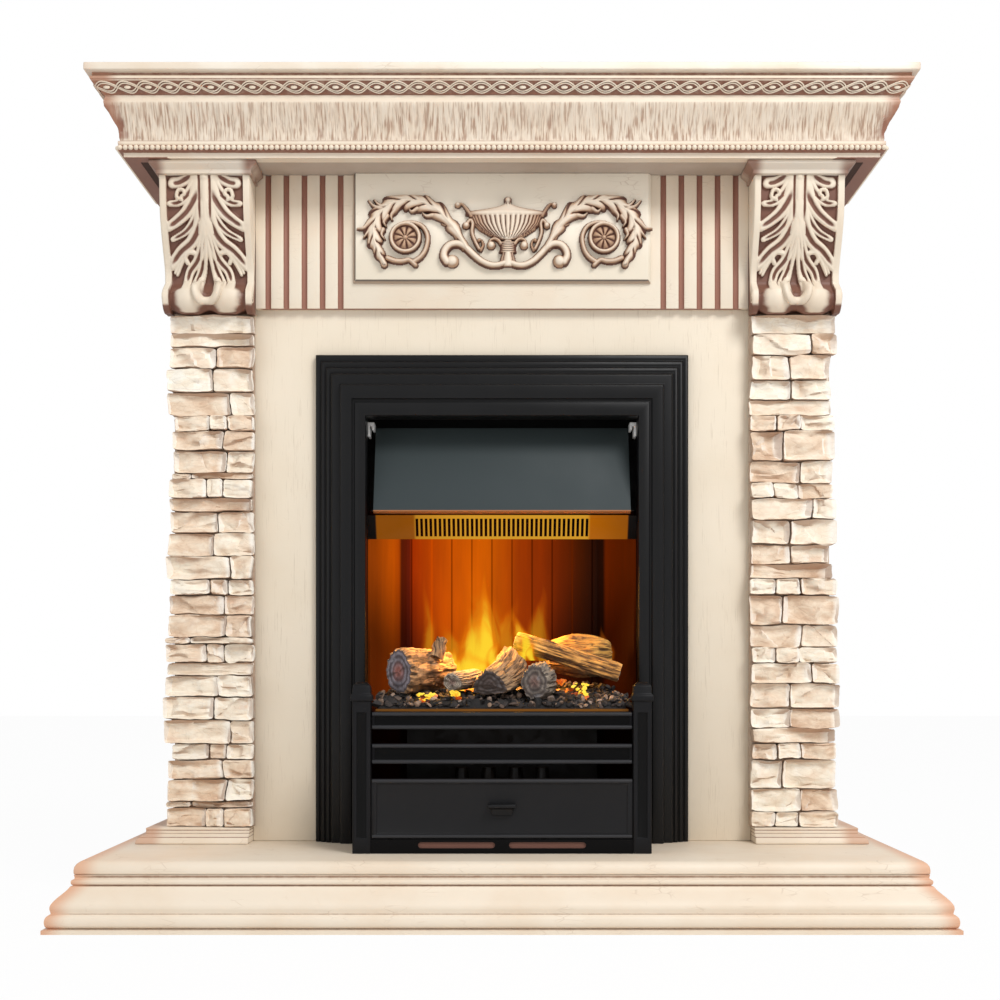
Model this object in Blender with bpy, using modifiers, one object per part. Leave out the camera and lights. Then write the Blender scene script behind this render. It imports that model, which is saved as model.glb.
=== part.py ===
"""Electric fireplace suite: a cast portal on a moulded hearth round an inset electric fire.

Metres, +Z up. The origin is at floor level, in the middle of the hearth's width and depth.
The front of the suite faces -Y and its back stands against a wall at +Y.
"""

import math

import bmesh
import bpy
from mathutils import Vector

# Overall sizes
OVERALL_WIDTH = 1.105
OVERALL_HEIGHT = 1.100
OVERALL_DEPTH = 0.410
SEAT_GAP = 0.0003
BOARD = 0.018
PANEL_STANDOFF = 0.150

# Hearth
HEARTH_HEIGHT = 0.084
HEARTH_BOARD = 0.016
HEARTH_NOSING = 0.0105
HEARTH_FOOT = 0.041
HEARTH_RAIL = 0.020

# Portal legs
PILASTER_CENTRE = 0.392
PILASTER_WIDTH = 0.104
PILASTER_PROUD = 0.005
PLINTH_HEIGHT = 0.021
PLINTH_WIDTH = 0.1516
PLINTH_PROUD = 0.0376
PLINTH_STEP = 0.012
STONE_BACKING = 0.012
STONE_SIDE_SHARE = 0.58
STONE_SKIN = 0.006
STONE_LAP = 0.004
STONE_WRAP = 0.0075
STONE_LEAST = 0.003
STONE_JOINT = 0.0022
STONE_REPEAT = 0.222
STONE_REPEATS = 3
CORBEL_HEIGHT = 0.176
CORBEL_WIDTH = 0.120
CORBEL_PROUD = 0.058
CORBEL_RIM = 0.0085
CORBEL_LAP = 0.005
CORBEL_FIELD = 0.005
CORBEL_LEAF = 0.0042
CORBEL_ROLL = 0.020
CORBEL_ROLL_SETBACK = 0.019
CORBEL_RIM_EDGE = 0.0015
CORBEL_FOOT = 0.004
CAP_HEIGHT = 0.0165
CAP_FLARE = 0.008
CAP_OVERHANG = 0.003
CAP_PROUD = 0.005

# Frieze
FRIEZE_HEIGHT = 0.1815
FRIEZE_BOARD = 0.0117
FLUTE_WIDTH = 0.0082
FLUTE_DEPTH = 0.004
FLUTE_PITCH = 0.0246
FLUTES = 5
RAISED_WIDTH = 0.404
RAISED_HEIGHT = 0.148
RAISED_BOARD = 0.008
RELIEF_SPAN = 0.399

# Mantel
CORNICE_HEIGHT = 0.100
CORNICE_WIDTH = 1.010
CORNICE_PROUD = 0.089
CORNICE_RAIL = 0.026
SHELF_BOARD = 0.010
SHELF_OVERHANG = 0.034

# Fire trim and casing
TRIM_WIDTH = 0.507
TRIM_BELOW_FRIEZE = 0.0622
TRIM_SIDE = 0.070
TRIM_TOP = 0.087
TRIM_LAP = 0.016
SHEET = 0.0015
CASING_CLEARANCE = 0.005
CASING_DEPTH = 0.135

# Fire chamber
MIRROR = 0.003
MIRROR_OVER_HOOD = 0.0038
MIRROR_BACK_HALF = 0.138
MIRROR_FRONT_INSET = 0.003
HOOD_HEIGHT = 0.119
HOOD_BELOW_TRIM = 0.009
HOOD_HALF = 0.174
HOOD_BOTTOM_PROUD = 0.025
HOOD_TOP_SETBACK = 0.020
HOOD_LIP = 0.008
GRILLE_DROP = 0.0305
GRILLE_SETBACK = 0.018
GRILLE_SLOTS = 38
GRILLE_PITCH = 0.00625
GRILLE_SLOT = 0.0037

# Fan heater
FAN_LENGTH = 0.220
FAN_RADIUS = 0.021
FAN_VANES = 16
FAN_SHAFT = 0.004
FAN_HOUSING_GAP = 0.004
MOTOR_LENGTH = 0.040
ELEMENT_DEPTH = 0.008

# Basket: fret, ash pan and fuel bed
FRET_PROUD = 0.150
FRET_WIDTH = 0.380
POST_WIDTH = 0.0232
POST_DEPTH = 0.020
POST_HEIGHT = 0.193
POST_CAP = 0.0246
POST_LIP = 0.0022
POST_RECESS_FOOT = 0.020
POST_RECESS_TOP = 0.014
POST_RECESS_MARGIN = 0.0055
BAR_DEPTH = 0.008
BAR_UPPER_Z = 0.2417
BAR_UPPER_HEIGHT = 0.0225
BAR_LOWER_Z = 0.1977
BAR_LOWER_HEIGHT = 0.0259
RECESS = 0.002
RECESS_MARGIN = 0.0045
BASKET_PLATE = 0.002
BASKET_FRONT_HEIGHT = 0.0181
BASKET_LEDGE = 0.018
AIR_SLOT_LENGTH = 0.098
AIR_SLOT_HEIGHT = 0.008
TRAY_PLATE = 0.003
TRAY_MARGIN = 0.010
BED_HEIGHT = 0.018
BED_LUMPS = 0.0022
BED_RISE = 0.016
BED_RISE_START = 0.075
BED_RISE_RUN = 0.060
BED_EDGE = 0.012
LOG_WANDER = 0.0015
LOG_CLEARANCE = 0.0007
BANK_LIMIT = 0.045
BANK_LAP = 0.004

# Ash pan drawer and water tank
DRAWER_HEIGHT = 0.0763
DRAWER_FRONT = 0.006
DRAWER_LEFT = 0.150
DRAWER_RIGHT = 0.060
DRAWER_DEPTH = 0.110
DRAWER_WALL_HEIGHT = 0.023
HANDLE_WIDTH = 0.035
HANDLE_HEIGHT = 0.014
HANDLE_PROUD = 0.012
TANK_CLEARANCE = 0.0008
TANK_HEIGHT = 0.048
TANK_DEPTH = 0.084
TANK_CAP_RADIUS = 0.014
TANK_CAP_HEIGHT = 0.008

# Controls and electrics
CONTROL_SETBACK = 0.026
CONTROL_WIDTH = 0.105
CONTROL_HEIGHT = 0.085
ROCKER_WIDTH = 0.012
ROCKER_HEIGHT = 0.018
ROCKER_PITCH = 0.018
ROCKER_PROUD = 0.005
KNOB_RADIUS = 0.009
KNOB_LENGTH = 0.012
MIST_WIDTH = 0.150
MIST_DEPTH = 0.060
MIST_HEIGHT = 0.070
LAMP_RADIUS = 0.012
LAMP_HEIGHT = 0.026
LAMP_SUNK = 0.004
LAMP_BAR = 0.006
LAMP_MARGIN = 0.010
ENGINE_SETBACK = 0.012
ENGINE_ROUND = 0.003
LAMPS = 4
INLET_RADIUS = 0.008

# Places worked out from the sizes
FRONT_Y = -OVERALL_DEPTH / 2
WALL_Y = OVERALL_DEPTH / 2
PANEL_Y = WALL_Y - PANEL_STANDOFF
HEARTH_HALF = OVERALL_WIDTH / 2 - HEARTH_FOOT
HEARTH_FRONT_Y = FRONT_Y + HEARTH_FOOT
FLOOR_Z = HEARTH_HEIGHT + SEAT_GAP
PLINTH_TOP = HEARTH_HEIGHT + PLINTH_HEIGHT
SHELF_Z = OVERALL_HEIGHT - SHELF_BOARD
SOFFIT_Z = SHELF_Z - CORNICE_HEIGHT
CAP_Z = SOFFIT_Z - CAP_HEIGHT
CORBEL_Z = CAP_Z - CORBEL_HEIGHT
CORE_INNER = PILASTER_CENTRE - PILASTER_WIDTH / 2
CORE_OUTER = PILASTER_CENTRE + PILASTER_WIDTH / 2
CORE_Y = PANEL_Y - PILASTER_PROUD
FRIEZE_Z = SOFFIT_Z - FRIEZE_HEIGHT
FRIEZE_Y = PANEL_Y - SEAT_GAP - FRIEZE_BOARD
CORBEL_CENTRE = CORE_INNER - CORBEL_LAP + CORBEL_WIDTH / 2
CORBEL_INNER = CORBEL_CENTRE - CORBEL_WIDTH / 2
TRIM_HALF = TRIM_WIDTH / 2
TRIM_INNER = TRIM_HALF - TRIM_SIDE
TRIM_Z = FRIEZE_Z - TRIM_BELOW_FRIEZE
TRIM_BACK_Y = PANEL_Y - SEAT_GAP
MOUTH_Z = TRIM_Z - TRIM_TOP
HOLE_HALF = TRIM_HALF - TRIM_LAP
HOLE_Z = TRIM_Z - TRIM_LAP
CASING_HALF = HOLE_HALF - CASING_CLEARANCE
CASING_Z = HOLE_Z - CASING_CLEARANCE
CASING_BACK_Y = PANEL_Y + CASING_DEPTH
CASING_FLOOR = FLOOR_Z + SHEET + SEAT_GAP
MIRROR_FRONT_Y = PANEL_Y + MIRROR_FRONT_INSET
MIRROR_BACK_Y = CASING_BACK_Y - SHEET - 0.0055 - MIRROR
HOOD_TOP = MOUTH_Z - HOOD_BELOW_TRIM
HOOD_Z = HOOD_TOP - HOOD_HEIGHT
MIRROR_TOP = HOOD_Z + MIRROR_OVER_HOOD
HOOD_FRONT_Y = PANEL_Y - HOOD_BOTTOM_PROUD
HOOD_BACK_Y = PANEL_Y + HOOD_TOP_SETBACK
CHAMBER_TOP = MIRROR_TOP + SEAT_GAP + SHEET
FAN_Y = (MIRROR_FRONT_Y + MIRROR_BACK_Y) / 2 + 0.012
FAN_Z = CHAMBER_TOP + SEAT_GAP + SHEET + FAN_HOUSING_GAP + FAN_RADIUS
FAN_LEFT = -FAN_LENGTH / 2 - 0.015
FRET_Y = PANEL_Y - FRET_PROUD
POST_INNER = FRET_WIDTH / 2 - POST_WIDTH
POST_BACK_Y = FRET_Y + POST_DEPTH
POST_Z = FLOOR_Z + POST_HEIGHT
BASKET_HALF = POST_INNER + POST_WIDTH / 2
BASKET_FRONT_TOP = FLOOR_Z + BASKET_FRONT_HEIGHT
BAY_HALF = POST_INNER - SEAT_GAP
BAR_Y = FRET_Y + 0.005
TRAY_Z = BAR_UPPER_Z + BAR_UPPER_HEIGHT + SEAT_GAP
TRAY_FRONT_Y = BAR_Y + BAR_DEPTH + SEAT_GAP
BED_Z = TRAY_Z + TRAY_PLATE + SEAT_GAP
BED_FRONT_Y = TRAY_FRONT_Y + 0.003
BED_BACK_Y = MIRROR_BACK_Y - 0.008
DRAWER_Z = BASKET_FRONT_TOP + SEAT_GAP
DRAWER_Y = FRET_Y + 0.003
TRAY_BOTTOM = DRAWER_Z + 0.0023
TRAY_START_Y = DRAWER_Y + DRAWER_FRONT + SEAT_GAP
CONTROL_Y = DRAWER_Y + DRAWER_FRONT + CONTROL_SETBACK
CONTROL_RIGHT = BASKET_HALF - BASKET_PLATE / 2 - SEAT_GAP
CONTROL_LEFT = CONTROL_RIGHT - CONTROL_WIDTH
CONTROL_Z = FLOOR_Z + BASKET_PLATE + SEAT_GAP
ROCKER_Z = CONTROL_Z + CONTROL_HEIGHT * 0.68
KNOB_Z = CONTROL_Z + CONTROL_HEIGHT * 0.68

# Moulding profiles: distance beyond the moulding's datum edge, then height above its foot
HEARTH_PROFILE = (
    (HEARTH_FOOT, 0.0), (HEARTH_FOOT, 0.005), (0.0335, 0.0058), (0.0368, 0.0085), (0.0380, 0.0140),
    (0.0368, 0.0195), (0.0335, 0.0225), (0.0317, 0.0235), (0.0322, 0.0268), (0.0328, 0.0300),
    (0.0318, 0.0345), (0.0275, 0.0400), (0.0215, 0.0455), (0.0165, 0.0500), (0.0133, 0.0540),
    (0.0105, 0.0552), (0.0122, 0.0566), (0.0128, 0.0590), (0.0122, 0.0614), (0.0098, 0.0626),
    (0.0090, 0.0645), (0.0098, 0.0677),
)
CORNICE_PROFILE = (
    (-0.0080, 0.0), (-0.0080, 0.0062), (-0.0040, 0.0070), (-0.0010, 0.0088), (0.0, 0.0115),
    (-0.0010, 0.0142), (-0.0030, 0.0155), (-0.0020, 0.0160), (-0.0020, 0.0200), (-0.0040, 0.0208),
    (-0.0040, 0.0260), (-0.0030, 0.0320), (-0.0006, 0.0390), (0.0034, 0.0470), (0.0080, 0.0550),
    (0.0128, 0.0640), (0.0130, 0.0680), (0.0120, 0.0700), (0.0120, 0.0752), (0.0150, 0.0760),
    (0.0172, 0.0790), (0.0220, 0.0840), (0.0267, 0.0885), (0.0270, 0.0895), (0.0276, 0.0920),
    (0.0270, 0.0945), (0.0250, 0.0955), (0.0250, 0.0997),
)
# The trim's section: distance in from its outer edge, then how far it stands off the panel
TRIM_SECTION = (
    (0.0, 0.0), (0.0, 0.0080), (0.0015, 0.0105), (0.0045, 0.0115), (0.0068, 0.0100), (0.0075, 0.0120),
    (0.0090, 0.0150), (0.0120, 0.0160), (0.0142, 0.0145), (0.0150, 0.0165), (0.0165, 0.0200),
    (0.0195, 0.0210), (0.0215, 0.0195), (0.0222, 0.0215), (0.0235, 0.0245), (0.0250, 0.0260),
    (0.0345, 0.0262), (0.0355, 0.0300), (0.0362, 0.0345), (0.0380, 0.0360), (0.0515, 0.0362),
    (0.0520, 0.0320), (0.0550, 0.0320), (0.0555, 0.0345), (0.0690, 0.0345), (0.0700, 0.0330),
    (0.0700, 0.0),
)
# Course heights of one stone casting from the top down, and where each course is split,
# as shares of the column's width from its outer edge
STONE_COURSES = {
    -1: (
        (0.0181, ()), (0.0284, (0.57,)), (0.0311, (0.53,)), (0.0317, (0.73,)), (0.0216, (0.48, 0.69)),
        (0.0263, (0.64,)), (0.0304, (0.68,)), (0.0088, (0.25,)), (0.0256, (0.44, 0.66)),
    ),
    1: (
        (0.0284, (0.28,)), (0.0336, (0.53,)), (0.0265, (0.51,)), (0.0200, ()), (0.0223, (0.42, 0.70)),
        (0.0399, (0.62,)), (0.0304, (0.40,)), (0.0209, (0.43, 0.72)),
    ),
}
STONE_DEPTHS = (0.0085, 0.0118, 0.0062, 0.0130, 0.0095, 0.0050, 0.0110, 0.0073)
# The corbel's front seen from the side: share of its height, share of its projection
CORBEL_CURVE = (
    (1.000, 1.00), (0.985, 1.00), (0.960, 0.965), (0.900, 0.955), (0.800, 0.930), (0.700, 0.870),
    (0.600, 0.760), (0.500, 0.610), (0.400, 0.440), (0.320, 0.320), (0.260, 0.285),
)

FINISHES = {
    "cream_cast": ((0.84, 0.74, 0.56), 0.55, 0.0),
    "stone": ((0.76, 0.66, 0.50), 0.85, 0.0),
    "core_board": ((0.62, 0.50, 0.36), 0.80, 0.0),
    "satin_black": ((0.014, 0.014, 0.018), 0.38, 0.6),
    "hood_grey": ((0.070, 0.090, 0.093), 0.40, 0.5),
    "copper_mirror": ((0.60, 0.24, 0.05), 0.10, 1.0),
    "galvanised": ((0.52, 0.53, 0.54), 0.45, 0.9),
    "copper_plate": ((0.55, 0.22, 0.06), 0.30, 1.0),
    "log_resin": ((0.26, 0.19, 0.14), 0.80, 0.0),
    "coal": ((0.035, 0.034, 0.036), 0.75, 0.0),
    "white_plastic": ((0.82, 0.82, 0.80), 0.45, 0.0),
    "black_plastic": ((0.020, 0.020, 0.022), 0.50, 0.0),
    "tank_plastic": ((0.55, 0.62, 0.66), 0.20, 0.0),
    "ceramic": ((0.78, 0.76, 0.70), 0.60, 0.0),
}

PARTS = None
CUTTERS = None


def start_scene():
    """Clears the scene and makes the two collections."""
    global PARTS, CUTTERS
    for old in list(bpy.data.objects):
        bpy.data.objects.remove(old, do_unlink=True)
    PARTS = bpy.data.collections.new("electric_fireplace_suite")
    CUTTERS = bpy.data.collections.new("cutters")
    bpy.context.scene.collection.children.link(PARTS)
    bpy.context.scene.collection.children.link(CUTTERS)


def finish_for(node, finish):
    """A Principled material of the piece's own."""
    colour, roughness, metallic = FINISHES[finish]
    material = bpy.data.materials.new(node + "_finish")
    material.use_nodes = True
    shader = material.node_tree.nodes["Principled BSDF"]
    shader.inputs["Base Color"].default_value = (*colour, 1.0)
    shader.inputs["Roughness"].default_value = roughness
    shader.inputs["Metallic"].default_value = metallic
    return material


def object_from(work, name, at=(0.0, 0.0, 0.0), collection=None):
    """An object whose mesh was drawn in world places and whose origin is set at one point."""
    bmesh.ops.recalc_face_normals(work, faces=work.faces[:])
    bmesh.ops.translate(work, vec=-Vector(at), verts=work.verts[:])
    mesh = bpy.data.meshes.new(name)
    work.to_mesh(mesh)
    work.free()
    made = bpy.data.objects.new(name, mesh)
    made.location = at
    (collection or PARTS).objects.link(made)
    return made


def finished(made, finish, parent=None, smooth=None):
    """Gives a piece its material, its parent and, on round pieces, smooth shading."""
    made.data.materials.append(finish_for(made.name, finish))
    if smooth is not None:
        made.data.shade_smooth()
        made.data.set_sharp_from_angle(angle=math.radians(smooth))
    if parent is not None:
        made.parent = parent
        made.location = Vector(made.location) - Vector(parent.get("world_at", (0.0, 0.0, 0.0)))
        made["world_at"] = tuple(Vector(parent.get("world_at", (0.0, 0.0, 0.0))) + made.location)
    else:
        made["world_at"] = tuple(made.location)
    return made


def add_box(work, low, high):
    """A box between two corners."""
    low, high = Vector(low), Vector(high)
    made = bmesh.ops.create_cube(work, size=1.0)
    bmesh.ops.scale(work, vec=high - low, verts=made["verts"])
    bmesh.ops.translate(work, vec=(low + high) / 2, verts=made["verts"])
    return made["verts"]


def add_round(work, start, end, radius_start, radius_end, sides=24):
    """A round bar or cone between two points."""
    start, end = Vector(start), Vector(end)
    run = end - start
    made = bmesh.ops.create_cone(
        work, cap_ends=True, segments=sides, radius1=radius_start, radius2=radius_end, depth=run.length
    )
    bmesh.ops.rotate(work, matrix=run.to_track_quat("Z", "Y").to_matrix(), verts=made["verts"])
    bmesh.ops.translate(work, vec=(start + end) / 2, verts=made["verts"])
    return made["verts"]


def add_loft(work, sections):
    """A closed body through like-numbered rings of points, with a face at each end."""
    rings = [[work.verts.new(point) for point in section] for section in sections]
    work.faces.new(rings[0])
    work.faces.new(rings[-1])
    for ring, following in zip(rings, rings[1:]):
        for index in range(len(ring)):
            after = (index + 1) % len(ring)
            work.faces.new((ring[index], ring[after], following[after], following[index]))


def box(name, low, high, finish, parent=None, at=(0.0, 0.0, 0.0), round_edges=0.0):
    """A board, plate or block, its edges rounded where a width is given."""
    work = bmesh.new()
    add_box(work, low, high)
    made = object_from(work, name, at)
    if round_edges:
        edges = made.modifiers.new("rounded", "BEVEL")
        edges.width = round_edges
        edges.segments = 2
    return finished(made, finish, parent)


def loft(name, sections, finish, parent=None, at=(0.0, 0.0, 0.0), smooth=None):
    """A piece lofted through its sections."""
    work = bmesh.new()
    add_loft(work, sections)
    return finished(object_from(work, name, at), finish, parent, smooth)


def cutter_of(name, work):
    """A hidden helper for a Boolean."""
    made = object_from(work, name, collection=CUTTERS)
    made.hide_render = True
    made.display_type = "WIRE"
    return made


def join_with(made, helper, operation):
    """A Boolean of a piece with a helper."""
    change = made.modifiers.new(operation.lower() + "_" + helper.name, "BOOLEAN")
    change.operation = operation
    change.solver = "EXACT"
    change.object = helper


def cut_box(made, low, high):
    """Cuts a box out of a piece."""
    work = bmesh.new()
    add_box(work, low, high)
    join_with(made, cutter_of(made.name + "_cut", work), "DIFFERENCE")


def mitred(name, corners, profile, finish, smooth=None):
    """A moulding along a path with mitred corners; corners map (out, up) to world points."""
    return loft(name, [[corner(out, up) for out, up in profile] for corner in corners], finish, smooth=smooth)


def three_sided(half, front_y, foot_z):
    """Corner functions for a moulding down the left side, along the front and up the right."""
    return (
        lambda out, up: (-half - out, WALL_Y, foot_z + up),
        lambda out, up: (-half - out, front_y - out, foot_z + up),
        lambda out, up: (half + out, front_y - out, foot_z + up),
        lambda out, up: (half + out, WALL_Y, foot_z + up),
    )


def rectangle_at(z, low, high):
    """The four corners of a level rectangle."""
    return [(low[0], low[1], z), (high[0], low[1], z), (high[0], high[1], z), (low[0], high[1], z)]


def make_hearth():
    """The core board, the mitred moulding round it and the nosed top board."""
    top = HEARTH_HEIGHT - HEARTH_BOARD
    inner = HEARTH_HALF - HEARTH_RAIL - SEAT_GAP
    box(
        "hearth_core",
        (-inner, HEARTH_FRONT_Y + HEARTH_RAIL + SEAT_GAP, 0.0),
        (inner, WALL_Y, top - SEAT_GAP),
        "core_board",
    )
    scale = (top - SEAT_GAP) / HEARTH_PROFILE[-1][1]
    profile = [(out, up * scale) for out, up in HEARTH_PROFILE]
    profile += [(-HEARTH_RAIL, top - SEAT_GAP), (-HEARTH_RAIL, 0.0)]
    mitred("hearth_moulding", three_sided(HEARTH_HALF, HEARTH_FRONT_Y, 0.0), profile, "cream_cast", smooth=40)
    steps = 4
    sections = [rectangle_at(
        top, (-HEARTH_HALF - HEARTH_NOSING, HEARTH_FRONT_Y - HEARTH_NOSING), (HEARTH_HALF + HEARTH_NOSING, WALL_Y)
    )]
    for step in range(steps + 1):
        turn = step / steps * math.pi / 2
        out = HEARTH_NOSING * math.cos(turn)
        up = top + HEARTH_BOARD * (0.35 + 0.65 * math.sin(turn))
        sections.append(rectangle_at(up, (-HEARTH_HALF - out, HEARTH_FRONT_Y - out), (HEARTH_HALF + out, WALL_Y)))
    loft("hearth_top_board", sections, "cream_cast", smooth=40)


def make_plinth(side, word):
    """The block under a column, with an ovolo up to a fillet."""
    half = PLINTH_WIDTH / 2
    centre = CORE_INNER + half
    front = CORE_Y - PLINTH_PROUD
    sections = []
    foot = FLOOR_Z
    ovolo = 0.52 * PLINTH_HEIGHT
    steps = 4
    for step in range(steps + 1):
        turn = step / steps * math.pi / 2
        inset = 0.8 * PLINTH_STEP * (1 - math.cos(turn))
        sections.append((foot + ovolo * (0.1 + 0.9 * math.sin(turn)), inset))
    rows = [(foot, 0.0)] + sections + [(foot + 0.60 * PLINTH_HEIGHT, PLINTH_STEP), (PLINTH_TOP, PLINTH_STEP)]
    rings = []
    for z, inset in rows:
        outer = side * (centre + half - inset)
        inner = side * (centre - half)
        low, high = sorted((outer, inner))
        rings.append(rectangle_at(z, (low, front + inset), (high, WALL_Y)))
    loft("plinth_" + word, rings, "cream_cast", smooth=40)


def stone_boxes(side, work, low_z, high_z):
    """The stones that stand off a column's backing, course by course from the top down."""
    front = CORE_Y - SEAT_GAP - STONE_BACKING
    outer = CORE_OUTER + SEAT_GAP + STONE_SKIN
    inner = CORE_INNER - STONE_LAP
    width = outer - inner
    courses = [(high_z - low_z - STONE_REPEAT * STONE_REPEATS, ())] if (
        high_z - low_z > STONE_REPEAT * STONE_REPEATS + 0.004
    ) else []
    scale = STONE_REPEAT / sum(height for height, _ in STONE_COURSES[side])
    for _ in range(STONE_REPEATS):
        courses += [(height * scale, splits) for height, splits in STONE_COURSES[side]]
    top = high_z
    count = 0
    for height, splits in courses:
        bottom = max(top - height, low_z)
        if top - bottom < 2 * STONE_JOINT:
            continue
        edges = [0.0, *splits, 1.0]
        for start, end in zip(edges, edges[1:]):
            depth = STONE_DEPTHS[(count * 3) % len(STONE_DEPTHS)]
            near = outer - start * width - (STONE_JOINT / 2 if start else -STONE_WRAP)
            far = outer - end * width + (STONE_JOINT / 2 if end < 1 else STONE_JOINT)
            low, high = sorted((side * near, side * far))
            back = front + STONE_BACKING / 2
            add_box(
                work, (low, front - depth, bottom + STONE_JOINT / 2), (high, back, top - STONE_JOINT / 2)
            )
            count += 1
        proud = STONE_DEPTHS[count % len(STONE_DEPTHS)] * STONE_SIDE_SHARE
        low, high = sorted((side * (outer - 0.002), side * (outer + max(proud, STONE_LEAST))))
        add_box(
            work, (low, front + STONE_BACKING, bottom + STONE_JOINT / 2), (high, WALL_Y - 0.002, top - STONE_JOINT / 2)
        )
        top = bottom


def make_column(side, word):
    """The pilaster's core board and the cast stone cladding on its front and outer side."""
    low_x, high_x = sorted((side * CORE_INNER, side * CORE_OUTER))
    box(
        "pilaster_core_" + word,
        (low_x, CORE_Y, PLINTH_TOP + SEAT_GAP),
        (high_x, WALL_Y, SOFFIT_Z - SEAT_GAP),
        "core_board",
    )
    low_z, high_z = PLINTH_TOP + SEAT_GAP, CORBEL_Z - SEAT_GAP
    front = CORE_Y - SEAT_GAP - STONE_BACKING
    skin = CORE_OUTER + SEAT_GAP
    outline = [
        (side * (CORE_INNER - STONE_LAP), front), (side * (skin + STONE_SKIN), front),
        (side * (skin + STONE_SKIN), WALL_Y), (side * skin, WALL_Y), (side * skin, CORE_Y - SEAT_GAP),
        (side * (CORE_INNER - STONE_LAP), CORE_Y - SEAT_GAP),
    ]
    column = loft(
        "stone_column_" + word,
        [[(x, y, low_z) for x, y in outline], [(x, y, high_z) for x, y in outline]],
        "stone",
    )
    stones = bmesh.new()
    stone_boxes(side, stones, low_z, high_z)
    join_with(column, cutter_of("stones_" + word, stones), "UNION")


def leaf_rise(across, along):
    """Relief of the acanthus leaf: across is -1 to 1 over the field, along 0 at its foot to 1 at its top."""
    if not 0.03 < along < 0.97:
        return 0.0
    lobes = 0.72 + 0.28 * abs(math.sin(math.pi * (3.4 * along + 0.35)))
    taper = min(1.0, 0.55 + 2.4 * along) * (1.0 - 0.25 * along)
    reach = lobes * taper
    share = abs(across) / reach
    if share >= 1.0:
        return 0.0
    rise = (1.0 - share ** 2) ** 0.5 * 0.62
    rise += 0.38 * max(0.0, 1.0 - abs(across) / 0.16)
    return rise


def corbel_section(x, across, side):
    """The corbel's side outline at one place across it, with its field and leaf."""
    points = []
    foot_roll = CORBEL_Z + SEAT_GAP + CORBEL_ROLL
    for share_up, share_out in CORBEL_CURVE:
        sunk = 0.0
        if abs(across) <= 1.0 and 0.05 < share_up < 0.955:
            sunk = CORBEL_FIELD - CORBEL_LEAF * leaf_rise(across, (share_up - 0.2) / 0.78)
        points.append((x, CORE_Y - SEAT_GAP - CORBEL_PROUD * share_out + sunk, CORBEL_Z + CORBEL_HEIGHT * share_up))
    roll_y = CORE_Y - SEAT_GAP - CORBEL_ROLL_SETBACK
    swell = 1.0 + (0.10 * math.cos(math.pi * across) ** 2 if abs(across) <= 1.0 else 0.0)
    for turn in range(7):
        angle = math.radians(40 + turn * 30)
        reach = CORBEL_ROLL * (swell if 0 < turn < 6 else 1.0) * 0.95
        points.append((x, min(roll_y - reach * math.sin(angle), CORE_Y - SEAT_GAP - CORBEL_FOOT),
                       foot_roll + reach * math.cos(angle) * 0.95))
    points.append((x, CORE_Y - SEAT_GAP, CORBEL_Z + SEAT_GAP + CORBEL_FOOT))
    points.append((x, CORE_Y - SEAT_GAP, CORBEL_Z + CORBEL_HEIGHT - SEAT_GAP))
    top = (x, points[0][1], CORBEL_Z + CORBEL_HEIGHT - SEAT_GAP)
    return [top] + points[1:]


def make_corbel(side, word):
    """A scrolled corbel with a leaf in its field, and the flared cap on it."""
    centre = side * CORBEL_CENTRE
    half = CORBEL_WIDTH / 2
    field = half - CORBEL_RIM
    stations = [(-half, -2.0), (-field - CORBEL_RIM_EDGE, -2.0)]
    steps = 14
    stations += [(-field + 2 * field * step / steps, -1.0 + 2.0 * step / steps) for step in range(steps + 1)]
    stations += [(field + CORBEL_RIM_EDGE, 2.0), (half, 2.0)]
    loft(
        "corbel_" + word,
        [corbel_section(centre + x, across, side) for x, across in stations],
        "cream_cast",
        smooth=35,
    )
    cap_back = FRIEZE_Y - SEAT_GAP
    front = CORE_Y - SEAT_GAP - CORBEL_PROUD - CAP_PROUD
    wide = half + CAP_OVERHANG
    rings = []
    for share, out in ((0.0, 0.0), (0.32, 0.0), (0.42, 0.25), (0.62, 0.75), (0.72, 1.0), (1.0, 1.0)):
        spread = CAP_FLARE * out
        z = CAP_Z + SEAT_GAP + (CAP_HEIGHT - 2 * SEAT_GAP) * share
        rings.append(rectangle_at(z, (centre - wide - spread, front - spread), (centre + wide + spread, cap_back)))
    loft("corbel_cap_" + word, rings, "cream_cast")


def make_surround():
    """The panel round the fire, open at the bottom."""
    panel = box(
        "surround_panel",
        (-CORE_INNER + SEAT_GAP, PANEL_Y, FLOOR_Z),
        (CORE_INNER - SEAT_GAP, PANEL_Y + BOARD, SOFFIT_Z - SEAT_GAP),
        "cream_cast",
    )
    cut_box(panel, (-HOLE_HALF, PANEL_Y - BOARD, 0.0), (HOLE_HALF, PANEL_Y + 2 * BOARD, HOLE_Z))


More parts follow.
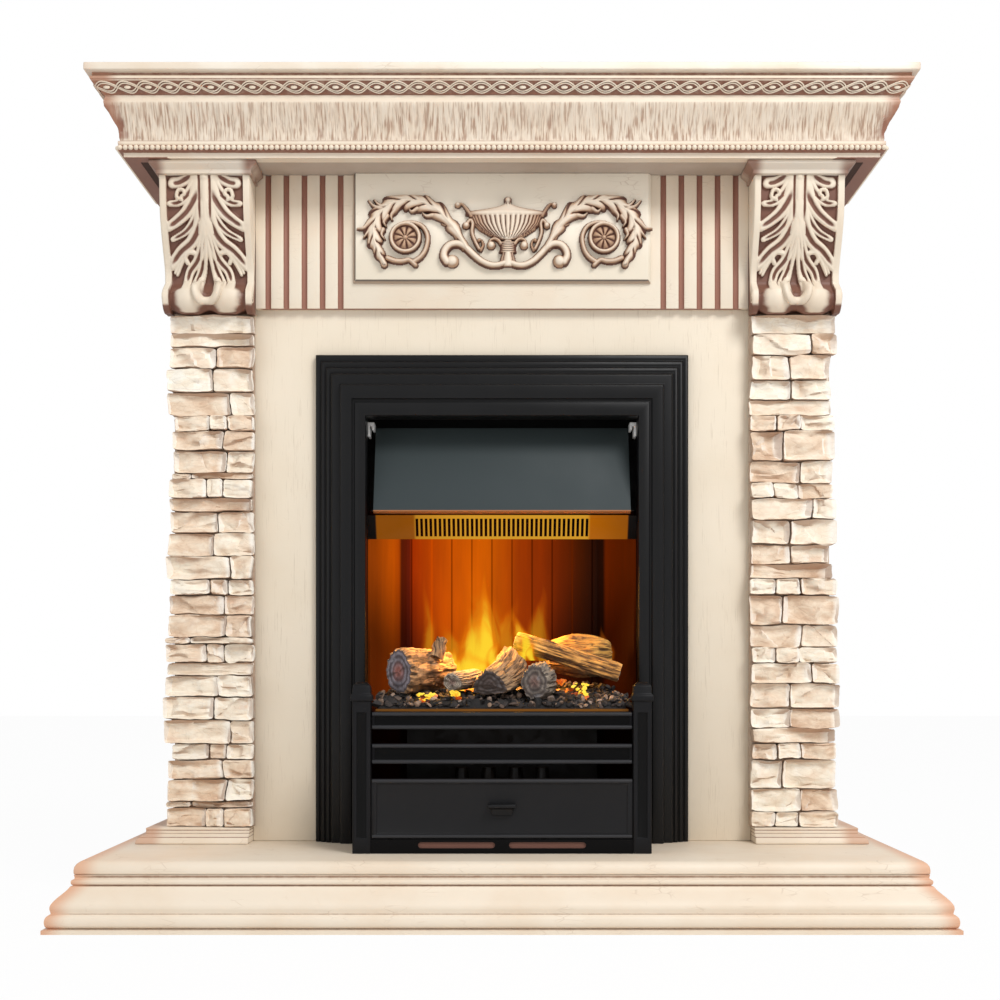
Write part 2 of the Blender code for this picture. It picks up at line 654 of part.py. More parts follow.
def make_frieze():
    """The fluted board between the corbels and the raised panel on its middle."""
    half = CORBEL_INNER - SEAT_GAP
    board = box(
        "frieze_board",
        (-half, FRIEZE_Y, FRIEZE_Z),
        (half, PANEL_Y - SEAT_GAP, SOFFIT_Z - SEAT_GAP),
        "cream_cast",
    )
    flutes = bmesh.new()
    middle = (half + RAISED_WIDTH / 2) / 2
    for side in (-1, 1):
        for index in range(FLUTES):
            x = side * (middle + (index - (FLUTES - 1) / 2) * FLUTE_PITCH)
            add_round(
                flutes,
                (x, FRIEZE_Y + FLUTE_WIDTH / 2 - FLUTE_DEPTH, FRIEZE_Z - BOARD),
                (x, FRIEZE_Y + FLUTE_WIDTH / 2 - FLUTE_DEPTH, SOFFIT_Z + BOARD),
                FLUTE_WIDTH / 2,
                FLUTE_WIDTH / 2,
                10,
            )
    join_with(board, cutter_of("flutes", flutes), "DIFFERENCE")
    back = FRIEZE_Y - SEAT_GAP
    low = SOFFIT_Z - RAISED_HEIGHT
    wide = RAISED_WIDTH / 2
    rings = []
    for y, grow in ((back, 0.0), (back - 0.003, 0.0), (back - RAISED_BOARD, -0.004)):
        rings.append([
            (-wide - grow, y, low - grow), (wide + grow, y, low - grow),
            (wide + grow, y, SOFFIT_Z - SEAT_GAP), (-wide - grow, y, SOFFIT_Z - SEAT_GAP),
        ])
    loft("frieze_raised_panel", rings, "cream_cast")


def scroll_points(centre, start_radius, end_radius, start_angle, turn, count):
    """Points of a spiral in the frieze's plane."""
    points = []
    for index in range(count):
        share = index / (count - 1)
        radius = start_radius + (end_radius - start_radius) * share
        angle = math.radians(start_angle + turn * share)
        points.append((centre[0] + radius * math.cos(angle), centre[1] + radius * math.sin(angle)))
    return points


def add_stem(work, points, plane_y, radius_start, radius_end):
    """A tapering round stem through points in the frieze's plane."""
    sections = []
    for index, (x, z) in enumerate(points):
        before = points[max(index - 1, 0)]
        after = points[min(index + 1, len(points) - 1)]
        run = Vector((after[0] - before[0], 0.0, after[1] - before[1])).normalized()
        sideways = Vector((run.z, 0.0, -run.x))
        share = index / (len(points) - 1)
        radius = radius_start + (radius_end - radius_start) * share
        ring = []
        for side in range(6):
            angle = side / 6 * 2 * math.pi
            offset = sideways * math.cos(angle) * radius + Vector((0.0, 1.0, 0.0)) * math.sin(angle) * radius
            ring.append(Vector((x, plane_y, z)) + offset)
        sections.append(ring)
    add_loft(work, sections)


def make_relief():
    """The urn with its scrolls, one casting planted on the raised panel."""
    plane = FRIEZE_Y - 2 * SEAT_GAP - RAISED_BOARD
    scale = RELIEF_SPAN / 0.399
    centre_z = SOFFIT_Z - RAISED_HEIGHT / 2 - 0.0095
    turned = (
        (0.0, 0.054), (0.005, 0.050), (0.003, 0.045), (0.012, 0.040), (0.034, 0.034), (0.055, 0.030),
        (0.053, 0.024), (0.046, 0.016), (0.034, 0.004), (0.016, -0.008), (0.008, -0.014), (0.009, -0.020),
        (0.020, -0.030), (0.030, -0.040), (0.032, -0.044), (0.0, -0.044),
    )
    profile = bpy.data.meshes.new("urn_profile")
    work = bmesh.new()
    spots = [work.verts.new((x * scale, 0.0, z * scale)) for x, z in turned]
    for first, second in zip(spots, spots[1:]):
        work.edges.new((first, second))
    work.to_mesh(profile)
    work.free()
    urn = bpy.data.objects.new("urn_relief", profile)
    PARTS.objects.link(urn)
    turn = urn.modifiers.new("turned", "SCREW")
    turn.steps = 16
    turn.render_steps = 16
    turn.use_merge_vertices = True
    turn.merge_threshold = 0.0001
    urn.scale = (1.0, 0.30, 1.0)
    urn.location = (0.0, plane, centre_z)
    for side in (-1, 1):
        def at(points):
            return [(side * x * scale, centre_z + z * scale) for x, z in points]

        parts = (
            ("outer", at([(0.016, -0.040), (0.034, -0.036), (0.052, -0.020)]
                         + scroll_points((0.066, -0.022), 0.018, 0.005, 150, -400, 12)), 0.0042, 0.0030),
            ("stem", at([(0.052, -0.020), (0.061, 0.006), (0.079, 0.027)]
                        + scroll_points((0.136, 0.0), 0.047, 0.020, 126, -392, 26)), 0.0046, 0.0028),
            ("handle", at(scroll_points((0.056, 0.040), 0.010, 0.004, -100, 330, 10)), 0.0030, 0.0022),
        )
        for word, points, thick, thin in parts:
            stem = bmesh.new()
            add_stem(stem, points, plane, thick * scale, thin * scale)
            join_with(urn, cutter_of(f"relief_{word}_{side}", stem), "UNION")
        flower = bmesh.new()
        hub = (side * 0.134 * scale, plane, centre_z - 0.004 * scale)
        add_round(flower, hub, (hub[0], hub[1] - 0.008, hub[2]), 0.026 * scale, 0.012 * scale, 16)
        join_with(urn, cutter_of(f"relief_rosette_{side}", flower), "UNION")
    behind = bmesh.new()
    reach = RELIEF_SPAN
    add_box(behind, (-reach, plane, centre_z - reach), (reach, plane + reach, centre_z + reach))
    join_with(urn, cutter_of("relief_back", behind), "DIFFERENCE")
    finished(urn, "cream_cast", smooth=50)


def make_mantel():
    """The soffit board, the mitred cornice and the shelf."""
    half = CORNICE_WIDTH / 2
    front = PANEL_Y - CORNICE_PROUD
    inner = half - CORNICE_RAIL - SEAT_GAP
    box(
        "soffit_board",
        (-inner, front + CORNICE_RAIL + SEAT_GAP, SOFFIT_Z),
        (inner, WALL_Y, SOFFIT_Z + BOARD),
        "cream_cast",
    )
    scale = (CORNICE_HEIGHT - SEAT_GAP) / CORNICE_PROFILE[-1][1]
    profile = [(out, up * scale) for out, up in CORNICE_PROFILE]
    profile += [(-CORNICE_RAIL, CORNICE_HEIGHT - SEAT_GAP), (-CORNICE_RAIL, 0.0)]
    mitred("cornice", three_sided(half, front, SOFFIT_Z), profile, "cream_cast", smooth=40)
    reach = half + SHELF_OVERHANG
    box(
        "mantel_shelf",
        (-reach, front - SHELF_OVERHANG, SHELF_Z),
        (reach, WALL_Y, OVERALL_HEIGHT),
        "cream_cast",
    )


def make_trim():
    """The reeded and stepped metal frame round the mouth of the fire."""
    section_width = TRIM_SECTION[-1][0]
    across = TRIM_SIDE / section_width
    down = TRIM_TOP / section_width

    def corner(side, top):
        def place(inward, proud):
            z = TRIM_Z - inward * down if top else FLOOR_Z
            return (side * (TRIM_HALF - inward * across), TRIM_BACK_Y - proud, z)

        return place

    mitred(
        "trim_frame", (corner(-1, False), corner(-1, True), corner(1, True), corner(1, False)), TRIM_SECTION,
        "satin_black", smooth=30,
    )


def make_casing():
    """The folded steel casing behind the trim, open at the front."""
    low, high = (-CASING_HALF, PANEL_Y, FLOOR_Z), (CASING_HALF, CASING_BACK_Y, CASING_Z)
    casing = box("casing", low, high, "galvanised")
    cut_box(
        casing,
        (-CASING_HALF + SHEET, PANEL_Y - BOARD, FLOOR_Z + SHEET),
        (CASING_HALF - SHEET, CASING_BACK_Y - SHEET, CASING_Z - SHEET),
    )
    inlet = bmesh.new()
    x, z = CASING_HALF - 0.030, FLOOR_Z + 0.045
    add_round(
        inlet, (x, CASING_BACK_Y - BOARD, z), (x, WALL_Y + BOARD, z),
        INLET_RADIUS + SEAT_GAP, INLET_RADIUS + SEAT_GAP, 20,
    )
    join_with(casing, cutter_of("inlet_hole", inlet), "DIFFERENCE")
    gland = bmesh.new()
    rings = []
    for y, radius in (
        (CASING_BACK_Y - 0.012, INLET_RADIUS), (CASING_BACK_Y + SEAT_GAP, INLET_RADIUS),
        (CASING_BACK_Y + SEAT_GAP, 1.6 * INLET_RADIUS), (CASING_BACK_Y + 0.005, 1.6 * INLET_RADIUS),
        (CASING_BACK_Y + 0.011, 1.1 * INLET_RADIUS),
    ):
        rings.append([
            (x + radius * math.cos(step / 20 * 2 * math.pi), y, z + radius * math.sin(step / 20 * 2 * math.pi))
            for step in range(20)
        ])
    add_loft(gland, rings)
    finished(object_from(gland, "mains_inlet"), "black_plastic", smooth=40)


def make_mirrors():
    """The back mirror and the two splayed side mirrors, and the plate that lies on them."""
    box(
        "mirror_back",
        (-MIRROR_BACK_HALF + 0.0005, MIRROR_BACK_Y, CASING_FLOOR),
        (MIRROR_BACK_HALF - 0.0005, MIRROR_BACK_Y + MIRROR, MIRROR_TOP),
        "copper_mirror",
    )
    front_half = TRIM_INNER - MIRROR_FRONT_INSET
    for side, word in ((-1, "left"), (1, "right")):
        run = Vector((MIRROR_BACK_HALF - front_half, MIRROR_BACK_Y + MIRROR - MIRROR_FRONT_Y))
        outward = Vector((run.y, -run.x)).normalized() * MIRROR
        start = Vector((front_half, MIRROR_FRONT_Y))
        end = start + run
        outline = [start, end, end + outward, start + outward]
        loft(
            "mirror_" + word,
            [[(side * point.x, point.y, z) for point in outline] for z in (CASING_FLOOR, MIRROR_TOP)],
            "copper_mirror",
        )
    low = MIRROR_TOP + SEAT_GAP
    front_y = MIRROR_FRONT_Y + 0.006
    outline = (
        (-front_half, front_y), (front_half, front_y),
        (MIRROR_BACK_HALF, MIRROR_BACK_Y + MIRROR), (-MIRROR_BACK_HALF, MIRROR_BACK_Y + MIRROR),
    )
    loft("chamber_top", [[(x, y, z) for x, y in outline] for z in (low, CHAMBER_TOP)], "galvanised")


def sheet_outline(points, thickness):
    """A thin closed outline that follows a folded line."""
    offsets = []
    for index, point in enumerate(points):
        before = Vector(points[max(index - 1, 0)])
        after = Vector(points[min(index + 1, len(points) - 1)])
        run = (after - before).normalized()
        offsets.append(Vector(point) + Vector((-run.y, run.x)) * thickness)
    return [Vector(point) for point in points] + offsets[::-1]


def make_hood():
    """The sloping canopy, the two clips that hold it and the slotted outlet grille under it."""
    sheet = sheet_outline(
        [
            (HOOD_BACK_Y + 0.020, HOOD_TOP), (HOOD_BACK_Y, HOOD_TOP),
            (HOOD_FRONT_Y, HOOD_Z), (HOOD_FRONT_Y + HOOD_LIP, HOOD_Z - 0.0005),
        ],
        -SHEET,
    )
    sections = [[(x, point.x, point.y) for point in sheet] for x in (-HOOD_HALF, HOOD_HALF)]
    loft("hood", sections, "hood_grey", at=(0.0, HOOD_BACK_Y, HOOD_TOP))
    for side, word in ((-1, "left"), (1, "right")):
        low, high = sorted((side * (HOOD_HALF + SEAT_GAP), side * (TRIM_INNER - SEAT_GAP)))
        box(
            "hood_clip_" + word, (low, PANEL_Y - 0.004, HOOD_TOP - 0.014), (high, HOOD_BACK_Y + 0.002, HOOD_TOP + 0.005),
            "white_plastic", round_edges=0.001,
        )
    top_y, top_z = HOOD_FRONT_Y + HOOD_LIP, HOOD_Z - SHEET - 0.003
    low_y, low_z = top_y + GRILLE_SETBACK, top_z - GRILLE_DROP
    plate = sheet_outline([(top_y, top_z), (low_y, low_z)], SHEET)
    half = TRIM_INNER - SEAT_GAP
    grille = loft("heater_grille", [[(x, p.x, p.y) for p in plate] for x in (-half, half)], "copper_plate")
    cuts = bmesh.new()
    run = Vector((low_y - top_y, low_z - top_z))
    first = Vector((top_y, top_z)) + run * 0.13
    last = Vector((top_y, top_z)) + run * 0.90
    normal = Vector((-run.y, run.x)).normalized() * 0.008
    ring = [first - normal, last - normal, last + normal, first + normal]
    for index in range(GRILLE_SLOTS):
        x = (index - (GRILLE_SLOTS - 1) / 2) * GRILLE_PITCH
        sections = [[(x + end, p.x, p.y) for p in ring] for end in (-GRILLE_SLOT / 2, GRILLE_SLOT / 2)]
        add_loft(cuts, sections)
    join_with(grille, cutter_of("grille_slots", cuts), "DIFFERENCE")


def make_fan():
    """The cross-flow fan in its channel, its motor and the heating element in front of it."""
    channel_half = FAN_RADIUS + FAN_HOUSING_GAP
    low = CHAMBER_TOP + SEAT_GAP
    right = FAN_LEFT + FAN_LENGTH
    channel = box(
        "fan_channel",
        (FAN_LEFT - SHEET - 0.003, FAN_Y - channel_half, low),
        (right, FAN_Y + channel_half + SHEET, FAN_Z + channel_half + SHEET),
        "galvanised",
    )
    cut_box(
        channel,
        (FAN_LEFT - 0.003, FAN_Y - 2 * channel_half, low + SHEET),
        (right + BOARD, FAN_Y + channel_half, FAN_Z + channel_half),
    )
    sections = []
    count = 2 * FAN_VANES
    for x, outer, inner in (
        (FAN_LEFT - 0.003 + SEAT_GAP, FAN_SHAFT, FAN_SHAFT), (FAN_LEFT, FAN_SHAFT, FAN_SHAFT),
        (FAN_LEFT, FAN_RADIUS, 0.62 * FAN_RADIUS), (right - 0.004, FAN_RADIUS, 0.62 * FAN_RADIUS),
        (right - 0.004, FAN_SHAFT, FAN_SHAFT), (right + 0.004, FAN_SHAFT, FAN_SHAFT),
    ):
        ring = []
        for index in range(count):
            radius = outer if index % 2 else inner
            angle = index / count * 2 * math.pi
            ring.append((x, FAN_Y + radius * math.cos(angle), FAN_Z + radius * math.sin(angle)))
        sections.append(ring)
    loft("fan_wheel", sections, "galvanised", at=(0.0, FAN_Y, FAN_Z))
    motor = bmesh.new()
    add_box(
        motor,
        (right + 0.004 + SEAT_GAP, FAN_Y - 0.019, low),
        (right + 0.004 + MOTOR_LENGTH, FAN_Y + 0.019, FAN_Z + 0.019),
    )
    made = finished(object_from(motor, "fan_motor"), "black_plastic")
    corners = made.modifiers.new("rounded", "BEVEL")
    corners.width = 0.004
    corners.segments = 2
    box(
        "heating_element",
        (FAN_LEFT, FAN_Y - channel_half - SEAT_GAP - ELEMENT_DEPTH, low),
        (right, FAN_Y - channel_half - SEAT_GAP, FAN_Z + channel_half),
        "ceramic",
        round_edges=0.001,
    )


def make_fret():
    """The two capped posts and the two bars between them, each with a sunk face."""
    for side, word in ((-1, "left"), (1, "right")):
        low_x, high_x = sorted((side * POST_INNER, side * (POST_INNER + POST_WIDTH)))
        rows = (
            (FLOOR_Z, 0.0), (POST_Z, 0.0), (POST_Z + 0.04 * POST_CAP, POST_LIP), (POST_Z + 0.3 * POST_CAP, POST_LIP),
            (POST_Z + 0.42 * POST_CAP, 0.0), (POST_Z + 0.8 * POST_CAP, -0.02 * POST_CAP), (POST_Z + POST_CAP, -0.2 * POST_CAP),
        )
        rings = [
            rectangle_at(z, (low_x - out, FRET_Y - out), (high_x + out, POST_BACK_Y + min(out, 0.0))) for z, out in rows
        ]
        post = loft("fret_post_" + word, rings, "satin_black")
        cut_box(
            post,
            (low_x + POST_RECESS_MARGIN, FRET_Y - BOARD, FLOOR_Z + POST_RECESS_FOOT),
            (high_x - POST_RECESS_MARGIN, FRET_Y + RECESS, POST_Z - POST_RECESS_TOP),
        )
    for word, z, height in (("upper", BAR_UPPER_Z, BAR_UPPER_HEIGHT), ("lower", BAR_LOWER_Z, BAR_LOWER_HEIGHT)):
        bar = box("fret_bar_" + word, (-BAY_HALF, BAR_Y, z), (BAY_HALF, BAR_Y + BAR_DEPTH, z + height), "satin_black")
        cut_box(
            bar,
            (-BAY_HALF + RECESS_MARGIN, BAR_Y - BOARD, z + RECESS_MARGIN),
            (BAY_HALF - RECESS_MARGIN, BAR_Y + RECESS, z + height - RECESS_MARGIN),
        )


def make_basket():
    """The folded tray that carries the fret, the ash pan's rails and the ledges of the fuel bed."""
    wall_in = BASKET_HALF - BASKET_PLATE / 2
    wall_out = BASKET_HALF + BASKET_PLATE / 2
    floor = FLOOR_Z + BASKET_PLATE
    rail = TRAY_BOTTOM - SEAT_GAP
    ledge = TRAY_Z - SEAT_GAP
    left_rail = -DRAWER_LEFT + 0.004
    right_rail = DRAWER_RIGHT - 0.010
    outline = [
        (-wall_out, FLOOR_Z), (wall_out, FLOOR_Z), (wall_out, POST_Z), (wall_in, POST_Z), (wall_in, ledge),
        (wall_in - BASKET_LEDGE, ledge), (wall_in - BASKET_LEDGE, ledge - BASKET_PLATE),
        (wall_in, ledge - BASKET_PLATE), (wall_in, floor),
        (right_rail + 0.006, floor), (right_rail + 0.006, rail), (right_rail, rail), (right_rail, floor),
        (left_rail + 0.006, floor), (left_rail + 0.006, rail), (left_rail, rail), (left_rail, floor),
        (-wall_in, floor), (-wall_in, ledge - BASKET_PLATE), (-wall_in + BASKET_LEDGE, ledge - BASKET_PLATE),
        (-wall_in + BASKET_LEDGE, ledge), (-wall_in, ledge), (-wall_in, POST_Z), (-wall_out, POST_Z),
    ]
    start = POST_BACK_Y + SEAT_GAP
    basket = loft(
        "basket_tray", [[(x, y, z) for x, z in outline] for y in (start, PANEL_Y - SEAT_GAP)], "satin_black"
    )
    front = bmesh.new()
    wall_y = FRET_Y + 0.001
    sections = []
    for x in (-BAY_HALF, BAY_HALF):
        sections.append([
            (x, wall_y, FLOOR_Z), (x, start + 0.004, FLOOR_Z), (x, start + 0.004, floor),
            (x, wall_y + BASKET_PLATE, floor), (x, wall_y + BASKET_PLATE, BASKET_FRONT_TOP),
            (x, wall_y, BASKET_FRONT_TOP),
        ])
    add_loft(front, sections)
    join_with(basket, cutter_of("basket_front", front), "UNION")
    slots = bmesh.new()
    middle = (floor + BASKET_FRONT_TOP) / 2 + 0.0005
    radius = AIR_SLOT_HEIGHT / 2
    for side in (-1, 1):
        near = side * 0.0088
        far = side * (0.0088 + AIR_SLOT_LENGTH)
        low, high = sorted((near, far))
        ends = []
        for step in range(9):
            angle = math.radians(90 + step * 22.5)
            ends.append((low + radius + radius * math.cos(angle), middle + radius * math.sin(angle)))
        for step in range(9):
            angle = math.radians(-90 + step * 22.5)
            ends.append((high - radius + radius * math.cos(angle), middle + radius * math.sin(angle)))
        add_loft(slots, [[(x, y, z) for x, z in ends] for y in (wall_y - BASKET_PLATE, wall_y + 2 * BASKET_PLATE)])
    join_with(basket, cutter_of("air_slots", slots), "DIFFERENCE")


# Each log: its two ends (x, y beyond the panel's face, z above the coals' base), its half width
# and its half height
LOGS = {
    "log_left": ((-0.133, -0.115, 0.047), (-0.080, -0.021, 0.048), 0.0195, 0.0262),
    "log_small": ((-0.062, -0.125, 0.034), (-0.036, -0.051, 0.040), 0.0130, 0.0106),
    "log_split": ((-0.013, -0.127, 0.036), (0.010, -0.061, 0.050), 0.0235, 0.0185),
    "log_front": ((0.0415, -0.131, 0.034), (0.053, -0.079, 0.038), 0.0185, 0.0215),
    "log_long": ((0.018, -0.051, 0.0890), (0.154, -0.063, 0.046), 0.0088, 0.0082),
    "log_back": ((0.064, -0.009, 0.052), (0.146, 0.005, 0.064), 0.0240, 0.0225),
}


def log_ends(name):
    """A log's two ends in the suite's own frame."""
    return [Vector((x, PANEL_Y + y, BED_Z + z)) for x, y, z in LOGS[name][:2]]


def bed_half(y):
    """Half the fuel bed's width at one depth."""
    front = BAY_HALF - TRAY_MARGIN / 2
    start_y = PANEL_Y - 0.005
    back_y = MIRROR_BACK_Y
    back = MIRROR_BACK_HALF - TRAY_MARGIN / 2
    share = min(max((y - start_y) / (back_y - start_y), 0.0), 1.0)
    return front + (back - front) * share


def banked_height(x, y):
    """Height that the coals reach where they are banked up under a log."""
    reached = 0.0
    for name, (_, _, wide, high) in LOGS.items():
        start, end = log_ends(name)
        run = (end - start).to_2d()
        share = min(max((Vector((x, y)) - start.to_2d()).dot(run) / run.length_squared, 0.0), 1.0)
        centre = start.lerp(end, share)
        away = (centre.to_2d() - Vector((x, y))).length
        under = centre.z - BED_Z - high * (1.0 - 0.07 * share)
        if under < BANK_LIMIT and away < 0.9 * wide:
            reached = max(reached, under + BANK_LAP)
    return reached


def bed_height(x, y):
    """Height of the coals over the tray."""
    lumps = math.sin(163.0 * x + 1.3) * math.sin(187.0 * y + 0.4) + 0.6 * math.sin(71.0 * x - 97.0 * y)
    back = min(max((y - PANEL_Y + BED_RISE_START) / BED_RISE_RUN, 0.0), 1.0)
    edge = min(1.0, (bed_half(y) - abs(x)) / BED_EDGE)
    loose = (BED_HEIGHT + BED_LUMPS * lumps + BED_RISE * back) * (0.55 + 0.45 * edge)
    return max(loose, banked_height(x, y))


def log_sections(name, grow=0.0):
    """Rings along a log, a little out of round."""
    wide, high = LOGS[name][2:]
    start, end = log_ends(name)
    run = (end - start).normalized()
    sideways = run.cross(Vector((0.0, 0.0, 1.0))).normalized()
    up = sideways.cross(run).normalized()
    rings = []
    stations = 6
    for station in range(stations):
        share = station / (stations - 1)
        centre = start.lerp(end, share) + sideways * LOG_WANDER * math.sin(5.0 * share + len(name))
        longer = run * grow * (-1 if station == 0 else 1 if station == stations - 1 else 0)
        size = 1.0 - 0.07 * share + 0.025 * math.sin(9.0 * share + len(name))
        ring = []
        for step in range(12):
            angle = step / 12 * 2 * math.pi
            rough = 1.0 + 0.03 * math.sin(3 * angle + 2.0 * share + len(name))
            ring.append(
                centre + longer
                + sideways * (wide * size * rough + grow) * math.cos(angle)
                + up * (high * size * rough + grow) * math.sin(angle)
            )
        rings.append(ring)
    return rings


def make_fuel_bed():
    """The plate on the basket's ledges, the coals on it with a nest for each log, and the logs."""
    hinge = (0.0, TRAY_FRONT_Y, TRAY_Z)
    rows = [TRAY_FRONT_Y, PANEL_Y - 0.005, MIRROR_BACK_Y - 0.006]
    outline = [(-bed_half(y), y) for y in rows] + [(bed_half(y), y) for y in reversed(rows)]
    tray = loft(
        "fuel_tray", [[(x, y, z) for x, y in outline] for z in (TRAY_Z, TRAY_Z + TRAY_PLATE)], "copper_plate", at=hinge
    )
    sections = []
    rows, columns = 15, 22
    for row in range(rows + 1):
        y = BED_FRONT_Y + (BED_BACK_Y - BED_FRONT_Y) * row / rows
        half = bed_half(y) - 0.003
        ring = [(half, y, BED_Z), (-half, y, BED_Z)]
        for column in range(columns + 1):
            x = -half + 2 * half * column / columns
            ring.append((x, y, BED_Z + bed_height(x, y) * (0.62 if row in (0, rows) else 1.0)))
        sections.append(ring)
    bed = loft("coal_bed", sections, "coal", parent=tray, at=hinge)
    nests = bmesh.new()
    for name in LOGS:
        add_loft(nests, log_sections(name, LOG_CLEARANCE))
        loft(name, log_sections(name), "log_resin", parent=tray, at=hinge, smooth=50)
    join_with(bed, cutter_of("log_nests", nests), "DIFFERENCE")


def make_drawer():
    """The ash pan: a sunk front with its handle, the open tray behind it, the tank and its cap."""
    front_top = DRAWER_Z + DRAWER_HEIGHT
    at = (0.0, DRAWER_Y, DRAWER_Z)
    front = box(
        "drawer_front", (-BAY_HALF, DRAWER_Y, DRAWER_Z), (BAY_HALF, DRAWER_Y + DRAWER_FRONT, front_top),
        "satin_black", at=at,
    )
    cut_box(
        front,
        (-BAY_HALF + 1.6 * RECESS_MARGIN, DRAWER_Y - BOARD, DRAWER_Z + 1.5 * RECESS_MARGIN),
        (BAY_HALF - 1.6 * RECESS_MARGIN, DRAWER_Y + RECESS, front_top - 1.4 * RECESS_MARGIN),
    )
    handle_z = DRAWER_Z + 0.40 * DRAWER_HEIGHT
    seat = DRAWER_Y + RECESS - SEAT_GAP
    wide = HANDLE_WIDTH / 2
    rows = (
        (0.0, 0.72, 0.35), (0.55, 0.80, 0.42), (0.70, 1.0, 1.0), (1.0, 1.0, 1.0),
    )
    rings = []
    for up, share, proud in rows:
        z = handle_z + HANDLE_HEIGHT * up
        rings.append(rectangle_at(z, (-wide * share, seat - RECESS - HANDLE_PROUD * proud), (wide * share, seat)))
    loft("drawer_handle", rings, "satin_black", parent=front, at=at)
    back = TRAY_START_Y + DRAWER_DEPTH
    pan = box(
        "drawer_pan", (-DRAWER_LEFT, TRAY_START_Y, TRAY_BOTTOM), (DRAWER_RIGHT, back, TRAY_BOTTOM + DRAWER_WALL_HEIGHT),
        "black_plastic", parent=front, at=at,
    )
    low = (-DRAWER_LEFT + SHEET, TRAY_START_Y + SHEET, TRAY_BOTTOM + SHEET)
    high = (DRAWER_RIGHT - SHEET, back - SHEET, TRAY_BOTTOM + DRAWER_WALL_HEIGHT + BOARD)
    cut_box(pan, low, high)
    tank_z = low[2] + SEAT_GAP
    tank_y = low[1] + 0.012
    middle = (low[0] + high[0]) / 2
    tank_at = (middle, tank_y + TANK_DEPTH / 2, tank_z)
    tank = box(
        "water_tank",
        (low[0] + TANK_CLEARANCE, tank_y, tank_z),
        (high[0] - TANK_CLEARANCE, tank_y + TANK_DEPTH, tank_z + TANK_HEIGHT),
        "tank_plastic", parent=front, at=tank_at, round_edges=0.003,
    )
    cap_z = tank_z + TANK_HEIGHT + SEAT_GAP
    cap_x = middle - 0.060
    ring_count = 24
    rings = []
    for z, share in ((0.0, 1.0), (0.75, 1.0), (1.0, 0.88)):
        rings.append([
            (
                cap_x + TANK_CAP_RADIUS * share * (1.0 if step % 2 else 0.93) * math.cos(step / ring_count * 2 * math.pi),
                tank_at[1] + TANK_CAP_RADIUS * share * (1.0 if step % 2 else 0.93)
                * math.sin(step / ring_count * 2 * math.pi),
                cap_z + TANK_CAP_HEIGHT * z,
            )
            for step in range(ring_count)
        ])
    loft("tank_cap", rings, "black_plastic", parent=tank, at=(cap_x, tank_at[1], cap_z))


def make_controls():
    """The plate behind the ash pan's front, its three rocker switches and its knob."""
    plate = box(
        "control_panel",
        (CONTROL_LEFT, CONTROL_Y, CONTROL_Z),
        (CONTROL_RIGHT, CONTROL_Y + BASKET_PLATE, CONTROL_Z + CONTROL_HEIGHT),
        "black_plastic",
    )
    first = CONTROL_LEFT + 0.016
    for index, name in enumerate(("rocker_power", "rocker_heat_low", "rocker_heat_high")):
        x = first + index * ROCKER_PITCH
        half = ROCKER_HEIGHT / 2
        wide = ROCKER_WIDTH / 2
        cut_box(
            plate,
            (x - wide - 0.0005, CONTROL_Y - BOARD, ROCKER_Z - half - 0.0014),
            (x + wide + 0.0005, CONTROL_Y + BOARD, ROCKER_Z + half + 0.0014),
        )
        outline = (
            (-ROCKER_PROUD, -half), (-0.6 * ROCKER_PROUD, 0.0), (-ROCKER_PROUD, half), (0.5 * ROCKER_PROUD, half),
            (1.3 * ROCKER_PROUD, 0.4 * half), (1.3 * ROCKER_PROUD, -0.4 * half), (0.5 * ROCKER_PROUD, -half),
        )
        sections = [[(x + end, CONTROL_Y + y, ROCKER_Z + z) for y, z in outline] for end in (-wide, wide)]
        loft(name, sections, "black_plastic", at=(x, CONTROL_Y, ROCKER_Z))
    knob_x = first + 3 * ROCKER_PITCH + 0.008
    rings = []
    for out, share in ((0.0, 1.0), (0.25, 1.0), (0.35, 0.85), (1.0, 0.78)):
        rings.append([
            (
                knob_x + KNOB_RADIUS * share * math.cos(step / 20 * 2 * math.pi),
                CONTROL_Y - SEAT_GAP - KNOB_LENGTH * out,
                KNOB_Z + KNOB_RADIUS * share * math.sin(step / 20 * 2 * math.pi),
            )
            for step in range(20)
        ])
    loft("flame_knob", rings, "black_plastic", at=(knob_x, CONTROL_Y, KNOB_Z), smooth=35)


def make_flame_engine():
    """The mist generator on the casing's floor and the bar of lamps on it."""
    start = PANEL_Y + ENGINE_SETBACK
    top = CASING_FLOOR + MIST_HEIGHT
    box(
        "mist_generator", (-MIST_WIDTH / 2, start, CASING_FLOOR), (MIST_WIDTH / 2, start + MIST_DEPTH, top),
        "black_plastic", round_edges=ENGINE_ROUND,
    )
    bar = box(
        "lamp_bar", (-MIST_WIDTH / 2, start + LAMP_MARGIN, top + SEAT_GAP),
        (MIST_WIDTH / 2, start + MIST_DEPTH - LAMP_MARGIN, top + LAMP_BAR), "galvanised",
    )
    lamps = bmesh.new()
    for index in range(LAMPS):
        x = (index - (LAMPS - 1) / 2) * MIST_WIDTH / LAMPS
        y = start + MIST_DEPTH / 2
        add_round(lamps, (x, y, top + LAMP_SUNK), (x, y, top + LAMP_HEIGHT), LAMP_RADIUS, 0.7 * LAMP_RADIUS, 16)
    join_with(bar, cutter_of("lamps", lamps), "UNION")


def main():
    """Builds the suite from the floor up."""
    start_scene()
    make_hearth()
    for side, word in ((-1, "left"), (1, "right")):
        make_plinth(side, word)
        make_column(side, word)
        make_corbel(side, word)
    make_surround()
    make_frieze()
    make_relief()
    make_mantel()
    make_trim()
    make_casing()
    make_mirrors()
    make_hood()
    make_fan()
    make_fret()
    make_basket()
    make_fuel_bed()
    make_drawer()
    make_controls()
    make_flame_engine()


if __name__ == "__main__":
    main()
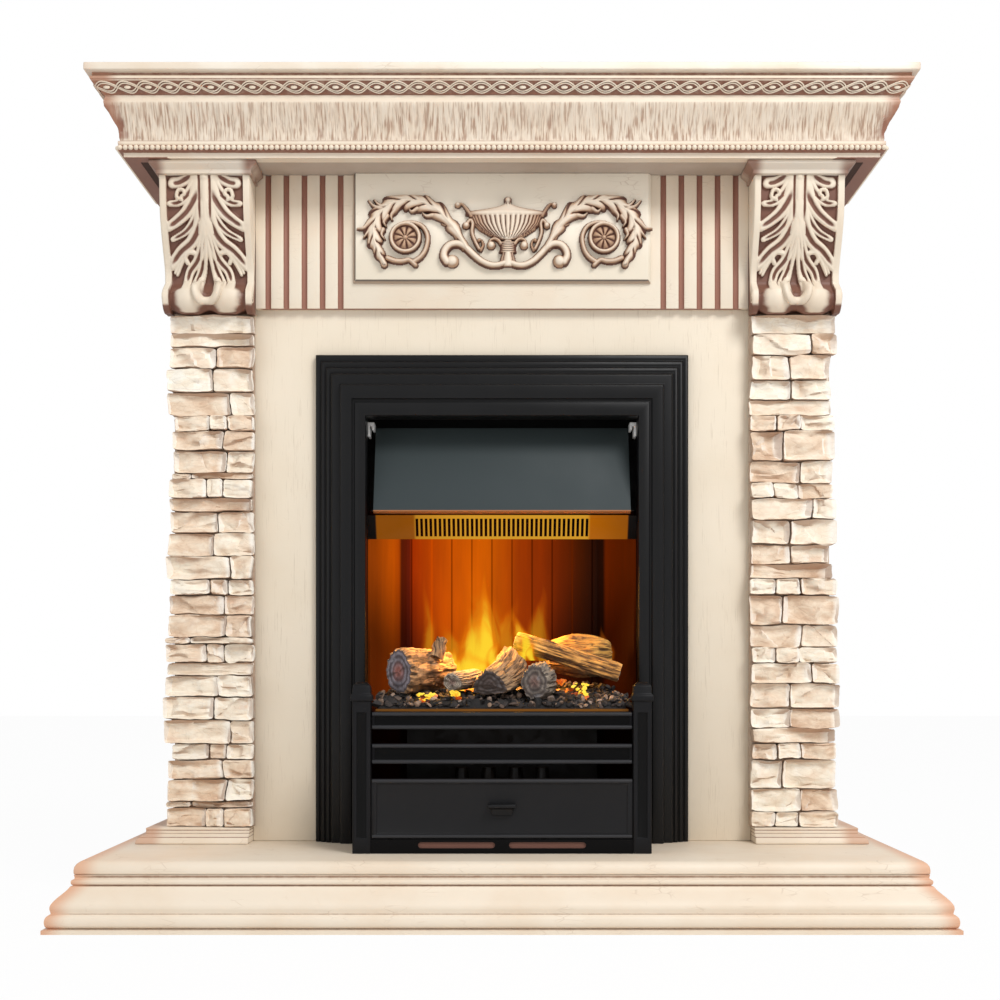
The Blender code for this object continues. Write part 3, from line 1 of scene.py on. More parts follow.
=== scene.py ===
"""The looks of an electric fireplace suite: a cast portal on a hearth round an inset electric fire.

Metres, +Z up, and the front faces -Y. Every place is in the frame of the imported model, so a piece
goes where the CAD says. Each class below is one sub-assembly, with its sizes as fields.
"""

from __future__ import annotations

import itertools
import logging
import math
import random
from dataclasses import dataclass
from enum import Enum
from typing import Callable, Iterable, Sequence

import bmesh
import bpy
import numpy as np
from mathutils import Euler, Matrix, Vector


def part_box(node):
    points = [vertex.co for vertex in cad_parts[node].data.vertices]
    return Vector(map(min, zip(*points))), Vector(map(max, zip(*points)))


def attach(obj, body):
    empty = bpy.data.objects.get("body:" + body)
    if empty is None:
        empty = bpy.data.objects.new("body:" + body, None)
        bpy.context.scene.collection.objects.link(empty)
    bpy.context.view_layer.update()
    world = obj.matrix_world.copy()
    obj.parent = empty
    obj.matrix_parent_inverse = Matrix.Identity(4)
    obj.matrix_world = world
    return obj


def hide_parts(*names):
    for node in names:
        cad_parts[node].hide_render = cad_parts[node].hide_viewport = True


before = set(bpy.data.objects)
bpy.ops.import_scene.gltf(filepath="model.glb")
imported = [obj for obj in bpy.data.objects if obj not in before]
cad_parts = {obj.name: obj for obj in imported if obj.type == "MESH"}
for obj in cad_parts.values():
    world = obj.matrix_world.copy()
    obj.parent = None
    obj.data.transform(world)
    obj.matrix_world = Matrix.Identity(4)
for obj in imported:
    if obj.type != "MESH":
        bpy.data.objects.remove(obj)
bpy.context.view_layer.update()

logging.basicConfig(level=logging.INFO, format="%(message)s")
log = logging.getLogger("fireplace")

Colour = tuple[float, float, float]
Spot = tuple[float, float, float]
Flat = tuple[float, float]

# Colours that several finishes share
CREAM = (0.815, 0.712, 0.580)
CREAM_DEEP = (0.770, 0.640, 0.495)
PATINA = (0.235, 0.098, 0.060)
COPPER_BROWN = (0.430, 0.190, 0.105)
SOOT = (0.010, 0.009, 0.010)
RUBBED_EDGE = (0.700, 0.385, 0.235)
UNLIT = (0.0, 0.0, 0.0)
WHITE = (1.0, 1.0, 1.0)

# Places that the sub-assemblies share with the CAD
WALL_Y = 0.205
SOFFIT_Z = 0.990


class Side(Enum):
    """The two sides of the suite, seen from the front."""

    LEFT = -1
    RIGHT = 1

    @property
    def word(self) -> str:
        """The side's name as the nodes have it."""
        return self.name.lower()


class Body(str, Enum):
    """The CAD bodies that pieces ride on."""

    CHASSIS = "chassis"
    FUEL_BED = "fuel_bed"
    DRAWER = "drawer"
    HOOD = "hood"


# Shader graphs


class Wire:
    """A socket of a shader graph that takes Python's operators."""

    def __init__(self, graph: Graph, socket: bpy.types.NodeSocket) -> None:
        """Keeps the graph and the socket."""
        self.graph = graph
        self.socket = socket

    def _math(self, operation: str, first: Wire | float, second: Wire | float) -> Wire:
        """Adds one Math node and returns its result."""
        return self.graph.node("Math", {"operation": operation}, {0: first, 1: second})

    def __add__(self, other: Wire | float) -> Wire:
        """The sum."""
        return self._math("ADD", self, other)

    def __radd__(self, other: float) -> Wire:
        """The sum, the number first."""
        return self._math("ADD", other, self)

    def __sub__(self, other: Wire | float) -> Wire:
        """The difference."""
        return self._math("SUBTRACT", self, other)

    def __rsub__(self, other: float) -> Wire:
        """The difference, the number first."""
        return self._math("SUBTRACT", other, self)

    def __mul__(self, other: Wire | float) -> Wire:
        """The product."""
        return self._math("MULTIPLY", self, other)

    def __rmul__(self, other: float) -> Wire:
        """The product, the number first."""
        return self._math("MULTIPLY", other, self)

    def __abs__(self) -> Wire:
        """The size without its sign."""
        return self._math("ABSOLUTE", self, 0.0)

    def at_most(self, other: Wire | float) -> Wire:
        """The smaller of the two."""
        return self._math("MINIMUM", self, other)


class Graph:
    """The node graph of one material, with its Principled shader."""

    def __init__(self, name: str) -> None:
        """Makes the material.

        Args:
            name: The material's name.
        """
        self.material = bpy.data.materials.new(name)
        self.material.use_nodes = True
        self.tree = self.material.node_tree
        self.shader = self.tree.nodes["Principled BSDF"]

    def feed(self, socket: bpy.types.NodeSocket, value: Wire | float | Sequence[float]) -> None:
        """Links a wire to a socket, or sets the socket's own value."""
        if isinstance(value, Wire):
            self.tree.links.new(value.socket, socket)
        elif isinstance(value, (int, float)):
            socket.default_value = value
        else:
            wanted = len(socket.default_value)
            socket.default_value = (*value, 1.0)[:wanted] if len(value) < wanted else value

    def node(
        self,
        kind: str,
        settings: dict[str, object] | None = None,
        inputs: dict[str | int, Wire | float | Sequence[float]] | None = None,
        output: str | int = 0,
    ) -> Wire:
        """Adds a node.

        Args:
            kind: The node's type without its ShaderNode prefix.
            settings: Its own settings, a ramp's stops among them.
            inputs: Values or wires for its sockets, by name or place.
            output: The socket that is wanted.

        Returns:
            The wanted output as a wire.
        """
        made = self.tree.nodes.new("ShaderNode" + kind)
        for key, value in (settings or {}).items():
            if key == "stops":
                ramp = made.color_ramp.elements
                while len(ramp) < len(value):
                    ramp.new(1.0)
                for stop, (place, colour) in zip(ramp, value):
                    stop.position = place
                    stop.color = (*colour, 1.0)
            else:
                setattr(made, key, value)
        for key, value in (inputs or {}).items():
            self.feed(made.inputs[key], value)
        return Wire(self, made.outputs[output])

    def spot(self, stretch: Spot = (1.0, 1.0, 1.0), shift: Spot = (0.0, 0.0, 0.0)) -> Wire:
        """Object coordinates, stretched and shifted."""
        place = self.node("TexCoord", output="Object")
        return self.node("Mapping", None, {"Vector": place, "Scale": stretch, "Location": shift})

    def axis(self, name: str) -> Wire:
        """One object coordinate."""
        return self.node("SeparateXYZ", None, {0: self.node("TexCoord", output="Object")}, name)

    def facing(self, name: str) -> Wire:
        """One coordinate of the surface's own direction."""
        return self.node("SeparateXYZ", None, {0: self.node("TexCoord", output="Normal")}, name)

    def mark(self, name: str) -> Wire:
        """A number that the mesh carries at each vertex."""
        return self.node("Attribute", {"attribute_name": name}, output="Fac")

    def noise(self, place: Wire, scale: float, detail: float = 3.0, rough: float = 0.55, bend: float = 0.0) -> Wire:
        """Noise from 0 to 1."""
        values = {"Vector": place, "Scale": scale, "Detail": detail, "Roughness": rough, "Distortion": bend}
        return self.node("TexNoise", None, values)

    def cracks(self, place: Wire, scale: float) -> Wire:
        """Distance to the nearest edge of irregular cells."""
        return self.node("TexVoronoi", {"feature": "DISTANCE_TO_EDGE"}, {"Vector": place, "Scale": scale})

    def step(self, value: Wire, low: float, high: float) -> Wire:
        """A smooth rise from 0 at low to 1 at high."""
        ends = {"Value": value, "From Min": low, "From Max": high}
        return self.node("MapRange", {"interpolation_type": "SMOOTHSTEP"}, ends)

    def mix(self, share: Wire | float, first: Wire | Colour, second: Wire | Colour) -> Wire:
        """A blend of two colours."""
        return self.node("Mix", {"data_type": "RGBA"}, {0: share, 6: first, 7: second}, 2)

    def ramp(self, value: Wire, stops: Sequence[tuple[float, Colour]]) -> Wire:
        """A colour ramp."""
        return self.node("ValToRGB", {"stops": stops}, {0: value})

    def relief(self, height: Wire, strength: float, distance: float) -> None:
        """Feeds a bump to the shader's normal."""
        bump = {"Height": height, "Strength": strength, "Distance": distance}
        self.dress(Normal=self.node("Bump", None, bump))

    def dress(self, **sockets: Wire | float | Sequence[float]) -> None:
        """Sets or links the shader's sockets; a _ in a name stands for a space."""
        for name, value in sockets.items():
            self.feed(self.shader.inputs[name.replace("_", " ")], value)


# Finishes


@dataclass(frozen=True)
class Finish:
    """A finish with a name, from which a material is made once."""

    name: str

    def paint(self, graph: Graph) -> None:
        """Fills in the graph."""
        raise NotImplementedError

    def material(self) -> bpy.types.Material:
        """The finish's material, made at its first use."""
        name = "suite_" + self.name
        known = bpy.data.materials.get(name)
        if known:
            return known
        graph = Graph(name)
        self.paint(graph)
        return graph.material


@dataclass(frozen=True)
class Patina(Finish):
    """Cream casting with brown rubbed into its hollows and over its ends; some copies also carry painted highlights
    and painted shade.
    """

    cream: Colour = CREAM
    deep: Colour = CREAM_DEEP
    brown: Colour = PATINA
    fill: float = 1.0
    ends: Flat = (9.0, 10.0)
    ends_colour: Colour = COPPER_BROWN
    grain: float = 0.0
    crackle: float = 0.35
    combed: Flat | None = None
    end_wear_and_shade: float = 0.72
    middle: float = 0.0
    even: float = 0.0
    shine: float = 0.5
    cornered: float = 0.0
    # Painted highlight on raised tops, and the raised panel's painted shade
    highlit_tops: bool = False
    turned: bool = False

    def paint(self, graph: Graph) -> None:
        """Cream with cloudy tone, crackle, grain, and patina where the mesh is hollow, with painted highlights and
        painted shade where a copy asks for them.
        """
        clouds = graph.noise(graph.spot(), 9.0, 4.0)
        cream = graph.mix(graph.step(clouds, 0.35, 0.75), self.cream, self.deep)
        lines = graph.cracks(graph.spot((18.0, 18.0, 70.0)), 2.2)
        patches = graph.step(graph.noise(graph.spot(), 26.0, 2.0), 0.52, 0.70)
        hair = (1.0 - graph.step(lines, 0.0, 0.045)) * patches
        cream = graph.mix(hair * self.crackle, cream, (0.47, 0.33, 0.22))
        if self.grain:
            ticks = graph.noise(graph.spot((900.0, 900.0, 34.0)), 1.0, 2.0, 0.6)
            beds = graph.noise(graph.spot((60.0, 60.0, 9.0)), 1.0, 2.0)
            ticks = graph.step(ticks, 0.57, 0.70) * graph.step(beds, 0.42, 0.62)
            cream = graph.mix(ticks * self.grain, cream, (0.49, 0.39, 0.27))
        if self.combed:
            cream = self.comb(graph, cream, *self.combed)
        streaks = graph.noise(graph.spot(), 130.0, 3.0)
        rubbed = graph.mark("hollow") * (0.62 + 0.75 * streaks) * self.fill
        colour = graph.mix(graph.step(rubbed, 0.12, 0.88), cream, self.brown)
        # Painted highlight: the raised tops of a carving turn a pale cream.
        if self.highlit_tops:
            colour = graph.mix(graph.step(graph.mark("tall"), 0.62, 0.95) * 0.80, colour, (0.900, 0.795, 0.655))
        if self.turned:
            colour = self.paint_panel_shade(graph, colour)
        if self.cornered:
            colour = graph.mix(graph.step(graph.mark("end"), 0.15, 1.0) * self.cornered, colour, self.ends_colour)
        # Colour over the ends: rubbed wear on most castings, painted shade on the soffit's ends.
        worn = graph.step(abs(abs(graph.axis("X")) - self.middle), *self.ends)
        worn = worn * graph.step(graph.noise(graph.spot(), 16.0, 3.0), 0.30 - self.even, 0.62 - self.even)
        colour = graph.mix(worn * self.end_wear_and_shade, colour, self.ends_colour)
        graph.dress(Base_Color=colour, Roughness=0.42 + 0.22 * clouds, Specular_IOR_Level=self.shine)
        fine = graph.noise(graph.spot(), 620.0, 2.0) * 0.5 + clouds * 0.5
        graph.relief(fine - hair * 0.35, 0.22, 0.0008)

    @staticmethod
    def ribs(graph: Graph, sideways: Wire, close: float, loose: float, tall: float, detail: float) -> Wire:
        """Upright ribs on faces that look to the front or to a side."""
        front = graph.noise(graph.spot((close, loose, tall)), 1.0, detail, 0.5)
        side = graph.noise(graph.spot((loose, close, tall)), 1.0, detail, 0.5)
        return front * (1.0 - sideways) + side * sideways

    def comb(self, graph: Graph, cream: Wire, low: float, high: float) -> Wire:
        """Cream with brown combed into it between two heights, and pale crests between the cuts."""
        z = graph.axis("Z")
        band = graph.step(z, low, low + 0.003) * (1.0 - graph.step(z, high - 0.003, high))
        band = band * (1.0 - graph.step(graph.facing("Y"), 0.3, 0.7))
        sideways = graph.step(abs(graph.facing("X")), 0.5, 0.7)
        broad = self.ribs(graph, sideways, 430.0, 9.0, 44.0, 2.0)
        fine = self.ribs(graph, sideways, 820.0, 12.0, 60.0, 1.0)
        tufts = graph.noise(graph.spot((30.0, 30.0, 24.0)), 1.0, 3.0)
        low_down = 1.0 - graph.step(z, low + 0.020, high) * 0.30
        cut = graph.step(broad, 0.50, 0.66) + graph.step(fine, 0.52, 0.70) * 0.7
        cut = cut * (0.50 + 0.7 * tufts) * low_down * band
        cream = graph.mix(cut.at_most(1.0) * 0.92, cream, (0.380, 0.235, 0.160))
        cream = graph.mix(graph.step(broad, 0.47, 0.36) * band * 0.4, cream, (0.900, 0.830, 0.720))
        return graph.mix(band * 0.16, cream, (0.420, 0.290, 0.200))

    @staticmethod
    def paint_panel_shade(graph: Graph, colour: Wire) -> Wire:
        """Painted shade on the raised panel: darker low down, which evens it out under the shelf's cast shadow, and
        dark painted shade on its faces to the left and below.
        """
        # Painted shade on faces turned left and down, darkest along the front edge.
        side = graph.step(graph.facing("X"), -0.3, -0.8)
        under = graph.step(graph.facing("Z"), -0.3, -0.8)
        near = graph.step(graph.axis("Y"), 0.0378, 0.0366)
        shade = graph.mix(near, (0.420, 0.300, 0.220), (0.040, 0.018, 0.012))
        # Painted shade low down on the panel.
        low_down = 1.0 - graph.step(graph.axis("Z"), 0.862, 0.935)
        colour = graph.mix(low_down * 0.85, colour, (0.730, 0.650, 0.520))
        return graph.mix((side + under).at_most(1.0) * 0.92, colour, shade)


@dataclass(frozen=True)
class SplitStone(Finish):
    """Cast stacked stone in creams, tans and pinks, darker in the joints, with painted highlights on right-facing
    sides and painted shade under and to the left.
    """

    joints: float = 0.78

    def paint(self, graph: Graph) -> None:
        """Each stone has a tone of its own under mottling, grit and streaks."""
        tone = graph.mark("tone")
        mottle = graph.noise(graph.spot((1.0, 1.0, 1.6)), 40.0, 5.0, 0.66, 0.5)
        base = graph.ramp(
            tone * 0.46 + (mottle - 0.5) * 1.15 + 0.30,
            (
                (0.10, (0.560, 0.375, 0.250)), (0.30, (0.750, 0.570, 0.415)), (0.50, (0.850, 0.710, 0.555)),
                (0.70, (0.910, 0.815, 0.670)), (0.90, (0.950, 0.895, 0.790)),
            ),
        )
        pink = graph.step(graph.noise(graph.spot((1.0, 1.0, 2.6), (3.0, 1.0, 2.0)), 21.0, 3.0), 0.55, 0.75)
        base = graph.mix(pink * 0.45, base, (0.640, 0.400, 0.270))
        bleached = graph.step(graph.noise(graph.spot((1.0, 1.0, 3.2), (7.0, 0.0, 4.0)), 16.0, 4.0), 0.56, 0.72)
        base = graph.mix(bleached * 0.55, base, (0.880, 0.810, 0.680))
        # Painted highlight on faces turned to the right and along each stone's right edge.
        lit = graph.step(graph.facing("X"), 0.25, 0.75)
        lit = (lit * 0.75 + graph.mark("lit") * 0.80).at_most(1.0)
        base = graph.mix(lit, base, (0.960, 0.910, 0.830))
        # Painted shade on faces turned down and to the left.
        under = graph.step(graph.facing("Z"), -0.25, -0.80)
        shaded = graph.step(graph.facing("X"), -0.35, -0.85)
        base = graph.mix((under * 0.75 + shaded * 0.45).at_most(1.0), base, (0.400, 0.235, 0.150))
        veins = 1.0 - graph.step(graph.cracks(graph.spot((1.0, 1.0, 2.4)), 52.0), 0.0, 0.05)
        base = graph.mix(veins * mottle * 0.12, base, (0.330, 0.210, 0.140))
        grit = graph.noise(graph.spot(), 420.0, 3.0, 0.7)
        joint = graph.step(graph.mark("hollow") * (0.7 + 0.6 * mottle), 0.25, 0.95)
        base = graph.mix(joint * self.joints, base, (0.330, 0.210, 0.145))
        graph.dress(Base_Color=base, Roughness=0.78 + 0.15 * grit)
        graph.relief(grit * 0.5 + mottle * 0.9 - veins * 0.3, 0.55, 0.0016)


@dataclass(frozen=True)
class Board(Finish):
    """Fibre board: raw behind, painted where the pilasters' sides show."""

    colour: Colour = (0.520, 0.400, 0.270)
    fleck: float = 0.55

    def paint(self, graph: Graph) -> None:
        """Pressed fibres with darker flecks."""
        fibres = graph.noise(graph.spot((1.0, 1.0, 0.4)), 240.0, 4.0, 0.7)
        clouds = graph.noise(graph.spot(), 12.0, 3.0)
        colour = graph.mix(
            graph.step(fibres, 0.45, 0.75), self.colour, tuple(self.fleck * part for part in self.colour),
        )
        colour = graph.mix(clouds * 0.4, colour, tuple(min(1.0, 1.25 * part) for part in self.colour))
        graph.dress(Base_Color=colour, Roughness=0.72 + 0.2 * fibres)
        graph.relief(fibres, 0.3, 0.0006)


@dataclass(frozen=True)
class Enamel(Finish):
    """Satin enamel on steel, with a fine orange-peel and handling marks."""

    colour: Colour = (0.0030, 0.0029, 0.0036)
    lift: Colour = (0.0075, 0.0074, 0.0088)
    rough: float = 0.40
    # The colour of the painted firelight, and the height above which it shows
    warm: Colour = (0.095, 0.045, 0.028)
    warm_from: float = 9.0
    shine: float = 0.22

    def paint(self, graph: Graph) -> None:
        """Slow tone changes, a fine speckle and uneven gloss, with painted firelight above a height and painted
        shade on sunk floors.
        """
        clouds = graph.noise(graph.spot(), 11.0, 3.0)
        speckle = graph.noise(graph.spot(), 900.0, 2.0, 0.6)
        smears = graph.noise(graph.spot((1.0, 1.0, 0.35)), 38.0, 4.0)
        colour = graph.mix(clouds * 0.55 + speckle * 0.35, self.colour, self.lift)
        # Painted firelight: a warm tint above a given height.
        colour = graph.mix(graph.step(graph.axis("Z"), self.warm_from, self.warm_from + 0.006), colour, self.warm)
        # Painted shade on the floors of sunk faces.
        colour = graph.mix(graph.mark("hollow") * 0.9, colour, (0.0008, 0.0008, 0.0009))
        rough = self.rough - 0.06 + 0.14 * smears + 0.05 * speckle
        graph.dress(Base_Color=colour, Roughness=rough, Specular_IOR_Level=self.shine)
        graph.relief(speckle, 0.12, 0.0003)


@dataclass(frozen=True)
class Canopy(Finish):
    """The hood's blue grey enamel, with painted shade under the frame above it."""

    top: float = 0.650
    foot: float = 0.531

    def paint(self, graph: Graph) -> None:
        """A grey that lightens downwards, as painted shade under the frame, with flecks and smeared gloss, and a
        painted reflection of firelight along its foot.
        """
        fall = graph.step(graph.axis("Z"), self.foot, self.top)
        speckle = graph.noise(graph.spot(), 1100.0, 2.0, 0.7)
        smears = graph.noise(graph.spot((1.0, 1.0, 0.5)), 30.0, 4.0)
        # Painted shade: darker towards the top, under the frame.
        colour = graph.mix(fall, (0.033, 0.044, 0.047), (0.030, 0.040, 0.041))
        colour = graph.mix(speckle * 0.5, colour, (0.052, 0.065, 0.068))
        # Painted reflection of the firelight in copper along the hood's lower edge.
        colour = graph.mix(
            graph.step(graph.axis("Z"), self.foot + 0.0030, self.foot + 0.0012), colour, (0.420, 0.160, 0.055),
        )
        graph.dress(Base_Color=colour, Roughness=0.50 + 0.12 * smears, Specular_IOR_Level=0.22)
        graph.relief(speckle, 0.10, 0.0003)


@dataclass(frozen=True)
class Plastic(Finish):
    """Moulded plastic with a fine spark-eroded grain."""

    colour: Colour = (0.022, 0.022, 0.024)
    rough: float = 0.46
    see_through: float = 0.0

    def paint(self, graph: Graph) -> None:
        """Flat colour broken by grain, flow marks and dust."""
        grain = graph.noise(graph.spot(), 1300.0, 2.0, 0.7)
        flow = graph.noise(graph.spot((1.0, 1.0, 2.0)), 18.0, 3.0)
        lighter = tuple(min(1.0, 1.5 * part + 0.006) for part in self.colour)
        colour = graph.mix(flow * 0.35 + grain * 0.25, self.colour, lighter)
        graph.dress(Base_Color=colour, Roughness=self.rough + 0.12 * grain, Alpha=1.0 - self.see_through)
        graph.relief(grain, 0.14, 0.0003)


@dataclass(frozen=True)
class Galvanised(Finish):
    """Zinc coated sheet with its spangle, near black on the faces that look inwards: painted shade inside the
    casing.
    """

    centre: Spot | None = None
    shade: float = 1.0

    def paint(self, graph: Graph) -> None:
        """Crystal patches in a cool grey, with painted shade where a copy asks for it."""
        spangle = graph.node("TexVoronoi", None, {"Vector": graph.spot(), "Scale": 90.0}, "Color")
        tone = graph.node("SeparateColor", None, {0: spangle})
        smears = graph.noise(graph.spot(), 25.0, 4.0)
        colour = graph.ramp(
            tone * 0.6 + smears * 0.4,
            ((0.15, (0.330, 0.345, 0.360)), (0.50, (0.470, 0.485, 0.495)), (0.85, (0.610, 0.620, 0.625))),
        )
        metal = 0.85
        # Painted shade: faces that look inwards, away from a centre, are near black and not metallic.
        if self.centre:
            place = graph.spot(shift=tuple(-part for part in self.centre))
            facing = graph.node("TexCoord", output="Normal")
            outward = graph.node("VectorMath", {"operation": "DOT_PRODUCT"}, {0: place, 1: facing}, "Value")
            painted = graph.step(outward, 0.0, -0.002)
            colour = graph.mix(painted, colour, (0.006, 0.006, 0.006))
            metal = 0.85 - 0.85 * painted
        # Painted shade: a copy darkened almost to black.
        if self.shade < 1.0:
            colour = graph.mix(self.shade, (0.004, 0.004, 0.004), colour)
        graph.dress(Base_Color=colour, Roughness=0.34 + 0.22 * tone, Metallic=metal)
        graph.relief(tone, 0.08, 0.0003)


@dataclass(frozen=True)
class CopperSheet(Finish):
    """Copper tinted sheet with painted light from the fire under it."""

    colour: Colour = (0.200, 0.080, 0.012)
    glow: Colour = (0.110, 0.035, 0.001)
    shine: float = 0.6
    slotted: Colour | None = None

    def paint(self, graph: Graph) -> None:
        """A brushed sheet with painted warm firelight, brightest in the middle and through the slots, and painted
        shade past the opening's edges.
        """
        brushed = graph.noise(graph.spot((6.0, 300.0, 300.0)), 1.0, 3.0)
        clouds = graph.noise(graph.spot(), 20.0, 3.0)
        # Painted firelight, given off by the sheet itself, brightest in the middle.
        middle = 1.0 - graph.step(abs(graph.axis("X") - 0.030), 0.06, 0.172)
        colour = graph.mix(clouds, self.colour, tuple(0.6 * part for part in self.colour))
        light = graph.mix(middle * 0.80 + clouds * 0.20, tuple(0.42 * part for part in self.glow), self.glow)
        # Painted glow through the grille's slots.
        if self.slotted:
            slots = graph.step(abs(graph.axis("X")), 0.1210, 0.1160)
            light = graph.mix(slots * (0.55 + 0.45 * middle), light, self.slotted)
        # Painted shade past the edges of the fire opening: near black and unlit.
        outside = graph.step(abs(graph.axis("X")), 0.1700, 0.1725)
        light = graph.mix(outside, light, UNLIT)
        colour = graph.mix(outside, colour, (0.004, 0.003, 0.003))
        graph.dress(
            Base_Color=colour, Roughness=0.34 + 0.20 * brushed, Metallic=0.35, Specular_IOR_Level=0.2,
            Emission_Color=light, Emission_Strength=self.shine,
        )
        graph.relief(brushed, 0.06, 0.0003)


@dataclass(frozen=True)
class Reflector(Finish):
    """The fluted copper mirror behind the fire, with a painted reflection of the firelight that it throws back."""

    span: float = 0.36
    low: float = 0.335
    high: float = 0.490
    foot: float = 0.262
    shaded: float = 0.5085

    def paint(self, graph: Graph) -> None:
        """A painted orange reflection of the fire across the mirror, strongest left of the middle, in upright
        streaks.
        """
        z = graph.axis("Z")
        across = graph.ramp(
            graph.axis("X") * (1.0 / self.span) + 0.5,
            (
                (0.020, (0.240, 0.038, 0.001)), (0.070, (0.480, 0.075, 0.001)), (0.092, (0.400, 0.055, 0.001)),
                (0.098, (0.090, 0.010, 0.002)), (0.130, (0.130, 0.010, 0.002)), (0.140, (0.340, 0.026, 0.0)),
                (0.330, (0.560, 0.085, 0.0)), (0.430, (0.520, 0.088, 0.0)), (0.572, (0.300, 0.034, 0.0)),
                (0.653, (0.240, 0.025, 0.0)), (0.733, (0.125, 0.013, 0.0)), (0.814, (0.050, 0.007, 0.0)),
                (0.880, (0.013, 0.003, 0.001)), (0.903, (0.014, 0.003, 0.001)), (0.912, (0.110, 0.012, 0.0)),
                (0.975, (0.075, 0.009, 0.0)),
            ),
        )
        streaks = graph.noise(graph.spot((75.0, 75.0, 5.0)), 1.0, 4.0, 0.6)
        waves = graph.noise(graph.spot((14.0, 14.0, 5.0), (2.0, 0.0, 1.0)), 1.0, 3.0)
        middle = 1.0 - graph.step(abs(graph.axis("X") + 0.02), 0.05, 0.13)
        fall = 0.22 + 0.78 * graph.step(z + middle * 0.08, self.low, self.high)
        power = fall * (0.62 + streaks * 0.42) * (0.70 + waves * 0.55) * (1.0 - graph.mark("hollow") * 0.75)
        # Painted shade: no reflected light at the mirror's foot, and none above a height under the hood.
        power = power * graph.step(z, self.foot, self.foot + 0.012) * (
            1.0 - graph.step(z, self.shaded, self.shaded + 0.003)
        )
        graph.dress(
            Base_Color=graph.mix(0.94, across, (0.006, 0.002, 0.001)), Roughness=0.38 + 0.25 * streaks,
            Specular_IOR_Level=0.04, Emission_Color=graph.mix(power.at_most(1.0), UNLIT, across),
            Emission_Strength=1.25,
        )


@dataclass(frozen=True)
class Ceramic(Finish):
    """The heating element's ceramic blocks between its fins."""

    def paint(self, graph: Graph) -> None:
        """White ceramic with scorched stripes."""
        stripes = graph.node("TexWave", {"bands_direction": "X"}, {"Vector": graph.spot(), "Scale": 110.0})
        clouds = graph.noise(graph.spot(), 60.0, 3.0)
        colour = graph.mix(stripes, (0.62, 0.60, 0.55), (0.30, 0.27, 0.24))
        graph.dress(Base_Color=graph.mix(clouds * 0.4, colour, (0.45, 0.30, 0.18)), Roughness=0.5 + 0.2 * clouds)
        graph.relief(stripes, 0.3, 0.0008)


@dataclass(frozen=True)
class Wood(Finish):
    """A moulded resin log: bark that follows its length, and an end with growth rings."""

    light: Colour = (0.400, 0.270, 0.160)
    dark: Colour = (0.085, 0.050, 0.035)
    end_light: Colour = (0.330, 0.290, 0.250)
    end_dark: Colour = (0.085, 0.065, 0.060)
    heart: Colour = (0.200, 0.110, 0.090)
    rings: float = 34.0
    glow: Colour = UNLIT
    glow_along: Flat = (2.0, 3.0)

    def paint(self, graph: Graph) -> None:
        """Ridged bark, charred below and at the tips, and ringed ends, with painted shade on faces turned down and
        painted firelight near one end where asked.
        """
        along, around = graph.mark("along"), graph.mark("around")
        surface = graph.node("CombineXYZ", None, {0: along, 1: around, 2: 0.0})
        fibre_place = graph.node("Mapping", None, {"Vector": surface, "Scale": (36.0, 330.0, 1.0)})
        patch_place = graph.node("Mapping", None, {"Vector": surface, "Scale": (40.0, 90.0, 1.0)})
        fibres = graph.noise(fibre_place, 1.0, 4.0, 0.65, 0.5)
        patches = graph.noise(patch_place, 1.0, 4.0, 0.6)
        bark = graph.mix(graph.step(fibres, 0.36, 0.62), self.dark, self.light)
        pale = tuple(min(1.0, 1.35 * part + 0.03) for part in self.light)
        bark = graph.mix(graph.step(patches, 0.50, 0.70) * 0.65, bark, pale)
        bark = graph.mix(graph.step(graph.mark("hollow"), 0.25, 0.9) * 0.8, bark, SOOT)
        ring = graph.mark("ring")
        wobble = graph.noise(graph.spot(), 90.0, 3.0)
        growth = graph.node("Math", {"operation": "SINE"}, {0: ring * self.rings + wobble * 4.2})
        end = graph.mix(graph.step(growth + wobble * 2.0 - 1.0, -1.3, 1.2), self.end_dark, self.end_light)
        end = graph.mix((1.0 - graph.step(ring, 0.12, 0.60)) * 0.8, end, self.heart)
        end = graph.mix(graph.step(wobble, 0.55, 0.75) * 0.5, end, (0.36, 0.36, 0.40))
        colour = graph.mix(graph.mark("end"), bark, end)
        # Painted shade on faces turned downwards.
        below = graph.step(graph.facing("Z") + patches * 0.7 - 0.35, 0.22, -0.50)
        colour = graph.mix(below * 0.80, colour, (0.034, 0.019, 0.012))
        char = graph.step(graph.mark("char") + patches * 0.5 - 0.25, 0.35, 0.85)
        colour = graph.mix(char * 0.9, colour, SOOT)
        # Painted firelight: a glow along part of the log's length.
        hot = graph.step(along + fibres * 0.02, *self.glow_along) * graph.step(patches, 0.35, 0.6)
        graph.dress(
            Base_Color=colour, Roughness=0.66 + 0.22 * fibres,
            Emission_Color=graph.mix(hot, UNLIT, self.glow), Emission_Strength=1.0,
        )
        graph.relief(fibres * 0.8 + patches * 0.5 + growth * graph.mark("end") * 0.25, 0.6, 0.0018)


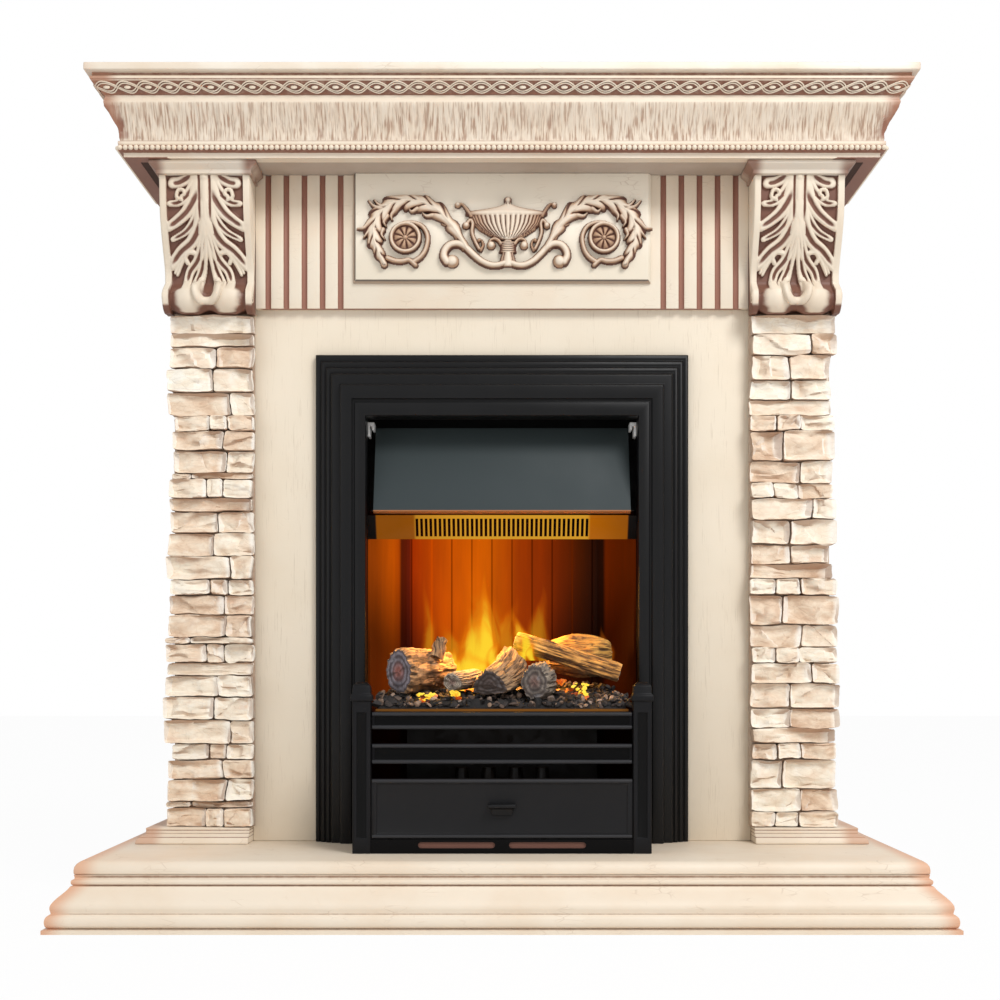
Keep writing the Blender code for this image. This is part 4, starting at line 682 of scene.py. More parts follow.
@dataclass(frozen=True)
class Coal(Finish):
    """Broken coals: grey to black chips, some with ash on them and some glowing."""

    def paint(self, graph: Graph) -> None:
        """Each chip has a tone and a heat of its own."""
        tone = graph.mark("tone")
        heat = graph.mark("ember")
        grit = graph.noise(graph.spot(), 260.0, 4.0, 0.7)
        colour = graph.ramp(
            tone * 0.7 + grit * 0.35,
            (
                (0.16, (0.006, 0.005, 0.005)), (0.42, (0.034, 0.027, 0.025)), (0.62, (0.135, 0.090, 0.068)),
                (0.80, (0.310, 0.200, 0.135)), (0.98, (0.480, 0.400, 0.360)),
            ),
        )
        hot = graph.step(heat * (0.55 + 0.9 * grit), 0.35, 0.85)
        light = graph.ramp(
            heat * (0.5 + 0.8 * grit),
            ((0.25, UNLIT), (0.50, (0.62, 0.075, 0.0)), (0.72, (1.0, 0.42, 0.005)), (0.92, (1.0, 0.78, 0.06))),
        )
        graph.dress(
            Base_Color=graph.mix(hot * 0.6, colour, (0.30, 0.10, 0.02)), Roughness=0.55 + 0.35 * grit,
            Emission_Color=light, Emission_Strength=1.0,
        )
        graph.relief(grit, 0.7, 0.0015)


@dataclass(frozen=True)
class Flame(Finish):
    """A lit veil of mist: yellow at its root, orange up to its fading tip."""

    strength: float = 1.0
    hot: Colour = (1.0, 0.66, 0.03)
    warm: Colour = (1.0, 0.27, 0.005)
    density: float = 0.9

    def paint(self, graph: Graph) -> None:
        """Light and cover both fade from the root and the middle to the edges."""
        rise, away = graph.mark("rise"), graph.mark("away")
        licks = graph.noise(graph.spot((34.0, 10.0, 11.0)), 1.0, 4.0, 0.55, 1.2)
        body = 1.0 - graph.step(away + (licks - 0.5) * 0.9, 0.10, 0.95)
        body = body * (1.0 - graph.step(rise + (licks - 0.5) * 0.5, 0.25, 1.0))
        colour = graph.mix(graph.step(body, 0.30, 0.90), self.warm, self.hot)
        graph.dress(
            Base_Color=UNLIT, Roughness=1.0, Specular_IOR_Level=0.0,
            Emission_Color=colour, Emission_Strength=self.strength, Alpha=body * self.density,
        )


FINE_CAST = Patina("cream_cast")
HEARTH_CAST = Patina(
    "cream_cast_hearth", brown=(0.300, 0.175, 0.110), fill=1.15, ends_colour=RUBBED_EDGE, cornered=0.92,
)
SLAB_CAST = Patina("cream_cast_slab", ends=(0.488, 0.516), ends_colour=RUBBED_EDGE, end_wear_and_shade=0.85, even=0.3)
CORNICE_CAST = Patina(
    "cream_cast_cornice", ends=(0.492, 0.516), ends_colour=(0.400, 0.185, 0.110), even=0.2,
    combed=(1.0100, 1.0570), end_wear_and_shade=0.85, crackle=0.0
)
PANEL_CAST = Patina(
    "cream_cast_grained", cream=(0.820, 0.725, 0.585), deep=(0.790, 0.690, 0.545), grain=0.36, crackle=0.0,
)
FRIEZE_CAST = Patina("cream_cast_frieze", cream=(0.790, 0.700, 0.570), fill=1.15, brown=(0.330, 0.150, 0.105))
PLINTH_CAST = Patina(
    "cream_cast_plinth", fill=1.2, middle=0.395, ends=(0.056, 0.076), ends_colour=(0.560, 0.300, 0.185),
    end_wear_and_shade=0.7, even=0.15,
)
CORBEL_CAST = Patina(
    "cream_cast_corbel", cream=(0.800, 0.700, 0.565), deep=(0.720, 0.600, 0.465), fill=1.3,
    brown=(0.185, 0.078, 0.050), crackle=0.1,
)
CAP_CAST = Patina(
    "cream_cast_cap", cream=(0.730, 0.650, 0.550), fill=1.1, middle=0.395, ends=(0.046, 0.062),
    ends_colour=(0.230, 0.105, 0.068), end_wear_and_shade=0.9, even=0.15,
)
# The raised panel, with its painted shade.
RAISED_CAST = Patina("cream_cast_raised", cream=(0.940, 0.860, 0.725), deep=(0.910, 0.825, 0.685), turned=True)
# The urn relief: brown patina in its grooves and a painted highlight on its raised tops.
RELIEF_CAST = Patina(
    "cream_cast_relief", cream=(0.540, 0.350, 0.225), deep=(0.370, 0.210, 0.125), fill=1.6,
    brown=(0.105, 0.034, 0.020), crackle=0.0,
    highlit_tops=True,
)
PEARL_CAST = Patina("cream_cast_pearls", crackle=0.0)
GUILLOCHE_CAST = Patina("cream_cast_guilloche", ends=(0.500, 0.560), crackle=0.0)
SHELF_CAST = Patina(
    "cream_cast_shelf", cream=(0.860, 0.790, 0.680), ends=(0.515, 0.560), ends_colour=(0.560, 0.330, 0.210),
)
# The soffit: a darker cream with near-black ends, painted shade under the shelf and in the recess beyond the corbel
# caps.
SHADED_SOFFIT_CAST = Patina(
    "cream_cast_soffit", cream=(0.520, 0.440, 0.370), deep=(0.440, 0.360, 0.290), ends=(0.448, 0.458),
    ends_colour=(0.055, 0.022, 0.012), end_wear_and_shade=1.0, even=0.4, shine=0.08
)
STONE = SplitStone("cast_stone", 0.70)
PALE_STONE = SplitStone("cast_stone_pale", 0.42)
BOARD = Board("core_board")
PAINTED_BOARD = Board("core_board_painted", (0.720, 0.630, 0.500), 0.94)
BLACK = Enamel("satin_black", shine=0.26)
FRET_BLACK = Enamel("satin_black_fret", shine=0.09)
FRAME_BLACK = Enamel("satin_black_frame", (0.0034, 0.0032, 0.0038), (0.0080, 0.0084, 0.0088), 0.36)
# A darker, duller copy of the satin black for the tray behind the fret: painted shade.
SHADED_TRAY_BLACK = Enamel("satin_black_tray", (0.0011, 0.0010, 0.0012), (0.0030, 0.0029, 0.0034), shine=0.10)
# A lighter copy of the satin black for the fret's lips: painted highlight where they catch the light.
HIGHLIT_LIP_BLACK = Enamel("satin_black_lips", (0.0200, 0.0200, 0.0225), (0.0360, 0.0365, 0.0400), 0.34)
# The posts, with painted firelight on their upper parts over the bed.
POST_BLACK = Enamel(
    "satin_black_posts", (0.0060, 0.0060, 0.0070), (0.0110, 0.0112, 0.0125), warm_from=0.2990, shine=0.14,
)
CERAMIC = Ceramic("ceramic_element")
GAUZE = Plastic("copper_gauze", (0.120, 0.046, 0.030), 0.5)
WHITE_PLASTIC = Plastic("white_plastic", (0.760, 0.760, 0.740), 0.38)
BLACK_PLASTIC = Plastic("black_plastic")
TANK_PLASTIC = Plastic("tank_plastic", (0.500, 0.580, 0.630), 0.22, 0.35)
ZINC = Galvanised("galvanised_steel")
CASING_ZINC = Galvanised("galvanised_steel_casing", (0.0, 0.105, 0.380))
# Darkened zinc for the parts over the fire chamber: painted shade.
SHADED_ZINC = Galvanised("galvanised_steel_shaded", shade=0.12)
# Copper sheets with painted firelight; the grille's base is near black under its painted glow.
COPPER = CopperSheet("copper_plate")
GRILLE_COPPER = CopperSheet("copper_grille", (0.020, 0.006, 0.0), (0.460, 0.125, 0.0), 1.0, (0.600, 0.290, 0.018))
REFLECTOR = Reflector("copper_mirror")
CANOPY = Canopy("hood_grey")
FLAME_CORE = Flame("flame_core", 1.0)
FLAME_WISP = Flame("flame_wisp", 0.8, (1.0, 0.42, 0.015), (1.0, 0.20, 0.004), 0.45)
COAL = Coal("coal_resin")
WOOD_TAN = Wood(
    "log_resin_tan", (0.520, 0.290, 0.130), (0.058, 0.030, 0.018), end_light=(0.205, 0.180, 0.205),
    end_dark=(0.066, 0.050, 0.058),
    heart=(0.300, 0.090, 0.065), rings=22.0,
)
WOOD_PALE = Wood(
    "log_resin_pale", (0.420, 0.320, 0.220), end_light=(0.480, 0.400, 0.310), end_dark=(0.160, 0.120, 0.095),
)
WOOD_SPLIT = Wood(
    "log_resin_split", (0.420, 0.250, 0.125), (0.060, 0.034, 0.020), end_light=(0.125, 0.098, 0.092),
    end_dark=(0.030, 0.023, 0.022),
    heart=(0.080, 0.055, 0.050), rings=20.0,
)
WOOD_GREY = Wood(
    "log_resin_grey", (0.320, 0.260, 0.200), (0.045, 0.036, 0.034), end_light=(0.200, 0.165, 0.140),
    end_dark=(0.070, 0.055, 0.050), rings=18.0,
)
# The long log, with a painted glow of firelight near its start.
WOOD_LONG = Wood(
    "log_resin_long", (0.760, 0.350, 0.075), (0.140, 0.052, 0.014), end_light=(0.620, 0.480, 0.330),
    end_dark=(0.380, 0.260, 0.170), glow=(0.95, 0.48, 0.02), glow_along=(0.055, 0.0),
)
WOOD_OCHRE = Wood(
    "log_resin_ochre", (0.640, 0.330, 0.060), (0.145, 0.060, 0.014), end_light=(0.330, 0.200, 0.090),
    end_dark=(0.100, 0.050, 0.025),
)


# Mesh tools

Marks = dict[str, np.ndarray]
Placed = tuple[np.ndarray, Marks]

# Angles in degrees, and the distance within which the CAD's mesh vertices are one
SHARP_EDGE = 25.0
FLAT_ANGLE = 0.6
MERGE_REACH = 1e-5


def unit(values: np.ndarray) -> np.ndarray:
    """The values, held between 0 and 1."""
    return np.clip(values, 0.0, 1.0)


def near(values: np.ndarray, at: float, reach: float) -> np.ndarray:
    """1 where a value is at a place, falling to 0 at a reach from it."""
    return unit(1.0 - np.abs(values - at) / reach)


def lattice(spots: np.ndarray, seed: int) -> np.ndarray:
    """Smooth noise between random values at whole-number corners.

    Args:
        spots: Places, one a row.
        seed: Picks the pattern.

    Returns:
        A value from -1 to 1 for each place.
    """
    cell = np.floor(spots)
    part = spots - cell
    part = part * part * (3.0 - 2.0 * part)
    total = np.zeros(len(spots))
    for corner in itertools.product((0.0, 1.0), repeat=3):
        at = cell + corner
        mixed = np.sin(at @ np.array((127.1, 311.7, 74.7)) + 17.17 * seed) * 43758.5453
        share = np.prod(np.where(np.array(corner) > 0.5, part, 1.0 - part), axis=1)
        total += share * (mixed - np.floor(mixed))
    return 2.0 * total - 1.0


def rough(spots: np.ndarray, size: float, seed: int = 0, layers: int = 3) -> np.ndarray:
    """Layered noise.

    Args:
        spots: Places in metres, one a row.
        size: The largest lump's width in metres.
        seed: Picks the pattern.
        layers: How many times the lumps halve.

    Returns:
        A value near -1 to 1 for each place.
    """
    layered = [lattice(spots * 2.03 ** layer / size, seed + layer) * 0.52 ** layer for layer in range(layers)]
    return np.sum(layered, axis=0)


def smooth_path(points: Sequence[Sequence[float]], count: int) -> np.ndarray:
    """A smooth curve through points.

    Args:
        points: The points that it passes.
        count: How many points come back.

    Returns:
        The curve's points, one a row.
    """
    given = np.array(points, float)
    padded = np.vstack([2 * given[0] - given[1], given, 2 * given[-1] - given[-2]])
    place = np.linspace(0, len(given) - 1, count)
    base = np.minimum(place.astype(int), len(given) - 2)
    part = (place - base)[:, None]
    first, second, third, fourth = (padded[base + step] for step in range(4))
    return 0.5 * (
        2 * second + (third - first) * part + (2 * first - 5 * second + 4 * third - fourth) * part ** 2
        + (3 * second - first - 3 * third + fourth) * part ** 3
    )


def away_from(spots: np.ndarray, path: np.ndarray) -> tuple[np.ndarray, np.ndarray]:
    """Distance of places from a path in a plane.

    Args:
        spots: Flat places, one a row.
        path: The path's flat points.

    Returns:
        The distance of each place, and how far along the path its nearest point is, from 0 to 1.
    """
    nearest = np.full(len(spots), np.inf)
    share = np.zeros(len(spots))
    for index, (start, end) in enumerate(zip(path[:-1], path[1:])):
        run = end - start
        part = unit((spots - start) @ run / (run @ run))
        gap = np.linalg.norm(spots - start - part[:, None] * run, axis=1)
        nearer = gap < nearest
        nearest[nearer] = gap[nearer]
        share[nearer] = (index + part[nearer]) / (len(path) - 1)
    return nearest, share


def domed(gap: np.ndarray, reach: np.ndarray | float) -> np.ndarray:
    """A round ridge's height, 1 over its path and 0 at its reach."""
    return np.sqrt(unit(1.0 - (gap / reach) ** 2))


def mark(work: bmesh.types.BMesh, verts: Sequence[bmesh.types.BMVert], marks: Marks) -> list[bmesh.types.BMVert]:
    """Writes numbers on vertices, under names that the finishes read.

    Args:
        work: The mesh.
        verts: Some of its vertices.
        marks: One number for each of them, or one for all, by name.

    Returns:
        The same vertices, which a new name makes Blender store anew.
    """
    missing = [name for name in marks if work.verts.layers.float.get(name) is None]
    if missing:
        work.verts.index_update()
        places = [vert.index for vert in verts]
        for name in missing:
            work.verts.layers.float.new(name)
        work.verts.ensure_lookup_table()
        verts = [work.verts[place] for place in places]
    for name, values in marks.items():
        layer = work.verts.layers.float[name]
        for vert, value in zip(verts, np.broadcast_to(values, len(verts))):
            vert[layer] = float(value)
    return list(verts)


def shaped_grid(
    work: bmesh.types.BMesh,
    across: int,
    along: int,
    place: Callable[[np.ndarray, np.ndarray], Placed],
    wrap: bool = False,
    capped: bool = False,
) -> list[bmesh.types.BMVert]:
    """A grid whose vertices are moved to a shape.

    Args:
        work: The mesh that it is added to.
        across: Faces in its first direction.
        along: Faces in its second direction.
        place: Gives the places and marks for two arrays of counts.
        wrap: Whether the first direction closes on itself.
        capped: Whether the open ends are filled.

    Returns:
        Its vertices.
    """
    made = bmesh.ops.create_grid(work, x_segments=across, y_segments=along, size=1.0)["verts"]
    flat = np.array([vert.co for vert in made])
    first = np.rint((flat[:, 0] + 1.0) / 2.0 * across).astype(int)
    second = np.rint((flat[:, 1] + 1.0) / 2.0 * along).astype(int)
    spots, marks = place(first % across if wrap else first, second)
    for vert, spot in zip(made, spots):
        vert.co = spot
    made = mark(work, made, marks)
    if wrap:
        bmesh.ops.remove_doubles(work, verts=made, dist=1e-6)
        made = [vert for vert in made if vert.is_valid]
    if capped:
        rims = {edge for vert in made for edge in vert.link_edges if edge.is_boundary}
        bmesh.ops.holes_fill(work, edges=list(rims), sides=0)
    return made


def tube(
    work: bmesh.types.BMesh,
    path: np.ndarray,
    radii: np.ndarray | float,
    lift: Spot = (0.0, -1.0, 0.0),
    sides: int = 8,
    flat: float = 1.0,
) -> list[bmesh.types.BMVert]:
    """A closed round stem along a path.

    Args:
        work: The mesh that it is added to.
        path: The points that it follows.
        radii: Its radius at each point, or one for all.
        lift: The direction that it is flattened in.
        sides: How many faces go round.
        flat: Its thickness in that direction as a share of its width.

    Returns:
        Its vertices.
    """
    runs = np.gradient(path, axis=0)
    runs /= np.linalg.norm(runs, axis=1)[:, None]
    broad = np.cross(runs, np.array(lift))
    broad /= np.linalg.norm(broad, axis=1)[:, None]
    up = np.cross(broad, runs)
    sizes = np.broadcast_to(radii, len(path))

    def place(turn: np.ndarray, station: np.ndarray) -> Placed:
        angle = turn / sides * 2.0 * np.pi
        size = sizes[station][:, None]
        spots = path[station] + size * (
            np.cos(angle)[:, None] * broad[station] + flat * np.sin(angle)[:, None] * up[station]
        )
        return spots, {}

    return shaped_grid(work, sides, len(path) - 1, place, wrap=True, capped=True)


def bead(work: bmesh.types.BMesh, centre: Spot, size: Spot) -> None:
    """A round or oval boss."""
    made = bmesh.ops.create_icosphere(work, subdivisions=2, radius=1.0)["verts"]
    bmesh.ops.scale(work, vec=size, verts=made)
    bmesh.ops.translate(work, vec=centre, verts=made)


def block(work: bmesh.types.BMesh, low: Spot, high: Spot) -> list[bmesh.types.BMVert]:
    """A box between two corners, as the start of a shape."""
    low, high = Vector(low), Vector(high)
    made = bmesh.ops.create_cube(work, size=1.0)["verts"]
    bmesh.ops.scale(work, vec=high - low, verts=made)
    bmesh.ops.translate(work, vec=(low + high) / 2.0, verts=made)
    return made


def soften(work: bmesh.types.BMesh, width: float, segments: int = 2) -> None:
    """Rounds the sharp edges."""
    limit = math.radians(SHARP_EDGE)
    sharp = [edge for edge in work.edges if edge.is_manifold and edge.calc_face_angle() > limit]
    bmesh.ops.bevel(
        work, geom=sharp, offset=width, offset_type="OFFSET", segments=segments, profile=0.5,
        affect="EDGES", clamp_overlap=True, material=-1,
    )


def from_node(node: str, width: float, segments: int = 2) -> bmesh.types.BMesh:
    """A merged copy of a CAD node's mesh with its sharp edges rounded.

    Args:
        node: The CAD node.
        width: How wide the rounding is, in metres.
        segments: How many faces it has.

    Returns:
        The copy.
    """
    work = bmesh.new()
    work.from_mesh(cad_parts[node].data)
    bmesh.ops.remove_doubles(work, verts=work.verts[:], dist=MERGE_REACH)
    bmesh.ops.dissolve_limit(work, angle_limit=math.radians(FLAT_ANGLE), verts=work.verts[:], edges=work.edges[:])
    soften(work, width, segments)
    return work


def mark_hollows(work: bmesh.types.BMesh, gain: float) -> None:
    """Marks how hollow the surface is at each vertex, unless it is marked as deeper already.

    Args:
        work: A closed mesh.
        gain: What the bend is multiplied by.
    """
    bmesh.ops.recalc_face_normals(work, faces=work.faces[:])
    work.normal_update()
    verts = work.verts[:]
    bends = []
    for vert in verts:
        lean = [(edge.other_vert(vert).co - vert.co).normalized().dot(vert.normal) for edge in vert.link_edges]
        bends.append(max(0.0, min(1.0, gain * sum(lean) / max(1, len(lean)))))
    work.verts.index_update()
    bends = [
        0.6 * bends[vert.index]
        + 0.4 * sum(bends[edge.other_vert(vert).index] for edge in vert.link_edges) / max(1, len(vert.link_edges))
        for vert in verts
    ]
    known = work.verts.layers.float.get("hollow")
    if known:
        bends = [max(bend, vert[known]) for bend, vert in zip(bends, verts)]
    mark(work, verts, {"hollow": np.array(bends)})


def publish(
    work: bmesh.types.BMesh,
    name: str,
    finish: Finish,
    replaces: Iterable[str] = (),
    body: Body = Body.CHASSIS,
    smooth: float = 40.0,
    outward: bool = True,
) -> bpy.types.Object:
    """Turns a mesh into a piece of the scene.

    Args:
        work: The mesh, which is used up.
        name: The piece's name.
        finish: What it is finished in.
        replaces: The CAD nodes that it stands for.
        body: The CAD body that it rides on.
        smooth: The angle in degrees up to which it is shaded smooth.
        outward: Whether its faces are turned outwards first.

    Returns:
        The piece.
    """
    if outward:
        bmesh.ops.recalc_face_normals(work, faces=work.faces[:])
    mesh = bpy.data.meshes.new(name)
    work.to_mesh(mesh)
    work.free()
    mesh.shade_smooth()
    mesh.set_sharp_from_angle(angle=math.radians(smooth))
    mesh.materials.append(finish.material())
    piece = bpy.data.objects.new(name, mesh)
    bpy.context.scene.collection.objects.link(piece)
    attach(piece, body.value)
    if replaces:
        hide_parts(*replaces)
    log.info("%s: %d faces on %s", name, len(mesh.polygons), body.value)
    return piece


def dress(nodes: Iterable[str], finish: Finish) -> None:
    """Gives CAD nodes that stay in view their finish."""
    for node in nodes:
        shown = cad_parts[node]
        shown.data.materials.clear()
        shown.data.materials.append(finish.material())
        log.info("%s: dressed in %s", node, finish.name)


# Mouldings that run round the front


@dataclass(frozen=True)
class Mitre:
    """A run down the left side, along the front and up the right side, with mitred corners."""

    half: float
    front_y: float
    foot_z: float

    def place(self, run: np.ndarray, out: np.ndarray, up: np.ndarray) -> np.ndarray:
        """Places of a moulding.

        Args:
            run: 0 to 1 down the left side, 1 to 2 along the front, 2 to 3 up the right side.
            out: Distance beyond the moulding's datum edge.
            up: Height over its foot.

        Returns:
            The places, one a row.
        """
        wide = self.half + out
        deep = WALL_Y - (self.front_y - out)
        left, right = run <= 1.0, run >= 2.0
        x = np.where(left, -wide, np.where(right, wide, (2.0 * run - 3.0) * wide))
        y = np.where(left, WALL_Y - run * deep, np.where(right, WALL_Y - (3.0 - run) * deep, self.front_y - out))
        return np.stack([x, y, self.foot_z + up], axis=1)

    def paces(self, pitch: float) -> np.ndarray:
        """Runs spaced about one pitch apart on each leg, with the corners among them."""
        side = max(2, round((WALL_Y - self.front_y) / pitch))
        front = max(2, round(2.0 * self.half / pitch))
        return np.concatenate([
            np.linspace(0.0, 1.0, side + 1), np.linspace(1.0, 2.0, front + 1)[1:],
            np.linspace(2.0, 3.0, side + 1)[1:],
        ])

    def moulding(
        self, work: bmesh.types.BMesh, profile: np.ndarray, runs: np.ndarray,
        shape: Callable[[np.ndarray, np.ndarray, np.ndarray], tuple[np.ndarray, Marks]],
    ) -> None:
        """Sweeps a closed profile along the run.

        Args:
            work: The mesh that it is added to.
            profile: The profile's points, out and up.
            runs: Where the profile is set down.
            shape: Gives an extra distance out and marks for run, profile share and height.
        """

        def place(turn: np.ndarray, station: np.ndarray) -> Placed:
            out, up = profile[turn, 0], profile[turn, 1]
            run = runs[station]
            more, marks = shape(run, out, up)
            return self.place(run, out + more, up), marks

        shaped_grid(work, len(profile), len(runs) - 1, place, wrap=True, capped=True)


@dataclass
class Hearth:
    """The hearth: its core, its mitred moulding, its nosed board and the plinth blocks on it."""

    run: Mitre = Mitre(0.5115, -0.164, 0.0)
    top: float = 0.0677
    rail: float = 0.020
    profile: tuple[Flat, ...] = (
        (0.0410, 0.0), (0.0410, 0.0050), (0.0335, 0.0058), (0.0368, 0.0085), (0.0380, 0.0140), (0.0368, 0.0195),
        (0.0335, 0.0225), (0.0317, 0.0235), (0.0322, 0.0268), (0.0328, 0.0300), (0.0318, 0.0345), (0.0275, 0.0400),
        (0.0215, 0.0455), (0.0165, 0.0500), (0.0133, 0.0540), (0.0105, 0.0552), (0.0122, 0.0566), (0.0128, 0.0590),
        (0.0122, 0.0614), (0.0098, 0.0626), (0.0090, 0.0645), (0.0098, 0.0677),
    )
    quirks: tuple[Spot, ...] = (
        (0.0655, 0.0032, 0.74), (0.0550, 0.0020, 0.72), (0.0232, 0.0012, 0.26), (0.0056, 0.0020, 0.36),
    )
    rubbed: float = 0.034
    finer: int = 4
    pitch: float = 0.017
    plinth_lines: tuple[float, ...] = (0.42, 0.63, 0.84)
    line_reach: float = 0.0008
    line_depth: float = 0.0006

    def worn(self, run: np.ndarray, out: np.ndarray, up: np.ndarray) -> tuple[np.ndarray, Marks]:
        """The marks of the moulding: brown lines in its quirks, and rubbed corners.

        Args:
            run: Where along the run.
            out: The profile's distance out.
            up: The profile's height.

        Returns:
            No extra distance, and the marks.
        """
        front = (1.0 - np.abs(2.0 * run - 3.0)) * (self.run.half + out)
        back = np.minimum(np.abs(run - 1.0), np.abs(run - 2.0)) * 0.37
        from_corner = np.where((run >= 1.0) & (run <= 2.0), front, back)
        lines = sum(strength * near(up, at, wide) for at, wide, strength in self.quirks)
        return np.zeros(len(run)), {"hollow": unit(lines), "end": unit(1.0 - from_corner / self.rubbed)}

    def lined(self, work: bmesh.types.BMesh) -> None:
        """Cuts fine brown lines round a plinth block, where its mouldings meet.

        Args:
            work: The block's mesh.
        """
        spots = np.array([vert.co for vert in work.verts])
        low, high = spots.min(axis=0), spots.max(axis=0)
        lines = [low[2] + share * (high[2] - low[2]) for share in self.plinth_lines]
        for z in (line + shift * self.line_reach for line in lines for shift in (-1, 0, 1)):
            parts = [*work.verts, *work.edges, *work.faces]
            bmesh.ops.bisect_plane(work, geom=parts, plane_co=(0.0, 0.0, z), plane_no=(0.0, 0.0, 1.0))
        cuts = [min(abs(vert.co.z - line) for line in lines) < 1e-4 for vert in work.verts]
        for vert, cut in zip(work.verts, cuts):
            if cut and vert.co.y < high[1] - 0.002:
                vert.co.x += math.copysign(self.line_depth, (low[0] + high[0]) / 2 - vert.co.x)
                vert.co.y += self.line_depth
        mark(work, work.verts[:], {"hollow": np.array(cuts) * 0.85})

    def build(self) -> None:
        """Builds the hearth."""
        outer = smooth_path(self.profile, self.finer * len(self.profile))
        outer[:, 0] = np.minimum(outer[:, 0], self.profile[0][0])
        closed = np.vstack([outer, [(-self.rail, self.top), (-self.rail, 0.0)]])
        work = bmesh.new()
        self.run.moulding(work, closed, self.run.paces(self.pitch), self.worn)
        mark_hollows(work, 4.5)
        publish(work, "hearth_mitred_moulding", HEARTH_CAST, ["hearth_moulding"])
        slab = from_node("hearth_top_board", 0.0022, 3)
        mark_hollows(slab, 2.0)
        publish(slab, "hearth_slab", SLAB_CAST, ["hearth_top_board"])
        dress(["hearth_core"], BOARD)
        for side in Side:
            work = from_node("plinth_" + side.word, 0.0010)
            self.lined(work)
            mark_hollows(work, 3.0)
            publish(work, "plinth_block_" + side.word, PLINTH_CAST, ["plinth_" + side.word])


# Legs


